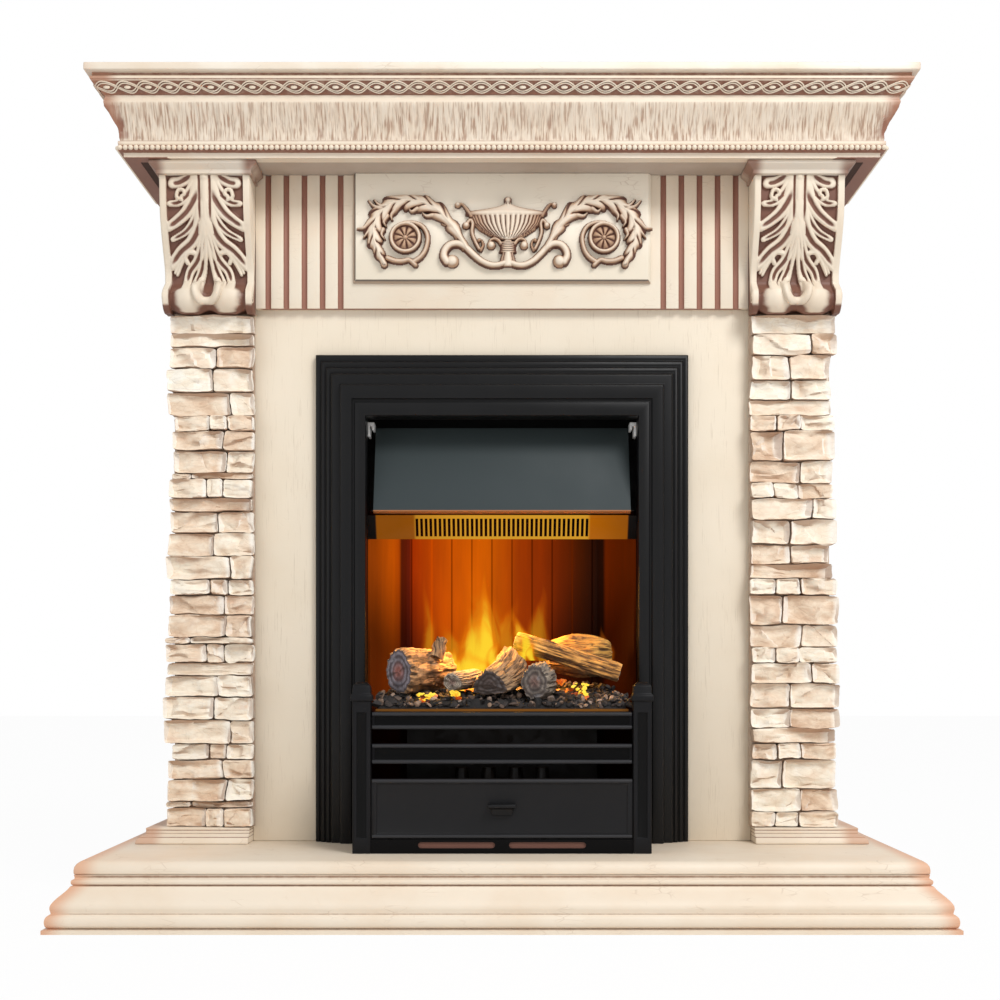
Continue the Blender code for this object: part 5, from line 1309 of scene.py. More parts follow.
@dataclass
class StoneLeg:
    """One leg's cladding of cast split stones, course on course, over a thin backing."""

    side: Side
    courses: tuple[tuple[float, tuple[float, ...]], ...]
    front_y: float = 0.0377
    backing: float = 0.012
    inner: float = 0.336
    outer: float = 0.4503
    core: float = 0.4443
    foot: float = 0.1053
    top: float = 0.7972
    repeat: float = 0.222
    repeats: int = 3
    joint: float = 0.0012
    cuts: int = 10
    rounding: float = 0.0034
    bed: float = 0.0075
    sway: Spot = (0.0022, 0.0, 0.0016)
    upper: float = 0.43
    upper_shift: float = -0.0050
    side_runs: tuple[Flat, ...] = ((0.0480, 0.1150), (0.1166, 0.2038))
    side_root: float = 0.0100
    side_reach: float = -0.0030
    depths: tuple[float, ...] = (0.0085, 0.0128, 0.0042, 0.0148, 0.0100, 0.0030, 0.0122, 0.0064)
    reaches: tuple[float, ...] = (0.0040, 0.0010, -0.0025, 0.0062, 0.0022, 0.0045, 0.0005, 0.0066, 0.0034)

    def split_stone(
        self, work: bmesh.types.BMesh, low: Spot, high: Spot, facing: Spot, deepest: float, seed: int
    ) -> None:
        """One stone: a block rounded at its edges, with split planes and lumps on its face.

        Args:
            work: The mesh that it is added to.
            low: The block's lowest corner.
            high: Its highest corner.
            facing: The direction that its face looks.
            deepest: How far its face may be cut back.
            seed: Picks its planes and its tone.
        """
        dice = random.Random(seed * 7 + 3)
        before = len(work.verts)
        made = bmesh.ops.create_cube(work, size=1.0)["verts"]
        edges = sorted({edge for vert in made for edge in vert.link_edges}, key=lambda edge: edge.index)
        bmesh.ops.subdivide_edges(work, edges=edges, cuts=self.cuts, use_grid_fill=True)
        work.verts.ensure_lookup_table()
        verts = work.verts[before:]
        corner, span = np.array(low), np.array(high) - np.array(low)
        spots = corner + (np.array([vert.co for vert in verts]) + 0.5) * span
        inner = np.clip(spots, corner + self.rounding, corner + span - self.rounding)
        lean = spots - inner
        reach = np.linalg.norm(lean, axis=1)[:, None]
        lean /= np.maximum(reach, 1e-9)
        rounded = inner + lean * self.rounding
        face = np.array(facing)
        front = unit(lean @ face)
        middle = corner + span / 2.0 + face * np.abs(face @ span) / 2.0
        plain, cut = rounded, rounded.copy()
        for _ in range(6):
            normal = face + np.array([dice.uniform(-0.62, 0.62) for _ in range(3)])
            normal /= np.linalg.norm(normal)
            touch = middle + np.array([dice.uniform(-0.32, 0.32) for _ in range(3)]) * span * (1.0 - np.abs(face))
            over = np.clip((cut - touch) @ normal, 0.0, 0.0065)
            cut -= over[:, None] * normal * front[:, None]
        too_deep = np.maximum((rounded - cut) @ face - deepest, 0.0)
        rounded = cut + too_deep[:, None] * face
        lumps = rough(spots, 0.024, seed, 4) * 0.0020 + rough(spots * (0.4, 0.4, 3.2), 0.018, seed + 5, 2) * 0.0010
        lumps += np.abs(rough(spots * (1.0, 1.0, 2.2), 0.010, seed + 9, 3)) * -0.0016
        rounded += lean * (lumps * (0.35 + 0.65 * front))[:, None]
        sway = np.stack([rough(spots + 3.0 * axis, 0.034, 70 + axis, 2) for axis in range(3)], axis=1)
        rounded += sway * self.sway
        too_deep = np.maximum((plain - rounded) @ face - deepest - 0.0005, 0.0)
        rounded += too_deep[:, None] * face
        pale = dice.random()
        depth = unit(1.0 - np.abs((spots - middle) @ face) / 0.011)
        hollow = unit(1.0 - depth * 1.5) * 0.9
        # Painted shade along each stone's lower edge; along its right edge a painted highlight takes the place of
        # the joint's dark.
        under = unit((corner[2] + 0.0024 - spots[:, 2]) / 0.0016) * front
        edge = unit((spots[:, 0] - corner[0] - span[0] + 0.0030) / 0.0012) * np.abs(face[1])
        hollow = np.maximum(hollow, under * 0.62) * (1.0 - edge * (depth > 0.05))
        for vert, spot in zip(verts, rounded):
            vert.co = spot
        tone = unit(pale + 0.15 * rough(spots, 0.02, seed, 2))
        mark(work, verts, {"tone": tone, "hollow": hollow, "lit": edge * (depth > 0.05)})

    def build(self) -> None:
        """Builds the leg's stones, from the top down."""
        work = bmesh.new()
        sign = self.side.value
        own = 0 if sign < 0 else 5000
        for low, high in (
            (
                (self.inner, self.front_y + self.bed, self.foot),
                (self.outer - 0.0088, self.front_y + self.backing, self.top),
            ),
            ((self.core, self.front_y + self.backing, self.foot), (self.outer - 0.0048, WALL_Y, self.top)),
        ):
            ends = sorted((sign * low[0], sign * high[0]))
            made = block(work, (ends[0], *low[1:]), (ends[1], *high[1:]))
            mark(work, made, {"hollow": 1.0, "tone": 0.2, "lit": 0.0})
        scale = self.repeat / sum(height for height, _ in self.courses)
        spare = self.top - self.foot - self.repeat * self.repeats
        rows = [(spare, ())] if spare > 0.004 else []
        rows += [(height * scale, splits) for _ in range(self.repeats) for height, splits in self.courses]
        width = self.outer - self.inner
        top = self.top
        count = 0
        for row, (height, splits) in enumerate(rows):
            bottom = max(top - height, self.foot)
            reach = self.reaches[(row * 4 + (0 if sign < 0 else 3)) % len(self.reaches)]
            reach += self.upper_shift if bottom > self.upper else 0.0
            edges = [0.0, *splits, 1.0]
            for start, end in zip(edges, edges[1:]):
                depth = self.depths[(count * 3) % len(self.depths)]
                near = self.outer - start * width - (self.joint / 2 if start else -reach)
                far = self.outer - end * width + (self.joint / 2 if end < 1 else 0.0005)
                ends = sorted((sign * near, sign * far))
                low = (ends[0], self.front_y - depth, bottom + self.joint / 2)
                high = (ends[1], self.front_y + self.backing - 0.001, top - self.joint / 2)
                seed = own + 100 * row + count
                self.split_stone(work, low, high, (0.0, -1.0, 0.0), depth + self.bed - 0.0030, seed)
                count += 1
            side_reach = max(reach, self.side_reach)
            for part, (start_y, end_y) in enumerate(self.side_runs):
                ends = sorted(
                    (sign * (self.outer - self.side_root), sign * (self.outer + side_reach + 0.001 * part))
                )
                low = (ends[0], start_y, bottom + self.joint / 2)
                high = (ends[1], end_y, top - self.joint / 2)
                seed = own + 9000 + 10 * row + part
                self.split_stone(work, low, high, (float(sign), 0.0, 0.0), side_reach - self.side_reach, seed)
            top = bottom
        finish = STONE if sign < 0 else PALE_STONE
        node = "stone_column_" + self.side.word
        publish(work, "stone_cladding_" + self.side.word, finish, [node], smooth=32.0)
        dress(["pilaster_core_" + self.side.word], PAINTED_BOARD)


LEFT_COURSES = (
    (0.0181, ()), (0.0284, (0.57,)), (0.0311, (0.53,)), (0.0317, (0.73,)), (0.0216, (0.48, 0.69)),
    (0.0263, (0.64,)), (0.0304, (0.68,)), (0.0088, (0.25,)), (0.0256, (0.44, 0.66)),
)
RIGHT_COURSES = (
    (0.0284, (0.28,)), (0.0336, (0.53,)), (0.0265, (0.51,)), (0.0200, ()), (0.0223, (0.42, 0.70)),
    (0.0399, (0.62,)), (0.0304, (0.40,)), (0.0209, (0.43, 0.72)),
)


@dataclass(frozen=True)
class Lobe:
    """A lobe of a carved leaf: half widths, height as a share, whether it is veined, and its path."""

    root: float
    tip: float
    height: float
    veined: bool
    path: tuple[Flat, ...]


@dataclass
class Corbel:
    """A scrolled corbel: rims, a sunk field with an acanthus leaf on it, and a lobed roll below."""

    side: Side
    centre: float = 0.395
    half: float = 0.060
    rim: float = 0.0085
    back_y: float = 0.0497
    foot: float = 0.7975
    height: float = 0.176
    proud: float = 0.058
    roll: float = 0.020
    sunk: float = 0.0052
    carved: float = 0.0074
    broaden: float = 1.48
    stem_edge: float = 0.0070
    field_foot: float = 0.0379
    field_height: float = 0.1381
    curve: tuple[Flat, ...] = (
        (1.000, 1.00), (0.985, 1.00), (0.960, 0.968), (0.900, 0.955), (0.800, 0.930), (0.700, 0.870),
        (0.600, 0.760), (0.500, 0.610), (0.400, 0.450), (0.320, 0.345), (0.245, 0.330),
    )
    lobes: tuple[Lobe, ...] = (
        Lobe(0.0062, 0.0050, 1.00, False, ((0.00, 1.04), (0.00, 0.86), (0.00, 0.72), (0.00, 0.60))),
        Lobe(0.0058, 0.0050, 0.70, True, ((0.26, 1.04), (0.44, 0.975), (0.64, 0.935), (0.82, 0.925))),
        Lobe(0.0072, 0.0030, 0.86, True, ((0.15, 1.03), (0.26, 0.91), (0.46, 0.81), (0.68, 0.745), (0.90, 0.735))),
        Lobe(
            0.0030, 0.0026, 0.92, False,
            ((0.60, 0.775), (0.72, 0.800), (0.68, 0.860), (0.56, 0.865), (0.52, 0.825), (0.60, 0.805)),
        ),
        Lobe(0.0076, 0.0046, 0.90, True, ((0.14, 0.95), (0.24, 0.80), (0.46, 0.665), (0.72, 0.580), (0.96, 0.525))),
        Lobe(0.0052, 0.0026, 0.80, True, ((0.10, 0.74), (0.26, 0.60), (0.52, 0.485), (0.88, 0.415))),
        Lobe(0.0070, 0.0048, 0.98, True, ((0.07, 0.72), (0.16, 0.54), (0.38, 0.400), (0.70, 0.310), (0.99, 0.190))),
        Lobe(0.0040, 0.0022, 0.80, False, ((0.62, 0.270), (0.74, 0.190), (0.84, 0.110))),
        Lobe(0.0036, 0.0022, 0.74, False, ((0.76, 0.240), (0.90, 0.130))),
        Lobe(0.0036, 0.0034, 0.90, False, ((0.34, 0.300), (0.50, 0.305), (0.60, 0.262), (0.55, 0.215))),
        Lobe(0.0052, 0.0042, 0.95, True, ((0.04, 0.58), (0.12, 0.38), (0.28, 0.240), (0.50, 0.140), (0.58, 0.040))),
        Lobe(0.0044, 0.0040, 0.98, True, ((0.02, 0.52), (0.09, 0.30), (0.20, 0.150), (0.35, 0.030))),
        Lobe(0.0030, 0.0030, 0.92, False, ((0.00, 0.50), (0.055, 0.28), (0.11, 0.14), (0.16, 0.05))),
        Lobe(
            0.0050, 0.0058, 1.15, False,
            ((0.21, 0.060), (0.29, -0.02), (0.27, -0.10), (0.15, -0.160), (0.00, -0.175)),
        ),
    )
    side_scrolls: tuple[tuple[Flat, float, float, float], ...] = (
        ((0.018, 0.150), 0.0105, 520.0, 200.0), ((0.030, 0.020), 0.0085, -480.0, 40.0),
    )
    columns: int = 120
    rim_columns: int = 7

    def outline(self) -> np.ndarray:
        """The corbel seen from the side: points of its closed outline from the top of its front down."""
        front = smooth_path(self.curve, 120)
        y = self.back_y - self.proud * front[:, 1]
        z = self.foot + self.height * front[:, 0]
        turn = np.radians(np.linspace(62.0, 205.0, 44))
        reach = 0.95 * self.roll
        roll_y = np.minimum(self.back_y - 0.019 - reach * np.sin(turn), self.back_y - 0.002)
        roll_z = self.foot + self.roll + reach * np.cos(turn)
        lower = np.stack([roll_y, roll_z], axis=1)
        back = np.array([(self.back_y, self.foot + 0.0015), (self.back_y, self.foot + self.height)])
        return np.vstack([np.stack([y, z], axis=1), lower, back])

    def leaf(self, across: np.ndarray, along: np.ndarray) -> tuple[np.ndarray, np.ndarray]:
        """The leaf's relief.

        Args:
            across: -1 to 1 over the field.
            along: 0 at the field's foot to 1 at its top.

        Returns:
            Its height, 0 on the field and about 1 on its lobes, and how hollow it is.
        """
        wide = self.half - self.rim
        spots = np.stack([np.abs(across) * wide, along * self.field_height], axis=1)
        top = np.zeros(len(spots))
        hollow = np.ones(len(spots))
        for lobe in self.lobes:
            path = smooth_path(lobe.path, 6 * len(lobe.path)) * (wide, self.field_height)
            gap, share = away_from(spots, path)
            broad = self.broaden if lobe.veined else 1.0
            part = gap / (broad * (lobe.root + (lobe.tip - lobe.root) * share))
            vein = np.exp(-((part / 0.33) ** 2)) * unit((share - 0.10) / 0.2) * unit((1.02 - share) / 0.15)
            rise = lobe.height * domed(part, 1.0) ** 0.7 * (1.0 - 0.60 * vein * lobe.veined)
            cut = np.maximum(vein * lobe.veined, unit((part - 0.80) * 5.0))
            hollow = np.where(rise > top, cut, hollow)
            top = np.maximum(top, rise)
        beside = np.exp(-(((spots[:, 0] - self.stem_edge) / 0.0016) ** 2)) * unit((along - 0.55) / 0.12)
        hollow = np.maximum(hollow, beside)
        return top * (1.0 - 0.40 * beside), np.maximum(hollow, np.clip((0.72 - top) * 1.5, 0.0, 0.8))

    def build(self) -> None:
        """Builds the corbel, the scroll lines on its two side faces and its cap."""
        outline = self.outline()
        run = np.gradient(outline, axis=0)
        out = np.stack([run[:, 1], -run[:, 0]], axis=1)
        out /= np.maximum(np.linalg.norm(out, axis=1), 1e-9)[:, None]
        front_points = len(outline) - 2
        wide = self.half - self.rim
        x_places = np.concatenate([
            np.linspace(-self.half, -wide, self.rim_columns + 1)[:-1],
            np.linspace(-wide, wide, self.columns + 1),
            np.linspace(wide, self.half, self.rim_columns + 1)[1:],
        ])
        centre = self.side.value * self.centre

        def place(turn: np.ndarray, station: np.ndarray) -> Placed:
            x = x_places[station]
            y, z = outline[turn, 0], outline[turn, 1]
            across = x / wide
            along = (z - self.foot - self.field_foot) / self.field_height
            is_front = turn < front_points
            leaf, leaf_hollow = self.leaf(across, along)
            inside = unit((1.0 - np.abs(across)) / 0.035) * unit((1.02 - along) / 0.02)
            in_field = inside * unit((along + 0.015) / 0.03)
            lift = np.where(is_front, -self.sunk * in_field + self.carved * leaf * inside, 0.0)
            bulge = np.sin(np.pi * unit((np.abs(across) - 0.04) / 0.90)) ** 1.2
            lobes = np.where(np.abs(across) > 0.985, 0.0014, 0.0080 * bulge - 0.0045)
            on_roll = unit((0.035 - along) / 0.06) * is_front
            lift += lobes * on_roll
            edge = unit((np.abs(x) - self.half + 0.0016) / 0.0016)
            lift -= 0.0012 * edge ** 2 * is_front
            push = out[turn] * lift[:, None]
            spots = np.stack([centre + x, y + push[:, 0], z + push[:, 1]], axis=1)
            spots[:, 1] = np.minimum(spots[:, 1], self.back_y)
            spots[:, 2] = np.maximum(spots[:, 2], self.foot + 0.0004)
            deep = leaf_hollow * in_field
            seam = on_roll * near(np.abs(across), 0.96, 0.07)
            seam = np.maximum(seam, on_roll * near(across, 0.0, 0.16) * (leaf < 0.2))
            # Painted shade under the roll: darker at its foot and low down where the lumps fall away.
            low_down = unit((self.foot + 0.0130 - z) / 0.0090)
            under = np.maximum(unit((self.foot + 0.0040 - z) / 0.0025), low_down * (1.0 - bulge) * 1.3) * is_front
            seam = np.maximum(seam, on_roll * unit((along + 0.055) / 0.03) * (leaf < 0.2) * 0.8)
            seam = np.maximum(seam, on_roll * (1.0 - bulge) ** 1.6 * (np.abs(across) < 1.0) * (leaf < 0.2) * 0.8)
            return spots, {"hollow": np.maximum(np.where(is_front, np.maximum(deep, seam), 0.0), under)}

        work = bmesh.new()
        shaped_grid(work, len(outline), len(x_places) - 1, place, wrap=True, capped=True)
        publish(work, "leaf_corbel_" + self.side.word, CORBEL_CAST, ["corbel_" + self.side.word], smooth=60.0)
        work = from_node("corbel_cap_" + self.side.word, 0.0009)
        mark_hollows(work, 3.5)
        publish(work, "corbel_capping_" + self.side.word, CAP_CAST, ["corbel_cap_" + self.side.word])
        self.scrolls()

    def scrolls(self) -> None:
        """The fine scroll lines on the corbel's two side faces."""
        work = bmesh.new()
        for face in (-1, 1):
            x = self.side.value * self.centre + face * (self.half - 0.0002)
            for centre, size, turns, start in self.side_scrolls:
                share = np.linspace(0.0, 1.0, 40)
                angle = np.radians(start + turns * share)
                radius = size * (1.0 - 0.82 * share)
                path = np.stack([
                    np.full(40, x), self.back_y - centre[0] - radius * np.cos(angle),
                    self.foot + centre[1] + radius * np.sin(angle),
                ], axis=1)
                tube(work, path, 0.0011 * (1.0 - 0.4 * share), (float(face), 0.0, 0.0), 6, 0.7)
        publish(work, "corbel_scrolls_" + self.side.word, FINE_CAST, smooth=60.0)


# Frieze


# The middle of the relief's big scroll, with its flower, from the middle of the raised panel
SCROLL_EYE = (0.1342, -0.0064)


@dataclass
class Frieze:
    """The fluted board, the raised panel and the urn relief planted on it."""

    plane: float = 0.0344
    middle_z: float = 0.9080
    reach_x: float = 0.2010
    reach_z: float = 0.0500
    cell: float = 0.00085
    carved: float = 0.0112
    shift: float = 0.0035
    nudge: float = 0.0045
    bowl_rows: tuple[Flat, ...] = (
        (0.010, -0.0100), (0.024, -0.0050), (0.037, 0.0030), (0.046, 0.0120), (0.051, 0.0235),
    )
    bowl_flutes: float = 22.0
    petals: float = 0.0160
    flute_depth: float = 0.004
    flute_reach: float = 0.332

    def boards(self) -> None:
        """The fluted board with brown rubbed into its flutes, and the raised panel with its moulded foot."""
        board = from_node("frieze_board", 0.0004)
        face = min(vert.co.y for vert in board.verts)
        sunk = [
            (vert.co.y - face) / self.flute_depth if abs(vert.co.x) < self.flute_reach else 0.0
            for vert in board.verts
        ]
        rubbed = np.where(np.array(sunk) > 1.2, 0.0, np.array(sunk) * 1.5)
        mark(board, board.verts[:], {"hollow": unit(rubbed)})
        publish(board, "fluted_frieze", FRIEZE_CAST, ["frieze_board"])
        panel = from_node("frieze_raised_panel", 0.0008)
        publish(panel, "raised_frieze_panel", RAISED_CAST, ["frieze_raised_panel"])

    @staticmethod
    def bowl(x: np.ndarray, z: np.ndarray, rows: Sequence[Flat]) -> tuple[np.ndarray, np.ndarray]:
        """Half a turned shape lying on the panel.

        Args:
            x: Places across, from its axis.
            z: Places up.
            rows: Its half widths, with their heights, from the foot up.

        Returns:
            How round it is at each place, 1 over the axis, and the turn round the axis in radians.
        """
        heights = [height for _, height in rows]
        wide = np.interp(z, heights, [width for width, _ in rows], left=0.0, right=0.0)
        share = np.clip(x / np.maximum(wide, 1e-6), -1.0, 1.0)
        inside = (wide > 1e-5) & (np.abs(x) < wide)
        return np.where(inside, np.sqrt(1.0 - share ** 2), 0.0), np.arcsin(share)

    def urn(self, x: np.ndarray, z: np.ndarray) -> np.ndarray:
        """The lidded urn on its foot, as a share of the carving's height."""
        parts = []
        round_bowl, turn = self.bowl(x, z, self.bowl_rows)
        parts.append(round_bowl ** 0.7 * (0.62 + 0.36 * np.abs(np.cos(turn * self.bowl_flutes)) ** 0.8))
        band, _ = self.bowl(x, z, ((0.0525, 0.0225), (0.0555, 0.0240), (0.0555, 0.0275), (0.0525, 0.0290)))
        parts.append(band ** 0.5 * (0.84 + 0.16 * np.sin((z - 0.0225) / 0.0065 * np.pi)))
        lid, _ = self.bowl(
            x, z, ((0.052, 0.0288), (0.036, 0.0310), (0.020, 0.0335), (0.010, 0.0360), (0.0085, 0.0370)),
        )
        parts.append(lid ** 0.5 * 0.88)
        cone, turn = self.bowl(x, z, ((0.0105, 0.0335), (0.0060, 0.0375), (0.0024, 0.0420)))
        parts.append(cone ** 0.6 * (0.86 + 0.14 * np.cos(turn * 8.0)))
        parts.append(domed(np.hypot(x, z - 0.0435), 0.0052) * 0.95)
        stem, _ = self.bowl(x, z, (
            (0.0105, -0.0275), (0.0122, -0.0262), (0.0108, -0.0245), (0.0108, -0.0160), (0.0122, -0.0145),
            (0.0108, -0.0128),
            (0.0058, -0.0118), (0.0056, -0.0102), (0.0098, -0.0092), (0.0098, -0.0078),
        ))
        parts.append(stem ** 0.6 * (0.80 + 0.08 * np.cos(z * 2600.0)))
        foot, turn = self.bowl(x, z, ((0.0105, -0.0460), (0.0118, -0.0420), (0.0100, -0.0340), (0.0075, -0.0278)))
        parts.append(foot ** 0.6 * (0.70 + 0.30 * np.abs(np.cos(turn * 2.6))))
        return np.max(parts, axis=0)

    def height(self, x: np.ndarray, z: np.ndarray) -> tuple[np.ndarray, np.ndarray]:
        """The relief's height and how deep in a groove each place is.

        Args:
            x: Places across from the urn's axis.
            z: Places up from the panel's middle.

        Returns:
            Heights as shares of the carving's depth, and the hollows.
        """
        x = x - self.nudge * np.exp(-((x / 0.070) ** 2))
        spots = np.stack([np.abs(x), z], axis=1)
        top = self.urn(x, z)
        groove = unit(1.0 - top * 1.4) * 0.6
        in_bowl = (z > -0.0090) & (z < 0.0225) & (top > 0.05)
        fluted = unit(1.0 - np.abs(np.cos(self.bowl(x, z, self.bowl_rows)[1] * self.bowl_flutes)) * 1.7)
        groove = np.maximum(groove, np.where(top > 0.05, np.clip((0.80 - top) * 2.2, 0.0, 0.85), 0.0))
        groove = np.where(in_bowl, np.maximum(fluted, unit((0.16 - top) * 8.0)), groove)
        for width, tip, tall, path in self.stems():
            gap, share = away_from(spots, smooth_path(path, 8 * len(path)))
            reach = width + (tip - width) * share
            rise = tall * domed(gap, reach)
            groove = np.where(rise > top, unit((gap / reach - 0.55) * 1.6), groove)
            top = np.maximum(top, rise)
        for x_at, z_at, size, tall in self.balls():
            rise = tall * domed(np.hypot(spots[:, 0] - x_at, spots[:, 1] - z_at), size)
            groove = np.where(rise > top, unit(0.55 - rise), groove)
            top = np.maximum(top, rise)
        rise, cut = self.acanthus(spots)
        groove = np.where(rise > top, cut, groove)
        top = np.maximum(top, rise)
        rise, cut = self.rosette(spots)
        groove = np.where(rise > top, cut, groove)
        return np.maximum(top, rise), groove

    @staticmethod
    def stems() -> tuple[tuple[float, float, float, tuple[Flat, ...]], ...]:
        """The plain stems: radius at the root and tip, height, and path from the urn outwards."""
        return (
            (
                0.0030, 0.0016, 0.70,
                ((0.0480, 0.0225), (0.0520, 0.0290), (0.0560, 0.0350), (0.0600, 0.0385), (0.0640, 0.0380)),
            ),
            (
                0.0030, 0.0026, 0.80,
                (
                    (0.0540, 0.0110), (0.0495, 0.0165), (0.0462, 0.0120), (0.0470, 0.0000),
                    (0.0430, -0.0120), (0.0380, -0.0220),
                ),
            ),
            (
                0.0028, 0.0020, 0.75,
                ((0.0095, -0.0150), (0.0130, -0.0105), (0.0180, -0.0085), (0.0232, -0.0105), (0.0248, -0.0155)),
            ),
            (0.0020, 0.0014, 0.55, ((0.0360, -0.0240), (0.0330, -0.0170), (0.0345, -0.0110), (0.0385, -0.0085))),
            (
                0.0046, 0.0062, 0.95,
                (
                    (0.0050, -0.0415), (0.0140, -0.0440), (0.0240, -0.0435), (0.0350, -0.0385),
                    (0.0450, -0.0300), (0.0550, -0.0200), (0.0650, -0.0150), (0.0750, -0.0165),
                    (0.0815, -0.0235), (0.0830, -0.0320), (0.0790, -0.0395),
                ),
            ),
            (
                0.0040, 0.0030, 0.80,
                (
                    (0.1230, -0.0395), (0.1130, -0.0320), (0.1065, -0.0210), (0.1045, -0.0050),
                    (0.1110, 0.0080), (0.1230, 0.0135), (0.1350, 0.0135),
                ),
            ),
            (
                0.0032, 0.0032, 0.85,
                tuple(
                    (SCROLL_EYE[0] + 0.0188 * math.cos(a), SCROLL_EYE[1] + 0.0188 * math.sin(a))
                    for a in np.linspace(1.2, 1.2 + 2 * math.pi, 15)
                ),
            ),
            (
                0.0044, 0.0034, 0.80,
                ((0.1580, -0.0345), (0.1480, -0.0380), (0.1380, -0.0385), (0.1290, -0.0370), (0.1205, -0.0440)),
            ),
            (0.0028, 0.0008, 0.55, ((0.0580, -0.0220), (0.0680, -0.0060), (0.0760, 0.0060), (0.0860, 0.0120))),
        )

    @staticmethod
    def balls() -> tuple[tuple[float, float, float, float], ...]:
        """The round ends of the scrolls: place, radius and height."""
        return (
            (0.0652, 0.0375, 0.0040, 0.95), (0.0545, 0.0098, 0.0048, 0.95), (0.0224, -0.0170, 0.0058, 1.0),
            (0.0725, -0.0385, 0.0088, 1.05), (0.0385, -0.0105, 0.0026, 0.65),
        )

    @staticmethod
    def acanthus(spots: np.ndarray) -> tuple[np.ndarray, np.ndarray]:
        """The leafy stem that sweeps over and down from the urn, with its outer leaf tips.

        Args:
            spots: Flat places in one half of the relief.

        Returns:
            Heights and hollows.
        """
        spine = smooth_path((
            (0.0530, -0.0230), (0.0640, -0.0040), (0.0760, 0.0130), (0.0913, 0.0290), (0.1080, 0.0385),
            (0.1250, 0.0425),
            (0.1420, 0.0415), (0.1583, 0.0340), (0.1710, 0.0210), (0.1765, 0.0050), (0.1755, -0.0110),
            (0.1705, -0.0250),
            (0.1625, -0.0430),
        ), 90)
        gap, share = away_from(spots, spine)
        nearest = np.stack([np.interp(share, np.linspace(0, 1, 90), spine[:, axis]) for axis in (0, 1)], axis=1)
        here, there = (np.linalg.norm(place - SCROLL_EYE, axis=1) for place in (spots, nearest))
        side = np.where(here > there, 1.0, -1.0)
        signed = gap * side
        width = 0.0030 + 0.0088 * unit(share / 0.30) ** 0.8 * np.clip((1.04 - share) / 0.25, 0.25, 1.0)
        lobes = 1.0 + 0.20 * np.cos(share * 62.0 - gap * 260.0)
        reach = width * lobes
        rise = domed(gap, reach) ** 0.8
        slanted = np.abs(np.sin(share * 31.0 - np.abs(signed) * 230.0 + 0.6 * side))
        leafy = unit((share - 0.12) / 0.12)
        rib = unit(1.0 - gap / 0.0019)
        cut = unit(0.62 - slanted) * 1.5 * leafy * (1.0 - rib)
        rise = rise * (1.0 - 0.42 * cut) * 0.95 + rib * 0.12 * (rise > 0)
        hollow = unit(cut * 1.2 + (gap / reach - 0.72) * 2.0)
        tips = (
            (0.0050, ((0.1620, 0.0300), (0.1700, 0.0330), (0.1770, 0.0360), (0.1835, 0.0430))),
            (0.0045, ((0.1600, 0.0350), (0.1690, 0.0370), (0.1760, 0.0440))),
            (0.0055, ((0.1740, 0.0200), (0.1820, 0.0150), (0.1900, 0.0060), (0.1985, 0.0050))),
            (0.0048, ((0.1750, 0.0110), (0.1830, 0.0020), (0.1900, -0.0070))),
            (0.0044, ((0.1750, 0.0040), (0.1810, -0.0060), (0.1830, -0.0150))),
            (0.0040, ((0.1480, 0.0300), (0.1530, 0.0230), (0.1520, 0.0170))),
            (0.0038, ((0.1580, 0.0220), (0.1630, 0.0140), (0.1600, 0.0080))),
            (0.0038, ((0.1640, 0.0040), (0.1660, -0.0030), (0.1620, -0.0090))),
            (0.0040, ((0.0980, 0.0230), (0.1060, 0.0220), (0.1110, 0.0260))),
            (0.0040, ((0.1180, 0.0320), (0.1250, 0.0280), (0.1290, 0.0310))),
        )
        for wide, path in tips:
            near, part = away_from(spots, smooth_path(path, 20))
            size = wide * (1.0 - 0.72 * part)
            lift = 0.82 * domed(near, size)
            hollow = np.where(lift > rise, unit((near / size - 0.5) * 1.6), hollow)
            rise = np.maximum(rise, lift)
        return rise, hollow

    def rosette(self, spots: np.ndarray) -> tuple[np.ndarray, np.ndarray]:
        """The nine-petalled flower in the scroll's eye: heights and hollows."""
        from_centre = spots - SCROLL_EYE
        radius = np.linalg.norm(from_centre, axis=1)
        turn = np.arctan2(from_centre[:, 1], from_centre[:, 0])
        petal = np.abs(np.cos(turn * 4.5)) ** 0.6
        rise = np.where(radius < self.petals, 0.22 + 0.42 * petal * unit(np.sin(radius / self.petals * np.pi)), 0.0)
        rise = np.maximum(rise, 0.75 * domed(radius, 0.0036))
        cut = np.where(radius < self.petals, unit(0.95 - petal * 0.9), 0.0)
        return rise, np.where(radius < 0.0030, 0.0, cut)

    def relief(self) -> None:
        """The urn and scrolls as one casting: a carved face on a flat back."""
        columns = round(2 * self.reach_x / self.cell)
        rows = round(2 * self.reach_z / self.cell)
        x_line = np.linspace(-self.reach_x, self.reach_x, columns + 1)
        z_line = np.linspace(-self.reach_z, self.reach_z, rows + 1)

        def place(column: np.ndarray, row: np.ndarray) -> Placed:
            x, z = x_line[column], z_line[row]
            tall, hollow = self.height(x, z)
            spots = np.stack([x + self.shift, np.full(len(x), self.plane + 0.0006), self.middle_z + z], axis=1)
            return spots, {"tall": tall, "hollow": hollow}

        work = bmesh.new()
        shaped_grid(work, columns, rows, place)
        tall = work.verts.layers.float["tall"]
        bare = [face for face in work.faces if max(vert[tall] for vert in face.verts) < 0.10]
        bmesh.ops.delete(work, geom=bare, context="FACES")
        grown = bmesh.ops.extrude_face_region(work, geom=work.faces[:], use_keep_orig=True)
        carved = [item for item in grown["geom"] if isinstance(item, bmesh.types.BMVert)]
        for vert in carved:
            vert.co.y = self.plane - self.carved * max(vert[tall], 0.12)
        bmesh.ops.smooth_vert(work, verts=carved, factor=0.25, use_axis_x=True, use_axis_y=True, use_axis_z=True)
        mark_hollows(work, 2.6)
        publish(work, "urn_and_scrolls", RELIEF_CAST, ["urn_relief"], smooth=70.0)

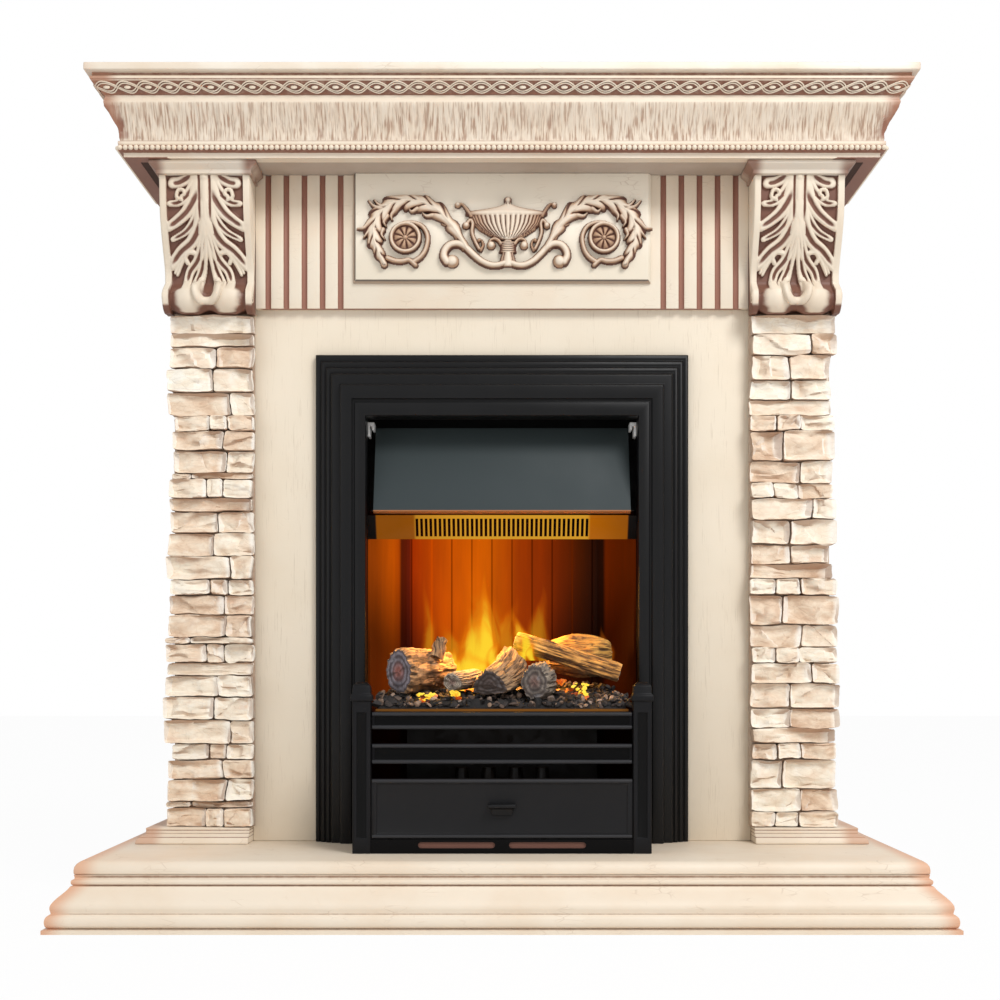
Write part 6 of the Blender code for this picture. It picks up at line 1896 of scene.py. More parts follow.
    def build(self) -> None:
        """Builds the frieze."""
        self.boards()
        self.relief()


# Mantel


@dataclass
class Mantel:
    """The mitred cornice with its pearls, ribbed cove and guilloche, the soffit and the shelf."""

    run: Mitre = Mitre(0.505, -0.034, SOFFIT_Z)
    rail: float = 0.026
    profile: tuple[Flat, ...] = (
        (-0.0080, 0.0), (-0.0080, 0.0062), (-0.0040, 0.0070), (-0.0022, 0.0082), (-0.0020, 0.0150),
        (-0.0030, 0.0156),
        (-0.0020, 0.0162), (-0.0020, 0.0200), (-0.0040, 0.0208), (-0.0040, 0.0260), (-0.0030, 0.0320),
        (-0.0006, 0.0390), (0.0034, 0.0470), (0.0080, 0.0550), (0.0128, 0.0640), (0.0130, 0.0680), (0.0120, 0.0700),
        (0.0120, 0.0752), (0.0140, 0.0762), (0.0163, 0.0795), (0.0206, 0.0840), (0.0250, 0.0880), (0.0262, 0.0893),
        (0.0276, 0.0920), (0.0270, 0.0945), (0.0250, 0.0955), (0.0250, 0.0997),
    )
    cove: Flat = (0.0212, 0.0655)
    lines: tuple[Flat, ...] = (
        (0.0205, 0.0011), (0.0070, 0.0012), (0.0975, 0.0030), (0.0757, 0.0016), (0.0905, 0.0012),
    )
    pitch: float = 0.0022
    ribs: float = 0.0016
    pearl_pitch: float = 0.0071
    pearl: float = 0.0034
    pearl_z: float = 0.0115
    loop: float = 0.0262
    ribbon: tuple[Flat, Flat] = ((0.0150, 0.0772), (0.0252, 0.0878))

    def ribbed(self, run: np.ndarray, out: np.ndarray, up: np.ndarray) -> tuple[np.ndarray, Marks]:
        """The cove's combed ribs: an extra distance out, and how hollow it is.

        Args:
            run: Where along the run.
            out: The profile's distance out.
            up: The profile's height.

        Returns:
            The extra distance and the marks.
        """
        here = self.run.place(run, out, up)
        length = np.where((run >= 1.0) & (run <= 2.0), here[:, 0], here[:, 1] + np.where(run < 1.0, 3.0, 7.0))
        inside = unit((up - self.cove[0]) / 0.004) * unit((self.cove[1] - up) / 0.004)
        flow = np.stack([length / 0.0042, up / 0.021 + 5.0, np.zeros(len(up))], axis=1)
        comb = lattice(flow, 3) * 0.6 + lattice(flow * (2.3, 2.0, 1.0), 8) * 0.4
        low_down = np.clip((0.060 - up) / 0.035, 0.25, 1.0)
        corner = unit(1.0 - np.minimum(np.abs(run - 1.0), np.abs(run - 2.0)) / 0.02)
        hollow = unit(-comb * 2.2 - 0.25) * inside * (0.15 + 0.35 * low_down)
        lines = sum(near(up, at, reach) for at, reach in self.lines)
        band = ((up > 0.0765) & (up < 0.0888)) * 0.80 + ((up > 0.0078) & (up < 0.0154)) * 0.95
        band = np.maximum(band, (up < 0.0010) * (np.abs(here[:, 0]) > 0.44) * 1.0)
        hollow = np.maximum(hollow, np.maximum(lines, band)) + corner * inside * 0.8
        return comb * self.ribs * inside, {"hollow": unit(hollow)}

    def cornice(self) -> None:
        """The cornice's body with its ribbed cove."""
        dense = smooth_path(self.profile, 3 * len(self.profile))
        closed = np.vstack([dense, [(-self.rail, self.profile[-1][1]), (-self.rail, 0.0)]])
        work = bmesh.new()
        self.run.moulding(work, closed, self.run.paces(self.pitch), self.ribbed)
        publish(work, "cornice_moulding", CORNICE_CAST, ["cornice"], smooth=50.0)

    def pearls(self) -> None:
        """The row of pearls under the cove."""
        work = bmesh.new()
        paces = self.run.paces(self.pearl_pitch)
        run = np.concatenate([leg + (np.arange(count) + 0.5) / count for leg, count in self.legs(paces)])
        out = np.full(len(run), -0.0012)
        for spot in self.run.place(run, out, np.full(len(run), self.pearl_z)):
            bead(work, tuple(spot), (self.pearl, self.pearl, self.pearl))
        publish(work, "cornice_pearls", PEARL_CAST, smooth=60.0)

    @staticmethod
    def legs(paces: np.ndarray) -> tuple[tuple[int, int], ...]:
        """Each leg of the run with how many paces it has."""
        return tuple((leg, int(np.sum((paces > leg) & (paces <= leg + 1)))) for leg in range(3))

    def guilloche(self) -> None:
        """Two double ribbons that cross over and under, with an oval eye in each loop."""
        work = bmesh.new()
        low, high = np.array(self.ribbon[0]), np.array(self.ribbon[1])
        slope = high - low
        out_of_band = np.array((slope[1], -slope[0])) / np.linalg.norm(slope)
        steps = 14
        for leg, count in self.legs(self.run.paces(self.loop)):
            share = np.linspace(0.0, 1.0, count * steps + 1)
            phase = share * count * 2.0 * np.pi
            lift = (0.0, -1.0, 0.35) if leg == 1 else ((-1.0 if leg == 0 else 1.0), 0.0, 0.35)
            for strand in (1.0, -1.0):
                wave = 0.5 + 0.44 * strand * np.sin(phase / 2.0)
                over = 0.0006 + 0.0005 * strand * np.cos(phase / 2.0)
                for shift in (-0.085, 0.085):
                    at = low + (wave + shift)[:, None] * slope + over[:, None] * out_of_band
                    path = self.run.place(leg + share, at[:, 0], at[:, 1])
                    tube(work, path, 0.00088, lift, 5)
            eyes = leg + (np.arange(count) + 0.5) / count
            middle = (low + high) / 2.0 + out_of_band * 0.0004
            size = (0.0046, 0.0016, 0.0026) if leg == 1 else (0.0016, 0.0046, 0.0026)
            for spot in self.run.place(eyes, np.full(count, middle[0]), np.full(count, middle[1])):
                bead(work, tuple(spot), size)
        for vert in work.verts:
            vert.co.y = min(vert.co.y, WALL_Y)
        publish(work, "cornice_guilloche", GUILLOCHE_CAST, smooth=60.0)

    def build(self) -> None:
        """Builds the mantel."""
        self.cornice()
        self.pearls()
        self.guilloche()
        shelf = from_node("mantel_shelf", 0.0018, 3)
        publish(shelf, "mantel_board", SHELF_CAST, ["mantel_shelf"])
        # The soffit board in its darker cream: painted shade under the shelf.
        dress(["soffit_board"], SHADED_SOFFIT_CAST)


# Surround panel


@dataclass
class Surround:
    """The grained cream panel round the fire."""

    def build(self) -> None:
        """Builds the panel from the CAD's, its edges eased."""
        panel = from_node("surround_panel", 0.0008)
        publish(panel, "grained_surround", PANEL_CAST, ["surround_panel"])


# The inset fire


@dataclass
class Chamber:
    """The trim frame, the canopy on its clips, the outlet grille and the mirrors round the flames."""

    half: float = 0.1378
    front_y: float = 0.1762
    back_y: float = 0.1812
    foot: float = 0.2685
    top: float = 0.5350
    pleat: float = 0.0290
    fold: float = 0.0018
    crease: float = 0.0009

    def reflector(self) -> None:
        """The mirror behind the flames, folded into upright pleats."""
        columns, rows = 380, 20
        x_line = np.linspace(-self.half, self.half, columns + 1)
        from_joint = np.abs((x_line / self.pleat) % 1.0 - 0.5) * self.pleat
        groove = np.exp(-((from_joint / self.crease) ** 2))
        front = np.stack([x_line, self.front_y + self.fold * groove], axis=1)
        section = np.vstack([front, [(self.half, self.back_y), (-self.half, self.back_y)]])
        # One pleat on each side carries a painted highlight in place of a dark crease.
        bright = np.abs(np.abs(x_line) - 3.5 * self.pleat) < self.pleat / 4.0
        hollow = np.concatenate([np.where(bright, -1.2 * groove, groove), (0.0, 0.0)])

        def place(turn: np.ndarray, station: np.ndarray) -> Placed:
            z = self.foot + (self.top - self.foot) * station / rows
            return np.stack([section[turn, 0], section[turn, 1], z], axis=1), {"hollow": hollow[turn]}

        work = bmesh.new()
        shaped_grid(work, len(section), rows, place, wrap=True, capped=True)
        publish(work, "pleated_reflector", REFLECTOR, ["mirror_back"], smooth=30.0)

    def clip(self, side: Side) -> None:
        """A white clip: a block with a long outer leg and a short inner one."""
        low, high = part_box("hood_clip_" + side.word)
        width, tall = high[0] - low[0], high[2] - low[2]
        work = bmesh.new()
        for start, end, foot in ((0.0, 1.0, 0.74), (0.0, 0.34, 0.0), (0.66, 1.0, 0.46)):
            ends = (start, end) if side is Side.LEFT else (1.0 - end, 1.0 - start)
            block(
                work, (low[0] + ends[0] * width, low[1], low[2] + foot * tall),
                (low[0] + ends[1] * width, high[1], high[2] - (0.0 if foot == 0.74 else 0.2 * tall)),
            )
        soften(work, 0.0004)
        publish(work, "canopy_clip_" + side.word, WHITE_PLASTIC, ["hood_clip_" + side.word])

    def build(self) -> None:
        """Builds the chamber's parts."""
        publish(from_node("trim_frame", 0.0007, 2), "reeded_trim", FRAME_BLACK, ["trim_frame"])
        publish(from_node("hood", 0.0009, 3), "sloping_canopy", CANOPY, ["hood"], Body.HOOD)
        publish(
            from_node("heater_grille", 0.0003, 1), "outlet_grille", GRILLE_COPPER, ["heater_grille"],
        )
        for side in Side:
            self.clip(side)
        self.reflector()
        dress(("mirror_left", "mirror_right"), REFLECTOR)


@dataclass(frozen=True)
class Tongue:
    """One flame: its root, its tip, its half width at the root and how much it sways."""

    root: Spot
    tip: Spot
    half: float
    sway: float


@dataclass
class Flames:
    """The flame effect: thin curved veils of lit mist among the logs, which move with the bed."""

    cores: tuple[Tongue, ...] = (
        Tongue((-0.0400, 0.060, 0.312), (-0.0270, 0.064, 0.412), 0.0400, 0.0050),
        Tongue((-0.0320, 0.063, 0.312), (-0.0180, 0.067, 0.458), 0.0180, 0.0050),
        Tongue((-0.0450, 0.048, 0.310), (-0.0420, 0.050, 0.348), 0.0460, 0.0030),
        Tongue((-0.0620, 0.050, 0.314), (-0.0700, 0.052, 0.350), 0.0170, -0.0030),
        Tongue((0.0260, 0.056, 0.330), (0.0180, 0.060, 0.408), 0.0170, 0.0050),
        Tongue((-0.0100, 0.050, 0.318), (-0.0080, 0.054, 0.366), 0.0150, -0.0040),
        Tongue((0.0300, -0.0100, 0.336), (0.0230, -0.0080, 0.386), 0.0160, 0.0040),
        Tongue((0.0400, -0.0125, 0.330), (0.0380, -0.0110, 0.358), 0.0100, -0.0030),
        Tongue((0.0860, 0.050, 0.330), (0.0840, 0.052, 0.356), 0.0150, 0.0030),
    )
    wisps: tuple[Tongue, ...] = (
        Tongue((-0.0350, 0.084, 0.320), (-0.0280, 0.088, 0.474), 0.0480, 0.0100),
        Tongue((-0.1060, 0.080, 0.330), (-0.1020, 0.082, 0.450), 0.0140, 0.0060),
        Tongue((0.0180, 0.086, 0.330), (0.0100, 0.088, 0.430), 0.0240, -0.0120),
        Tongue((-0.0800, 0.078, 0.318), (-0.0760, 0.080, 0.400), 0.0240, 0.0080),
        Tongue((0.0600, 0.080, 0.330), (0.0480, 0.082, 0.436), 0.0230, -0.0090),
        Tongue((0.1380, 0.060, 0.320), (0.1420, 0.062, 0.380), 0.0130, 0.0060),
    )

    @staticmethod
    def veil(work: bmesh.types.BMesh, tongue: Tongue) -> None:
        """One flame's veil: two faces of a thin lens, wide at the root and pointed at the tip."""
        columns, rows = 12, 26
        root, tip = np.array(tongue.root), np.array(tongue.tip)

        def place(turn: np.ndarray, station: np.ndarray) -> Placed:
            across = turn / columns * 2.0 - 1.0
            rise = station / rows
            belly = 0.75 + 0.9 * np.sin(np.pi * unit(rise * 1.15)) * 0.5
            width = tongue.half * (1.0 - rise) ** 0.7 * belly
            middle = root + rise[:, None] * (tip - root)
            x = middle[:, 0] + across * width + tongue.sway * np.sin(rise * 5.0)
            y = middle[:, 1] - 0.004 * (1.0 - across ** 2) * (1.0 - rise)
            return np.stack([x, y, middle[:, 2]], axis=1), {"rise": rise, "away": np.abs(across)}

        shaped_grid(work, columns, rows, place)

    def build(self) -> None:
        """Builds the flames."""
        for name, tongues, finish in (
            ("flame_cores", self.cores, FLAME_CORE), ("flame_wisps", self.wisps, FLAME_WISP),
        ):
            work = bmesh.new()
            for tongue in tongues:
                self.veil(work, tongue)
            publish(work, name, finish, body=Body.FUEL_BED, outward=False)


@dataclass(frozen=True)
class Log:
    """One moulded log: ends and half sizes, with its bark, its broken ends and its finish."""

    node: str
    start: Spot
    end: Spot
    half_width: float
    half_height: float
    finish: Finish
    seed: int
    ridges: float = 0.10
    knots: float = 0.10
    flat_foot: float = 0.0
    split: bool = False
    bend: float = 0.004
    swell: float = 0.0
    rise: float = 0.0
    dome: float = 0.0
    char_start: float = 0.0
    char_end: float = 0.0

    def shape(self, work: bmesh.types.BMesh) -> None:
        """Sweeps the log with its bark and sets back ringed ends.

        Args:
            work: The mesh that it is added to.
        """
        around, length = 72, 54
        start, end = np.array(self.start), np.array(self.end)
        run = (end - start) / np.linalg.norm(end - start)
        broad = np.cross(run, (0.0, 0.0, 1.0))
        broad /= np.linalg.norm(broad)
        up = np.cross(broad, run)
        insets = np.array((0.0, 0.30, 0.60, 0.86, 0.97))
        shares = np.concatenate([np.zeros(5), np.linspace(0.0, 1.0, length - 9), np.ones(5)])
        sizes = np.concatenate([np.maximum(insets, 0.02), np.ones(length - 9), np.maximum(insets[::-1], 0.02)])
        count = len(shares)
        total = np.linalg.norm(end - start)

        def place(turn: np.ndarray, station: np.ndarray) -> Placed:
            angle = turn / around * 2.0 * np.pi
            share, size = shares[station], sizes[station]
            radial = np.stack([np.cos(angle), np.sin(angle)], axis=1)
            if self.split:
                wedge = np.maximum(np.abs(radial[:, 0]) * 1.06 + radial[:, 1] * 0.62, -radial[:, 1] * 1.35)
                radial = radial * (0.55 + 0.45 / np.maximum(wedge, 0.80))[:, None]
            flow = np.stack([radial[:, 0] * 2.2, radial[:, 1] * 2.2, share * total / 0.030], axis=1)
            bark = rough(flow * (3.4, 3.4, 0.7), 1.0, self.seed, 4) * self.ridges
            lump = rough(flow * 0.55, 1.0, self.seed + 30, 2) * self.knots
            grooves = -unit(0.16 - np.abs(lattice(flow * (5.5, 5.5, 0.8), self.seed + 60))) * 0.55
            reach = 1.0 + (bark + grooves) * unit((size - 0.6) / 0.4) + lump
            ends = unit((size - 0.90) / 0.1)
            taper = 1.0 - 0.07 * unit(1.0 - np.minimum(share, 1.0 - share) / 0.04)
            taper *= (1.0 + self.swell * share) * (1.0 - self.dome * (2.0 * share - 1.0) ** 2)
            wide = radial[:, 0] * reach * size * taper * self.half_width
            tall = radial[:, 1] * reach * size * taper * self.half_height * (1.0 + self.rise * share ** 1.3)
            tall = np.maximum(tall, -self.half_height * (1.0 - self.flat_foot))
            dent = lattice(
                np.stack([wide, tall, share * 9.0], axis=1) / (0.004, 0.004, 1.0), self.seed + 5,
            ) * 0.0011
            is_end = 1.0 - ends
            ring_cut = np.sin(size * 30.0) * 0.0005 * is_end
            push = np.where(share < 0.5, -1.0, 1.0) * (ring_cut + dent * is_end)
            middle = start + share[:, None] * (end - start) + self.bend * np.sin(share * np.pi)[:, None] * broad
            spots = middle + wide[:, None] * broad + tall[:, None] * up + push[:, None] * run
            char = np.maximum(self.char_start * unit(1.0 - share * 3.0), self.char_end * unit(share * 3.0 - 2.0))
            char = np.maximum(char, unit(-radial[:, 1] - 0.35) * 0.9)
            return spots, {
                "along": share * total, "around": np.abs(angle - np.pi) * self.half_width, "ring": size,
                "end": (size < 0.985) * 1.0, "char": char, "hollow": unit(-grooves * 9.0) * ends,
            }

        shaped_grid(work, around, count - 1, place, wrap=True, capped=True)


@dataclass
class FuelBed:
    """The lift-out bed: banked broken coals with embers, and six resin logs on them."""

    panel_y: float = 0.055
    bed_z: float = 0.2678
    front_y: float = -0.0780
    back_y: float = 0.1710
    front_half: float = 0.1600
    back_half: float = 0.1330
    deep: float = 0.018
    chips: int = 860
    hot_spots: tuple[tuple[float, float, float, float], ...] = (
        (-0.0966, -0.058, 0.013, 0.60), (-0.0600, -0.058, 0.010, 0.60), (0.1000, -0.045, 0.015, 0.60),
        (-0.0260, 0.040, 0.055, 0.95), (0.0600, 0.030, 0.045, 0.85),
    )
    embers: tuple[tuple[float, float, float, float, float, float], ...] = (
        (-0.0966, -0.0640, 0.2830, 0.0120, 0.0050, 1.05), (-0.0600, -0.0640, 0.2865, 0.0050, 0.0035, 0.95),
        (0.1020, -0.0500, 0.2925, 0.0090, 0.0080, 1.05), (0.0768, -0.0430, 0.3015, 0.0040, 0.0030, 0.60),
    )

    def half_at(self, y: float) -> float:
        """The bed's half width at a depth."""
        narrow = min(1.0, max(0.0, (y - 0.05) / 0.13))
        return self.front_half + narrow * (self.back_half - self.front_half)

    def surface(self, x: np.ndarray, y: np.ndarray) -> np.ndarray:
        """The height of the coal bed's lumpy top over its plate."""
        spots = np.stack([x, y, np.zeros(len(x))], axis=1)
        rise = unit((y - self.front_y) / 0.010)
        bank = 0.006 + 0.012 * unit((y - self.front_y) / 0.045)
        bank += 0.010 * unit((y - 0.02) / 0.10)
        return rise * (bank + 0.0030 * rough(spots, 0.016, 4, 3))

    def heat(self, x: float, y: float) -> float:
        """How hot the bed is at a place, from 0 to 1."""
        return max(
            power * min(1.0, max(0.0, 2.4 - 2.4 * math.hypot(x - at_x, y - at_y) / reach))
            for at_x, at_y, reach, power in self.hot_spots
        )

    def chip(
        self, work: bmesh.types.BMesh, dice: random.Random, middle: np.ndarray, size: float, tone: float,
        heat: float,
    ) -> None:
        """One broken chip of coal.

        Args:
            work: The mesh that it is added to.
            dice: Picks its shape.
            middle: Where it lies.
            size: Half its length.
            tone: How pale it is.
            heat: How hot it is.
        """
        made = bmesh.ops.create_icosphere(work, subdivisions=2, radius=1.0)["verts"]
        spots = np.array([vert.co for vert in made])
        stretch = np.array([dice.uniform(0.8, 1.4), dice.uniform(0.6, 1.1), dice.uniform(0.35, 0.9)])
        turn = np.array(
            Euler([dice.uniform(-0.7, 0.7), dice.uniform(-0.7, 0.7), dice.uniform(0.0, 6.3)]).to_matrix()
        )
        for _ in range(9):
            plane = np.array([dice.gauss(0, 1) for _ in range(3)])
            plane /= np.linalg.norm(plane)
            over = unit(spots @ plane - dice.uniform(0.30, 0.72))
            spots -= over[:, None] * plane
        for vert, spot in zip(made, (spots * stretch * size) @ turn.T + middle):
            vert.co = spot
            vert.co.y = max(vert.co.y, self.front_y)
            vert.co.z = max(vert.co.z, self.bed_z + 0.0002)
        mark(work, made, {"tone": np.full(len(made), tone), "ember": np.full(len(made), heat)})

    def coals(self) -> None:
        """The bed's lumpy base, its broken chips and its embers."""
        columns, rows = 110, 84
        work = bmesh.new()

        def place(column: np.ndarray, row: np.ndarray) -> Placed:
            y = self.front_y + (self.back_y - self.front_y) * row / rows
            half = np.array([self.half_at(value) for value in y])
            x = (column / columns * 2.0 - 1.0) * half
            z = self.bed_z + self.surface(x, y)
            edge = (column == 0) | (column == columns) | (row == 0) | (row == rows)
            heat = np.array([self.heat(*pair) for pair in zip(x, y)])
            return np.stack(
                [x, y, np.where(edge, self.bed_z, z)], axis=1,
            ), {"tone": np.zeros(len(x)), "ember": heat * 0.6}

        shaped_grid(work, columns, rows, place)
        rims = [edge for edge in work.edges if edge.is_boundary]
        bmesh.ops.holes_fill(work, edges=rims, sides=0)
        dice = random.Random(11)
        for _ in range(self.chips):
            y = self.front_y + 0.004 + (self.back_y - self.front_y - 0.012) * dice.random() ** 1.9
            x = dice.uniform(-1.0, 1.0) * (self.half_at(y) - 0.008 + 0.012 * max(0.0, min(1.0, -y / 0.05)))
            front = max(0.0, 1.0 - (y - self.front_y) / 0.05)
            size = dice.uniform(0.0026, 0.0070) * (1.0 + 0.25 * front)
            top = float(self.surface(np.array([x]), np.array([y]))[0])
            middle = np.array((x, y, self.bed_z + max(top, 0.003) + size * 0.25))
            self.chip(work, dice, middle, size, dice.random() ** 1.9, self.heat(x, y) * dice.uniform(0.60, 1.15))
        for x, y, z, wide, tall, power in self.embers:
            for _ in range(16):
                middle = np.array(
                    (x + dice.uniform(-wide, wide), y + dice.uniform(-0.004, 0.004), z + dice.uniform(-tall, tall))
                )
                self.chip(work, dice, middle, dice.uniform(0.0030, 0.0048), 0.2, power * dice.uniform(0.85, 1.15))
        publish(work, "banked_coals", COAL, ["coal_bed"], Body.FUEL_BED, smooth=24.0)

    def logs(self) -> tuple[Log, ...]:
        """The six logs, each with its own wood."""
        base = np.array((0.0, self.panel_y, self.bed_z))

        def at(x: float, y: float, z: float) -> Spot:
            return tuple(base + (x, y, z))

        return (
            Log(
                "log_left", at(-0.134, -0.115, 0.047), at(-0.080, -0.021, 0.049), 0.0210, 0.0278, WOOD_TAN,
                1, 0.10, 0.09, char_end=0.5,
            ),
            Log(
                "log_small", at(-0.064, -0.125, 0.034), at(-0.036, -0.051, 0.040), 0.0142, 0.0118,
                WOOD_PALE, 2, 0.10, 0.12, char_end=1.0,
            ),
            Log(
                "log_split", at(-0.016, -0.127, 0.031), at(0.012, -0.061, 0.050), 0.0250, 0.0165,
                WOOD_SPLIT, 3, 0.07, 0.10,
                split=True, rise=0.75, char_start=0.35,
            ),
            Log(
                "log_front", at(0.0415, -0.131, 0.034), at(0.053, -0.079, 0.038), 0.0190, 0.0225, WOOD_GREY,
                4, 0.09, 0.08, char_end=0.8,
            ),
            Log(
                "log_long", at(0.018, -0.051, 0.0890), at(0.156, -0.063, 0.045), 0.0118, 0.0120, WOOD_LONG,
                5, 0.10, 0.10, bend=-0.003, swell=0.15,
            ),
            Log(
                "log_back", at(0.062, -0.006, 0.066), at(0.148, 0.005, 0.070), 0.0240, 0.0285, WOOD_OCHRE,
                6, 0.07, 0.12, bend=0.002, dome=0.35,
            ),
        )

    def stub(self, work: bmesh.types.BMesh) -> None:
        """The broken branch that stands up from the left log."""
        start = np.array((-0.088, self.panel_y - 0.072, self.bed_z + 0.066))
        share = np.linspace(0.0, 1.0, 14)
        path = start + share[:, None] * (0.010, 0.004, 0.026)
        made = tube(work, path, 0.0105 * (1.0 - 0.35 * share), sides=18)
        spots = np.array([vert.co for vert in made])
        shaken = spots + 0.0022 * np.stack([rough(spots + axis, 0.009, 40 + axis, 3) for axis in range(3)], axis=1)
        for vert, spot in zip(made, shaken):
            vert.co = spot
        mark(work, made, {"along": spots[:, 2] - start[2], "around": spots[:, 0] - start[0], "ring": 1.0})

    def build(self) -> None:
        """Builds the coals and the logs."""
        self.coals()
        for log_piece in self.logs():
            work = bmesh.new()
            log_piece.shape(work)
            if log_piece.node == "log_left":
                self.stub(work)
            publish(
                work, "resin_" + log_piece.node, log_piece.finish, [log_piece.node], Body.FUEL_BED,
                smooth=50.0,
            )
        dress(["fuel_tray"], COPPER)


@dataclass
class Fret:
    """The capped posts, the two bars and the ash pan's front with its handle."""

    lip: float = 0.0026
    inset: float = 0.0029
    air_half: float = 0.1085
    air_z: Flat = (0.0872, 0.0995)
    plate: float = 0.0022

    def lips(self, name: str, nodes: tuple[str, ...], body: Body) -> None:
        """The rounded lips along the top and the foot of sunk faces, in a lighter black as painted highlight.

        Args:
            name: The piece's name.
            nodes: The CAD nodes that they run on.
            body: The body that they ride on.
        """
        work = bmesh.new()
        for node in nodes:
            low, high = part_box(node)
            for z in (low[2] + self.inset, high[2] - self.inset):
                path = np.linspace(
                    (low[0] + 0.0015, low[1] + 0.0008, z), (high[0] - 0.0015, low[1] + 0.0008, z), 40,
                )
                tube(work, path, self.lip, (0.0, 0.0, 1.0), 12)
        publish(work, name, HIGHLIT_LIP_BLACK, body=body)

    @staticmethod
    def sunk(work: bmesh.types.BMesh, proud: float, depth: float) -> None:
        """Marks a sunk face's floor as hollow, where the enamel paints shade.

        Args:
            work: The mesh with the sunk face.
            proud: How far anything stands out before the face that it is sunk in.
            depth: How deep the floor is at least.
        """
        floor = min(vert.co.y for vert in work.verts) + proud + depth
        mark(
            work, work.verts[:],
            {"hollow": np.array([1.0 if floor < vert.co.y < floor + 0.004 else 0.0 for vert in work.verts])},
        )

    def gauze(self) -> None:
        """The copper coloured filter gauze behind the two air slots."""
        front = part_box("basket_tray")[0][1] + self.plate
        work = bmesh.new()
        block(work, (-self.air_half, front, self.air_z[0]), (self.air_half, front + 0.0006, self.air_z[1]))
        publish(work, "air_gauze", GAUZE)

    def build(self) -> None:
        """Builds the fret and the ash pan's front."""
        for side in Side:
            post = from_node("fret_post_" + side.word, 0.0008)
            self.sunk(post, 0.0025, 0.0012)
            publish(post, "capped_post_" + side.word, POST_BLACK, ["fret_post_" + side.word])
        for place in ("upper", "lower"):
            bar = from_node("fret_bar_" + place, 0.0007)
            self.sunk(bar, 0.0, 0.0012)
            publish(bar, "sunk_bar_" + place, FRET_BLACK, ["fret_bar_" + place])
        self.lips("bar_lips", ("fret_bar_upper", "fret_bar_lower"), Body.CHASSIS)
        self.lips("ash_pan_lips", ("drawer_front",), Body.DRAWER)
        self.gauze()
        publish(
            from_node("drawer_front", 0.0007), "ash_pan_front", BLACK, ["drawer_front"], Body.DRAWER,
        )
        publish(
            from_node("drawer_handle", 0.0008, 3), "ash_pan_handle", BLACK, ["drawer_handle"], Body.DRAWER,
        )
        dress(["basket_tray"], SHADED_TRAY_BLACK)


@dataclass
class Workings:
    """Everything behind the ash pan and over the fire chamber, in its own materials."""

    def build(self) -> None:
        """Dresses the CAD's inner parts."""
        dress(("fan_channel", "fan_wheel"), ZINC)
        dress(["casing"], CASING_ZINC)
        # The chamber's top and the lamp bar in the darkened zinc: painted shade.
        dress(("chamber_top", "lamp_bar"), SHADED_ZINC)
        dress(
            (
                "drawer_pan", "fan_motor", "mist_generator", "control_panel", "flame_knob", "rocker_power",
                "rocker_heat_low", "rocker_heat_high", "mains_inlet", "tank_cap",
            ),
            BLACK_PLASTIC,
        )
        dress(["water_tank"], TANK_PLASTIC)
        dress(["heating_element"], CERAMIC)


# Studio


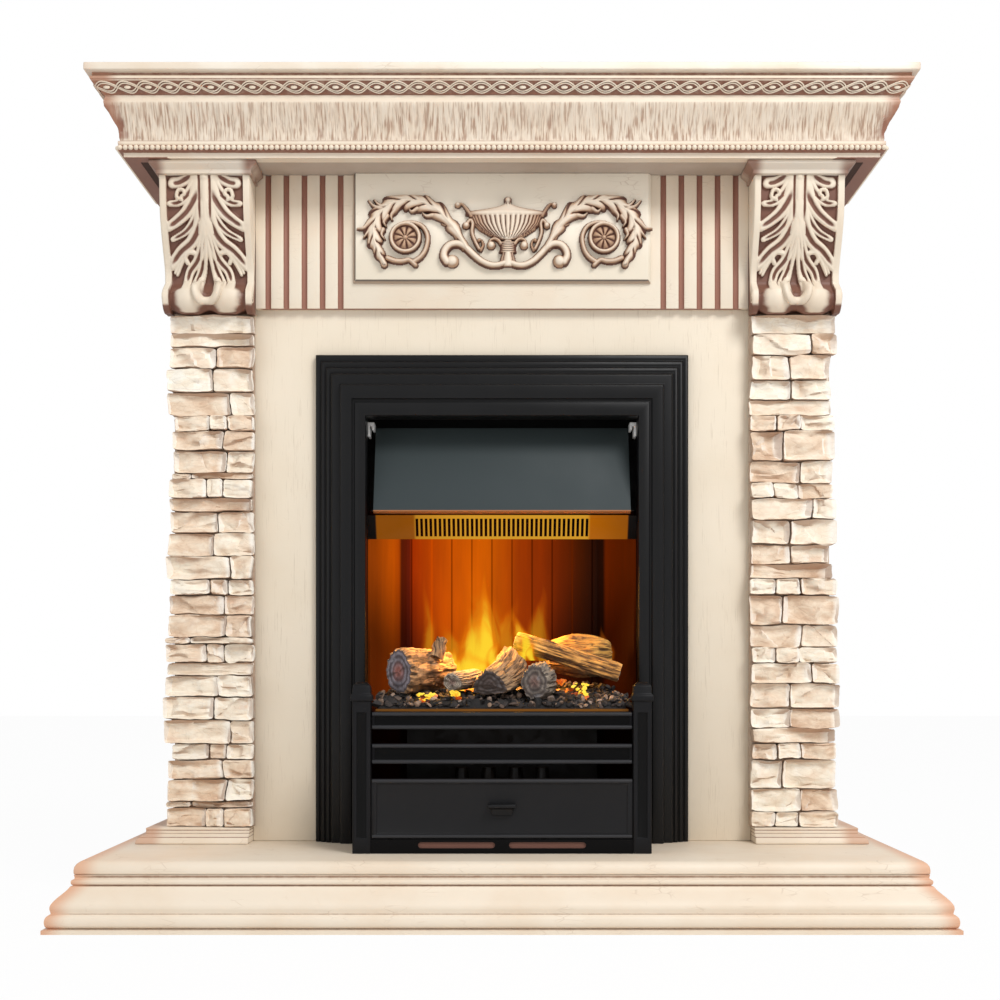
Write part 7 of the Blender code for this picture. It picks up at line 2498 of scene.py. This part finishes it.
@dataclass
class Studio:
    """A pale floor, a white background, soft lights and the camera."""

    size: float = 9.0
    lens: float = 55.34
    place: Spot = (0.0, -2.045, 0.3148)
    shift: Flat = (-0.002, 0.172)
    key: float = 76.0
    fill: float = 11.0
    hearth_glow: float = 2.3
    surround: float = 0.62

    def floor(self) -> None:
        """The floor: it takes the object's shadow, and looks white to the camera."""
        work = bmesh.new()
        bmesh.ops.create_grid(work, x_segments=2, y_segments=2, size=self.size)
        mesh = bpy.data.meshes.new("studio_floor")
        work.to_mesh(mesh)
        work.free()
        graph = Graph("studio_floor")
        graph.dress(Base_Color=(0.84, 0.84, 0.84), Roughness=0.9, Specular_IOR_Level=0.0)
        white = graph.node("Emission", None, {"Color": WHITE, "Strength": 1.0})
        seen = graph.node("LightPath", output="Is Camera Ray") * 0.95
        blend = graph.node("MixShader", None, {0: seen, 2: white})
        graph.tree.links.new(graph.shader.outputs[0], blend.socket.node.inputs[1])
        graph.tree.links.new(blend.socket, graph.tree.nodes["Material Output"].inputs["Surface"])
        mesh.materials.append(graph.material)
        floor = bpy.data.objects.new("studio_floor", mesh)
        bpy.context.scene.collection.objects.link(floor)

    def world(self) -> None:
        """White to the camera, its glossy and clear rays, and softer light on the object."""
        world = bpy.data.worlds.new("studio_world")
        world.use_nodes = True
        tree = world.node_tree
        rays = tree.nodes.new("ShaderNodeLightPath")
        seen = tree.nodes.new("ShaderNodeMath")
        seen.operation = "MAXIMUM"
        tree.links.new(rays.outputs["Is Camera Ray"], seen.inputs[0])
        tree.links.new(rays.outputs["Is Transmission Ray"], seen.inputs[1])
        power = tree.nodes.new("ShaderNodeMapRange")
        tree.links.new(seen.outputs[0], power.inputs["Value"])
        power.inputs["To Min"].default_value = self.surround
        power.inputs["To Max"].default_value = 1.0
        background = tree.nodes["Background"]
        background.inputs["Color"].default_value = (*WHITE, 1.0)
        tree.links.new(power.outputs["Result"], background.inputs["Strength"])
        bpy.context.scene.world = world

    def light(self, name: str, place: Spot, aim: Spot, size: float, power: float, colour: Colour = WHITE) -> None:
        """One soft area light."""
        data = bpy.data.lights.new(name, "AREA")
        data.color = colour
        data.size = size
        data.energy = power
        lamp = bpy.data.objects.new(name, data)
        lamp.location = place
        lamp.rotation_euler = (Vector(aim) - Vector(place)).to_track_quat("-Z", "Y").to_euler()
        bpy.context.scene.collection.objects.link(lamp)

    def build(self) -> None:
        """Sets the floor, the world, the lights and the camera."""
        self.floor()
        self.world()
        self.light("key_light", (1.5, -2.3, 2.9), (0.0, 0.0, 0.6), 1.1, self.key)
        self.light("fill_light", (-2.2, -2.4, 1.3), (0.0, 0.0, 0.5), 2.2, self.fill)
        self.light(
            "fire_glow", (-0.010, 0.060, 0.405), (0.010, -0.045, 0.280), 0.12, self.hearth_glow, (1.0, 0.44, 0.07),
        )
        data = bpy.data.cameras.new("camera")
        data.lens = self.lens
        data.sensor_width = 36.0
        data.shift_x, data.shift_y = self.shift
        camera = bpy.data.objects.new("camera", data)
        camera.location = self.place
        camera.rotation_euler = (math.pi / 2.0, 0.0, 0.0)
        bpy.context.scene.collection.objects.link(camera)
        scene = bpy.context.scene
        scene.camera = camera
        scene.view_settings.view_transform = "Standard"


def main() -> None:
    """Builds the suite from the floor up."""
    parts = (
        Hearth(), StoneLeg(Side.LEFT, LEFT_COURSES), StoneLeg(Side.RIGHT, RIGHT_COURSES), Surround(),
        Frieze(), Corbel(Side.LEFT), Corbel(Side.RIGHT), Mantel(), Chamber(), Flames(), FuelBed(), Fret(),
        Workings(), Studio(),
    )
    for part in parts:
        log.info("building %s", type(part).__name__)
        part.build()


if __name__ == "__main__":
    main()
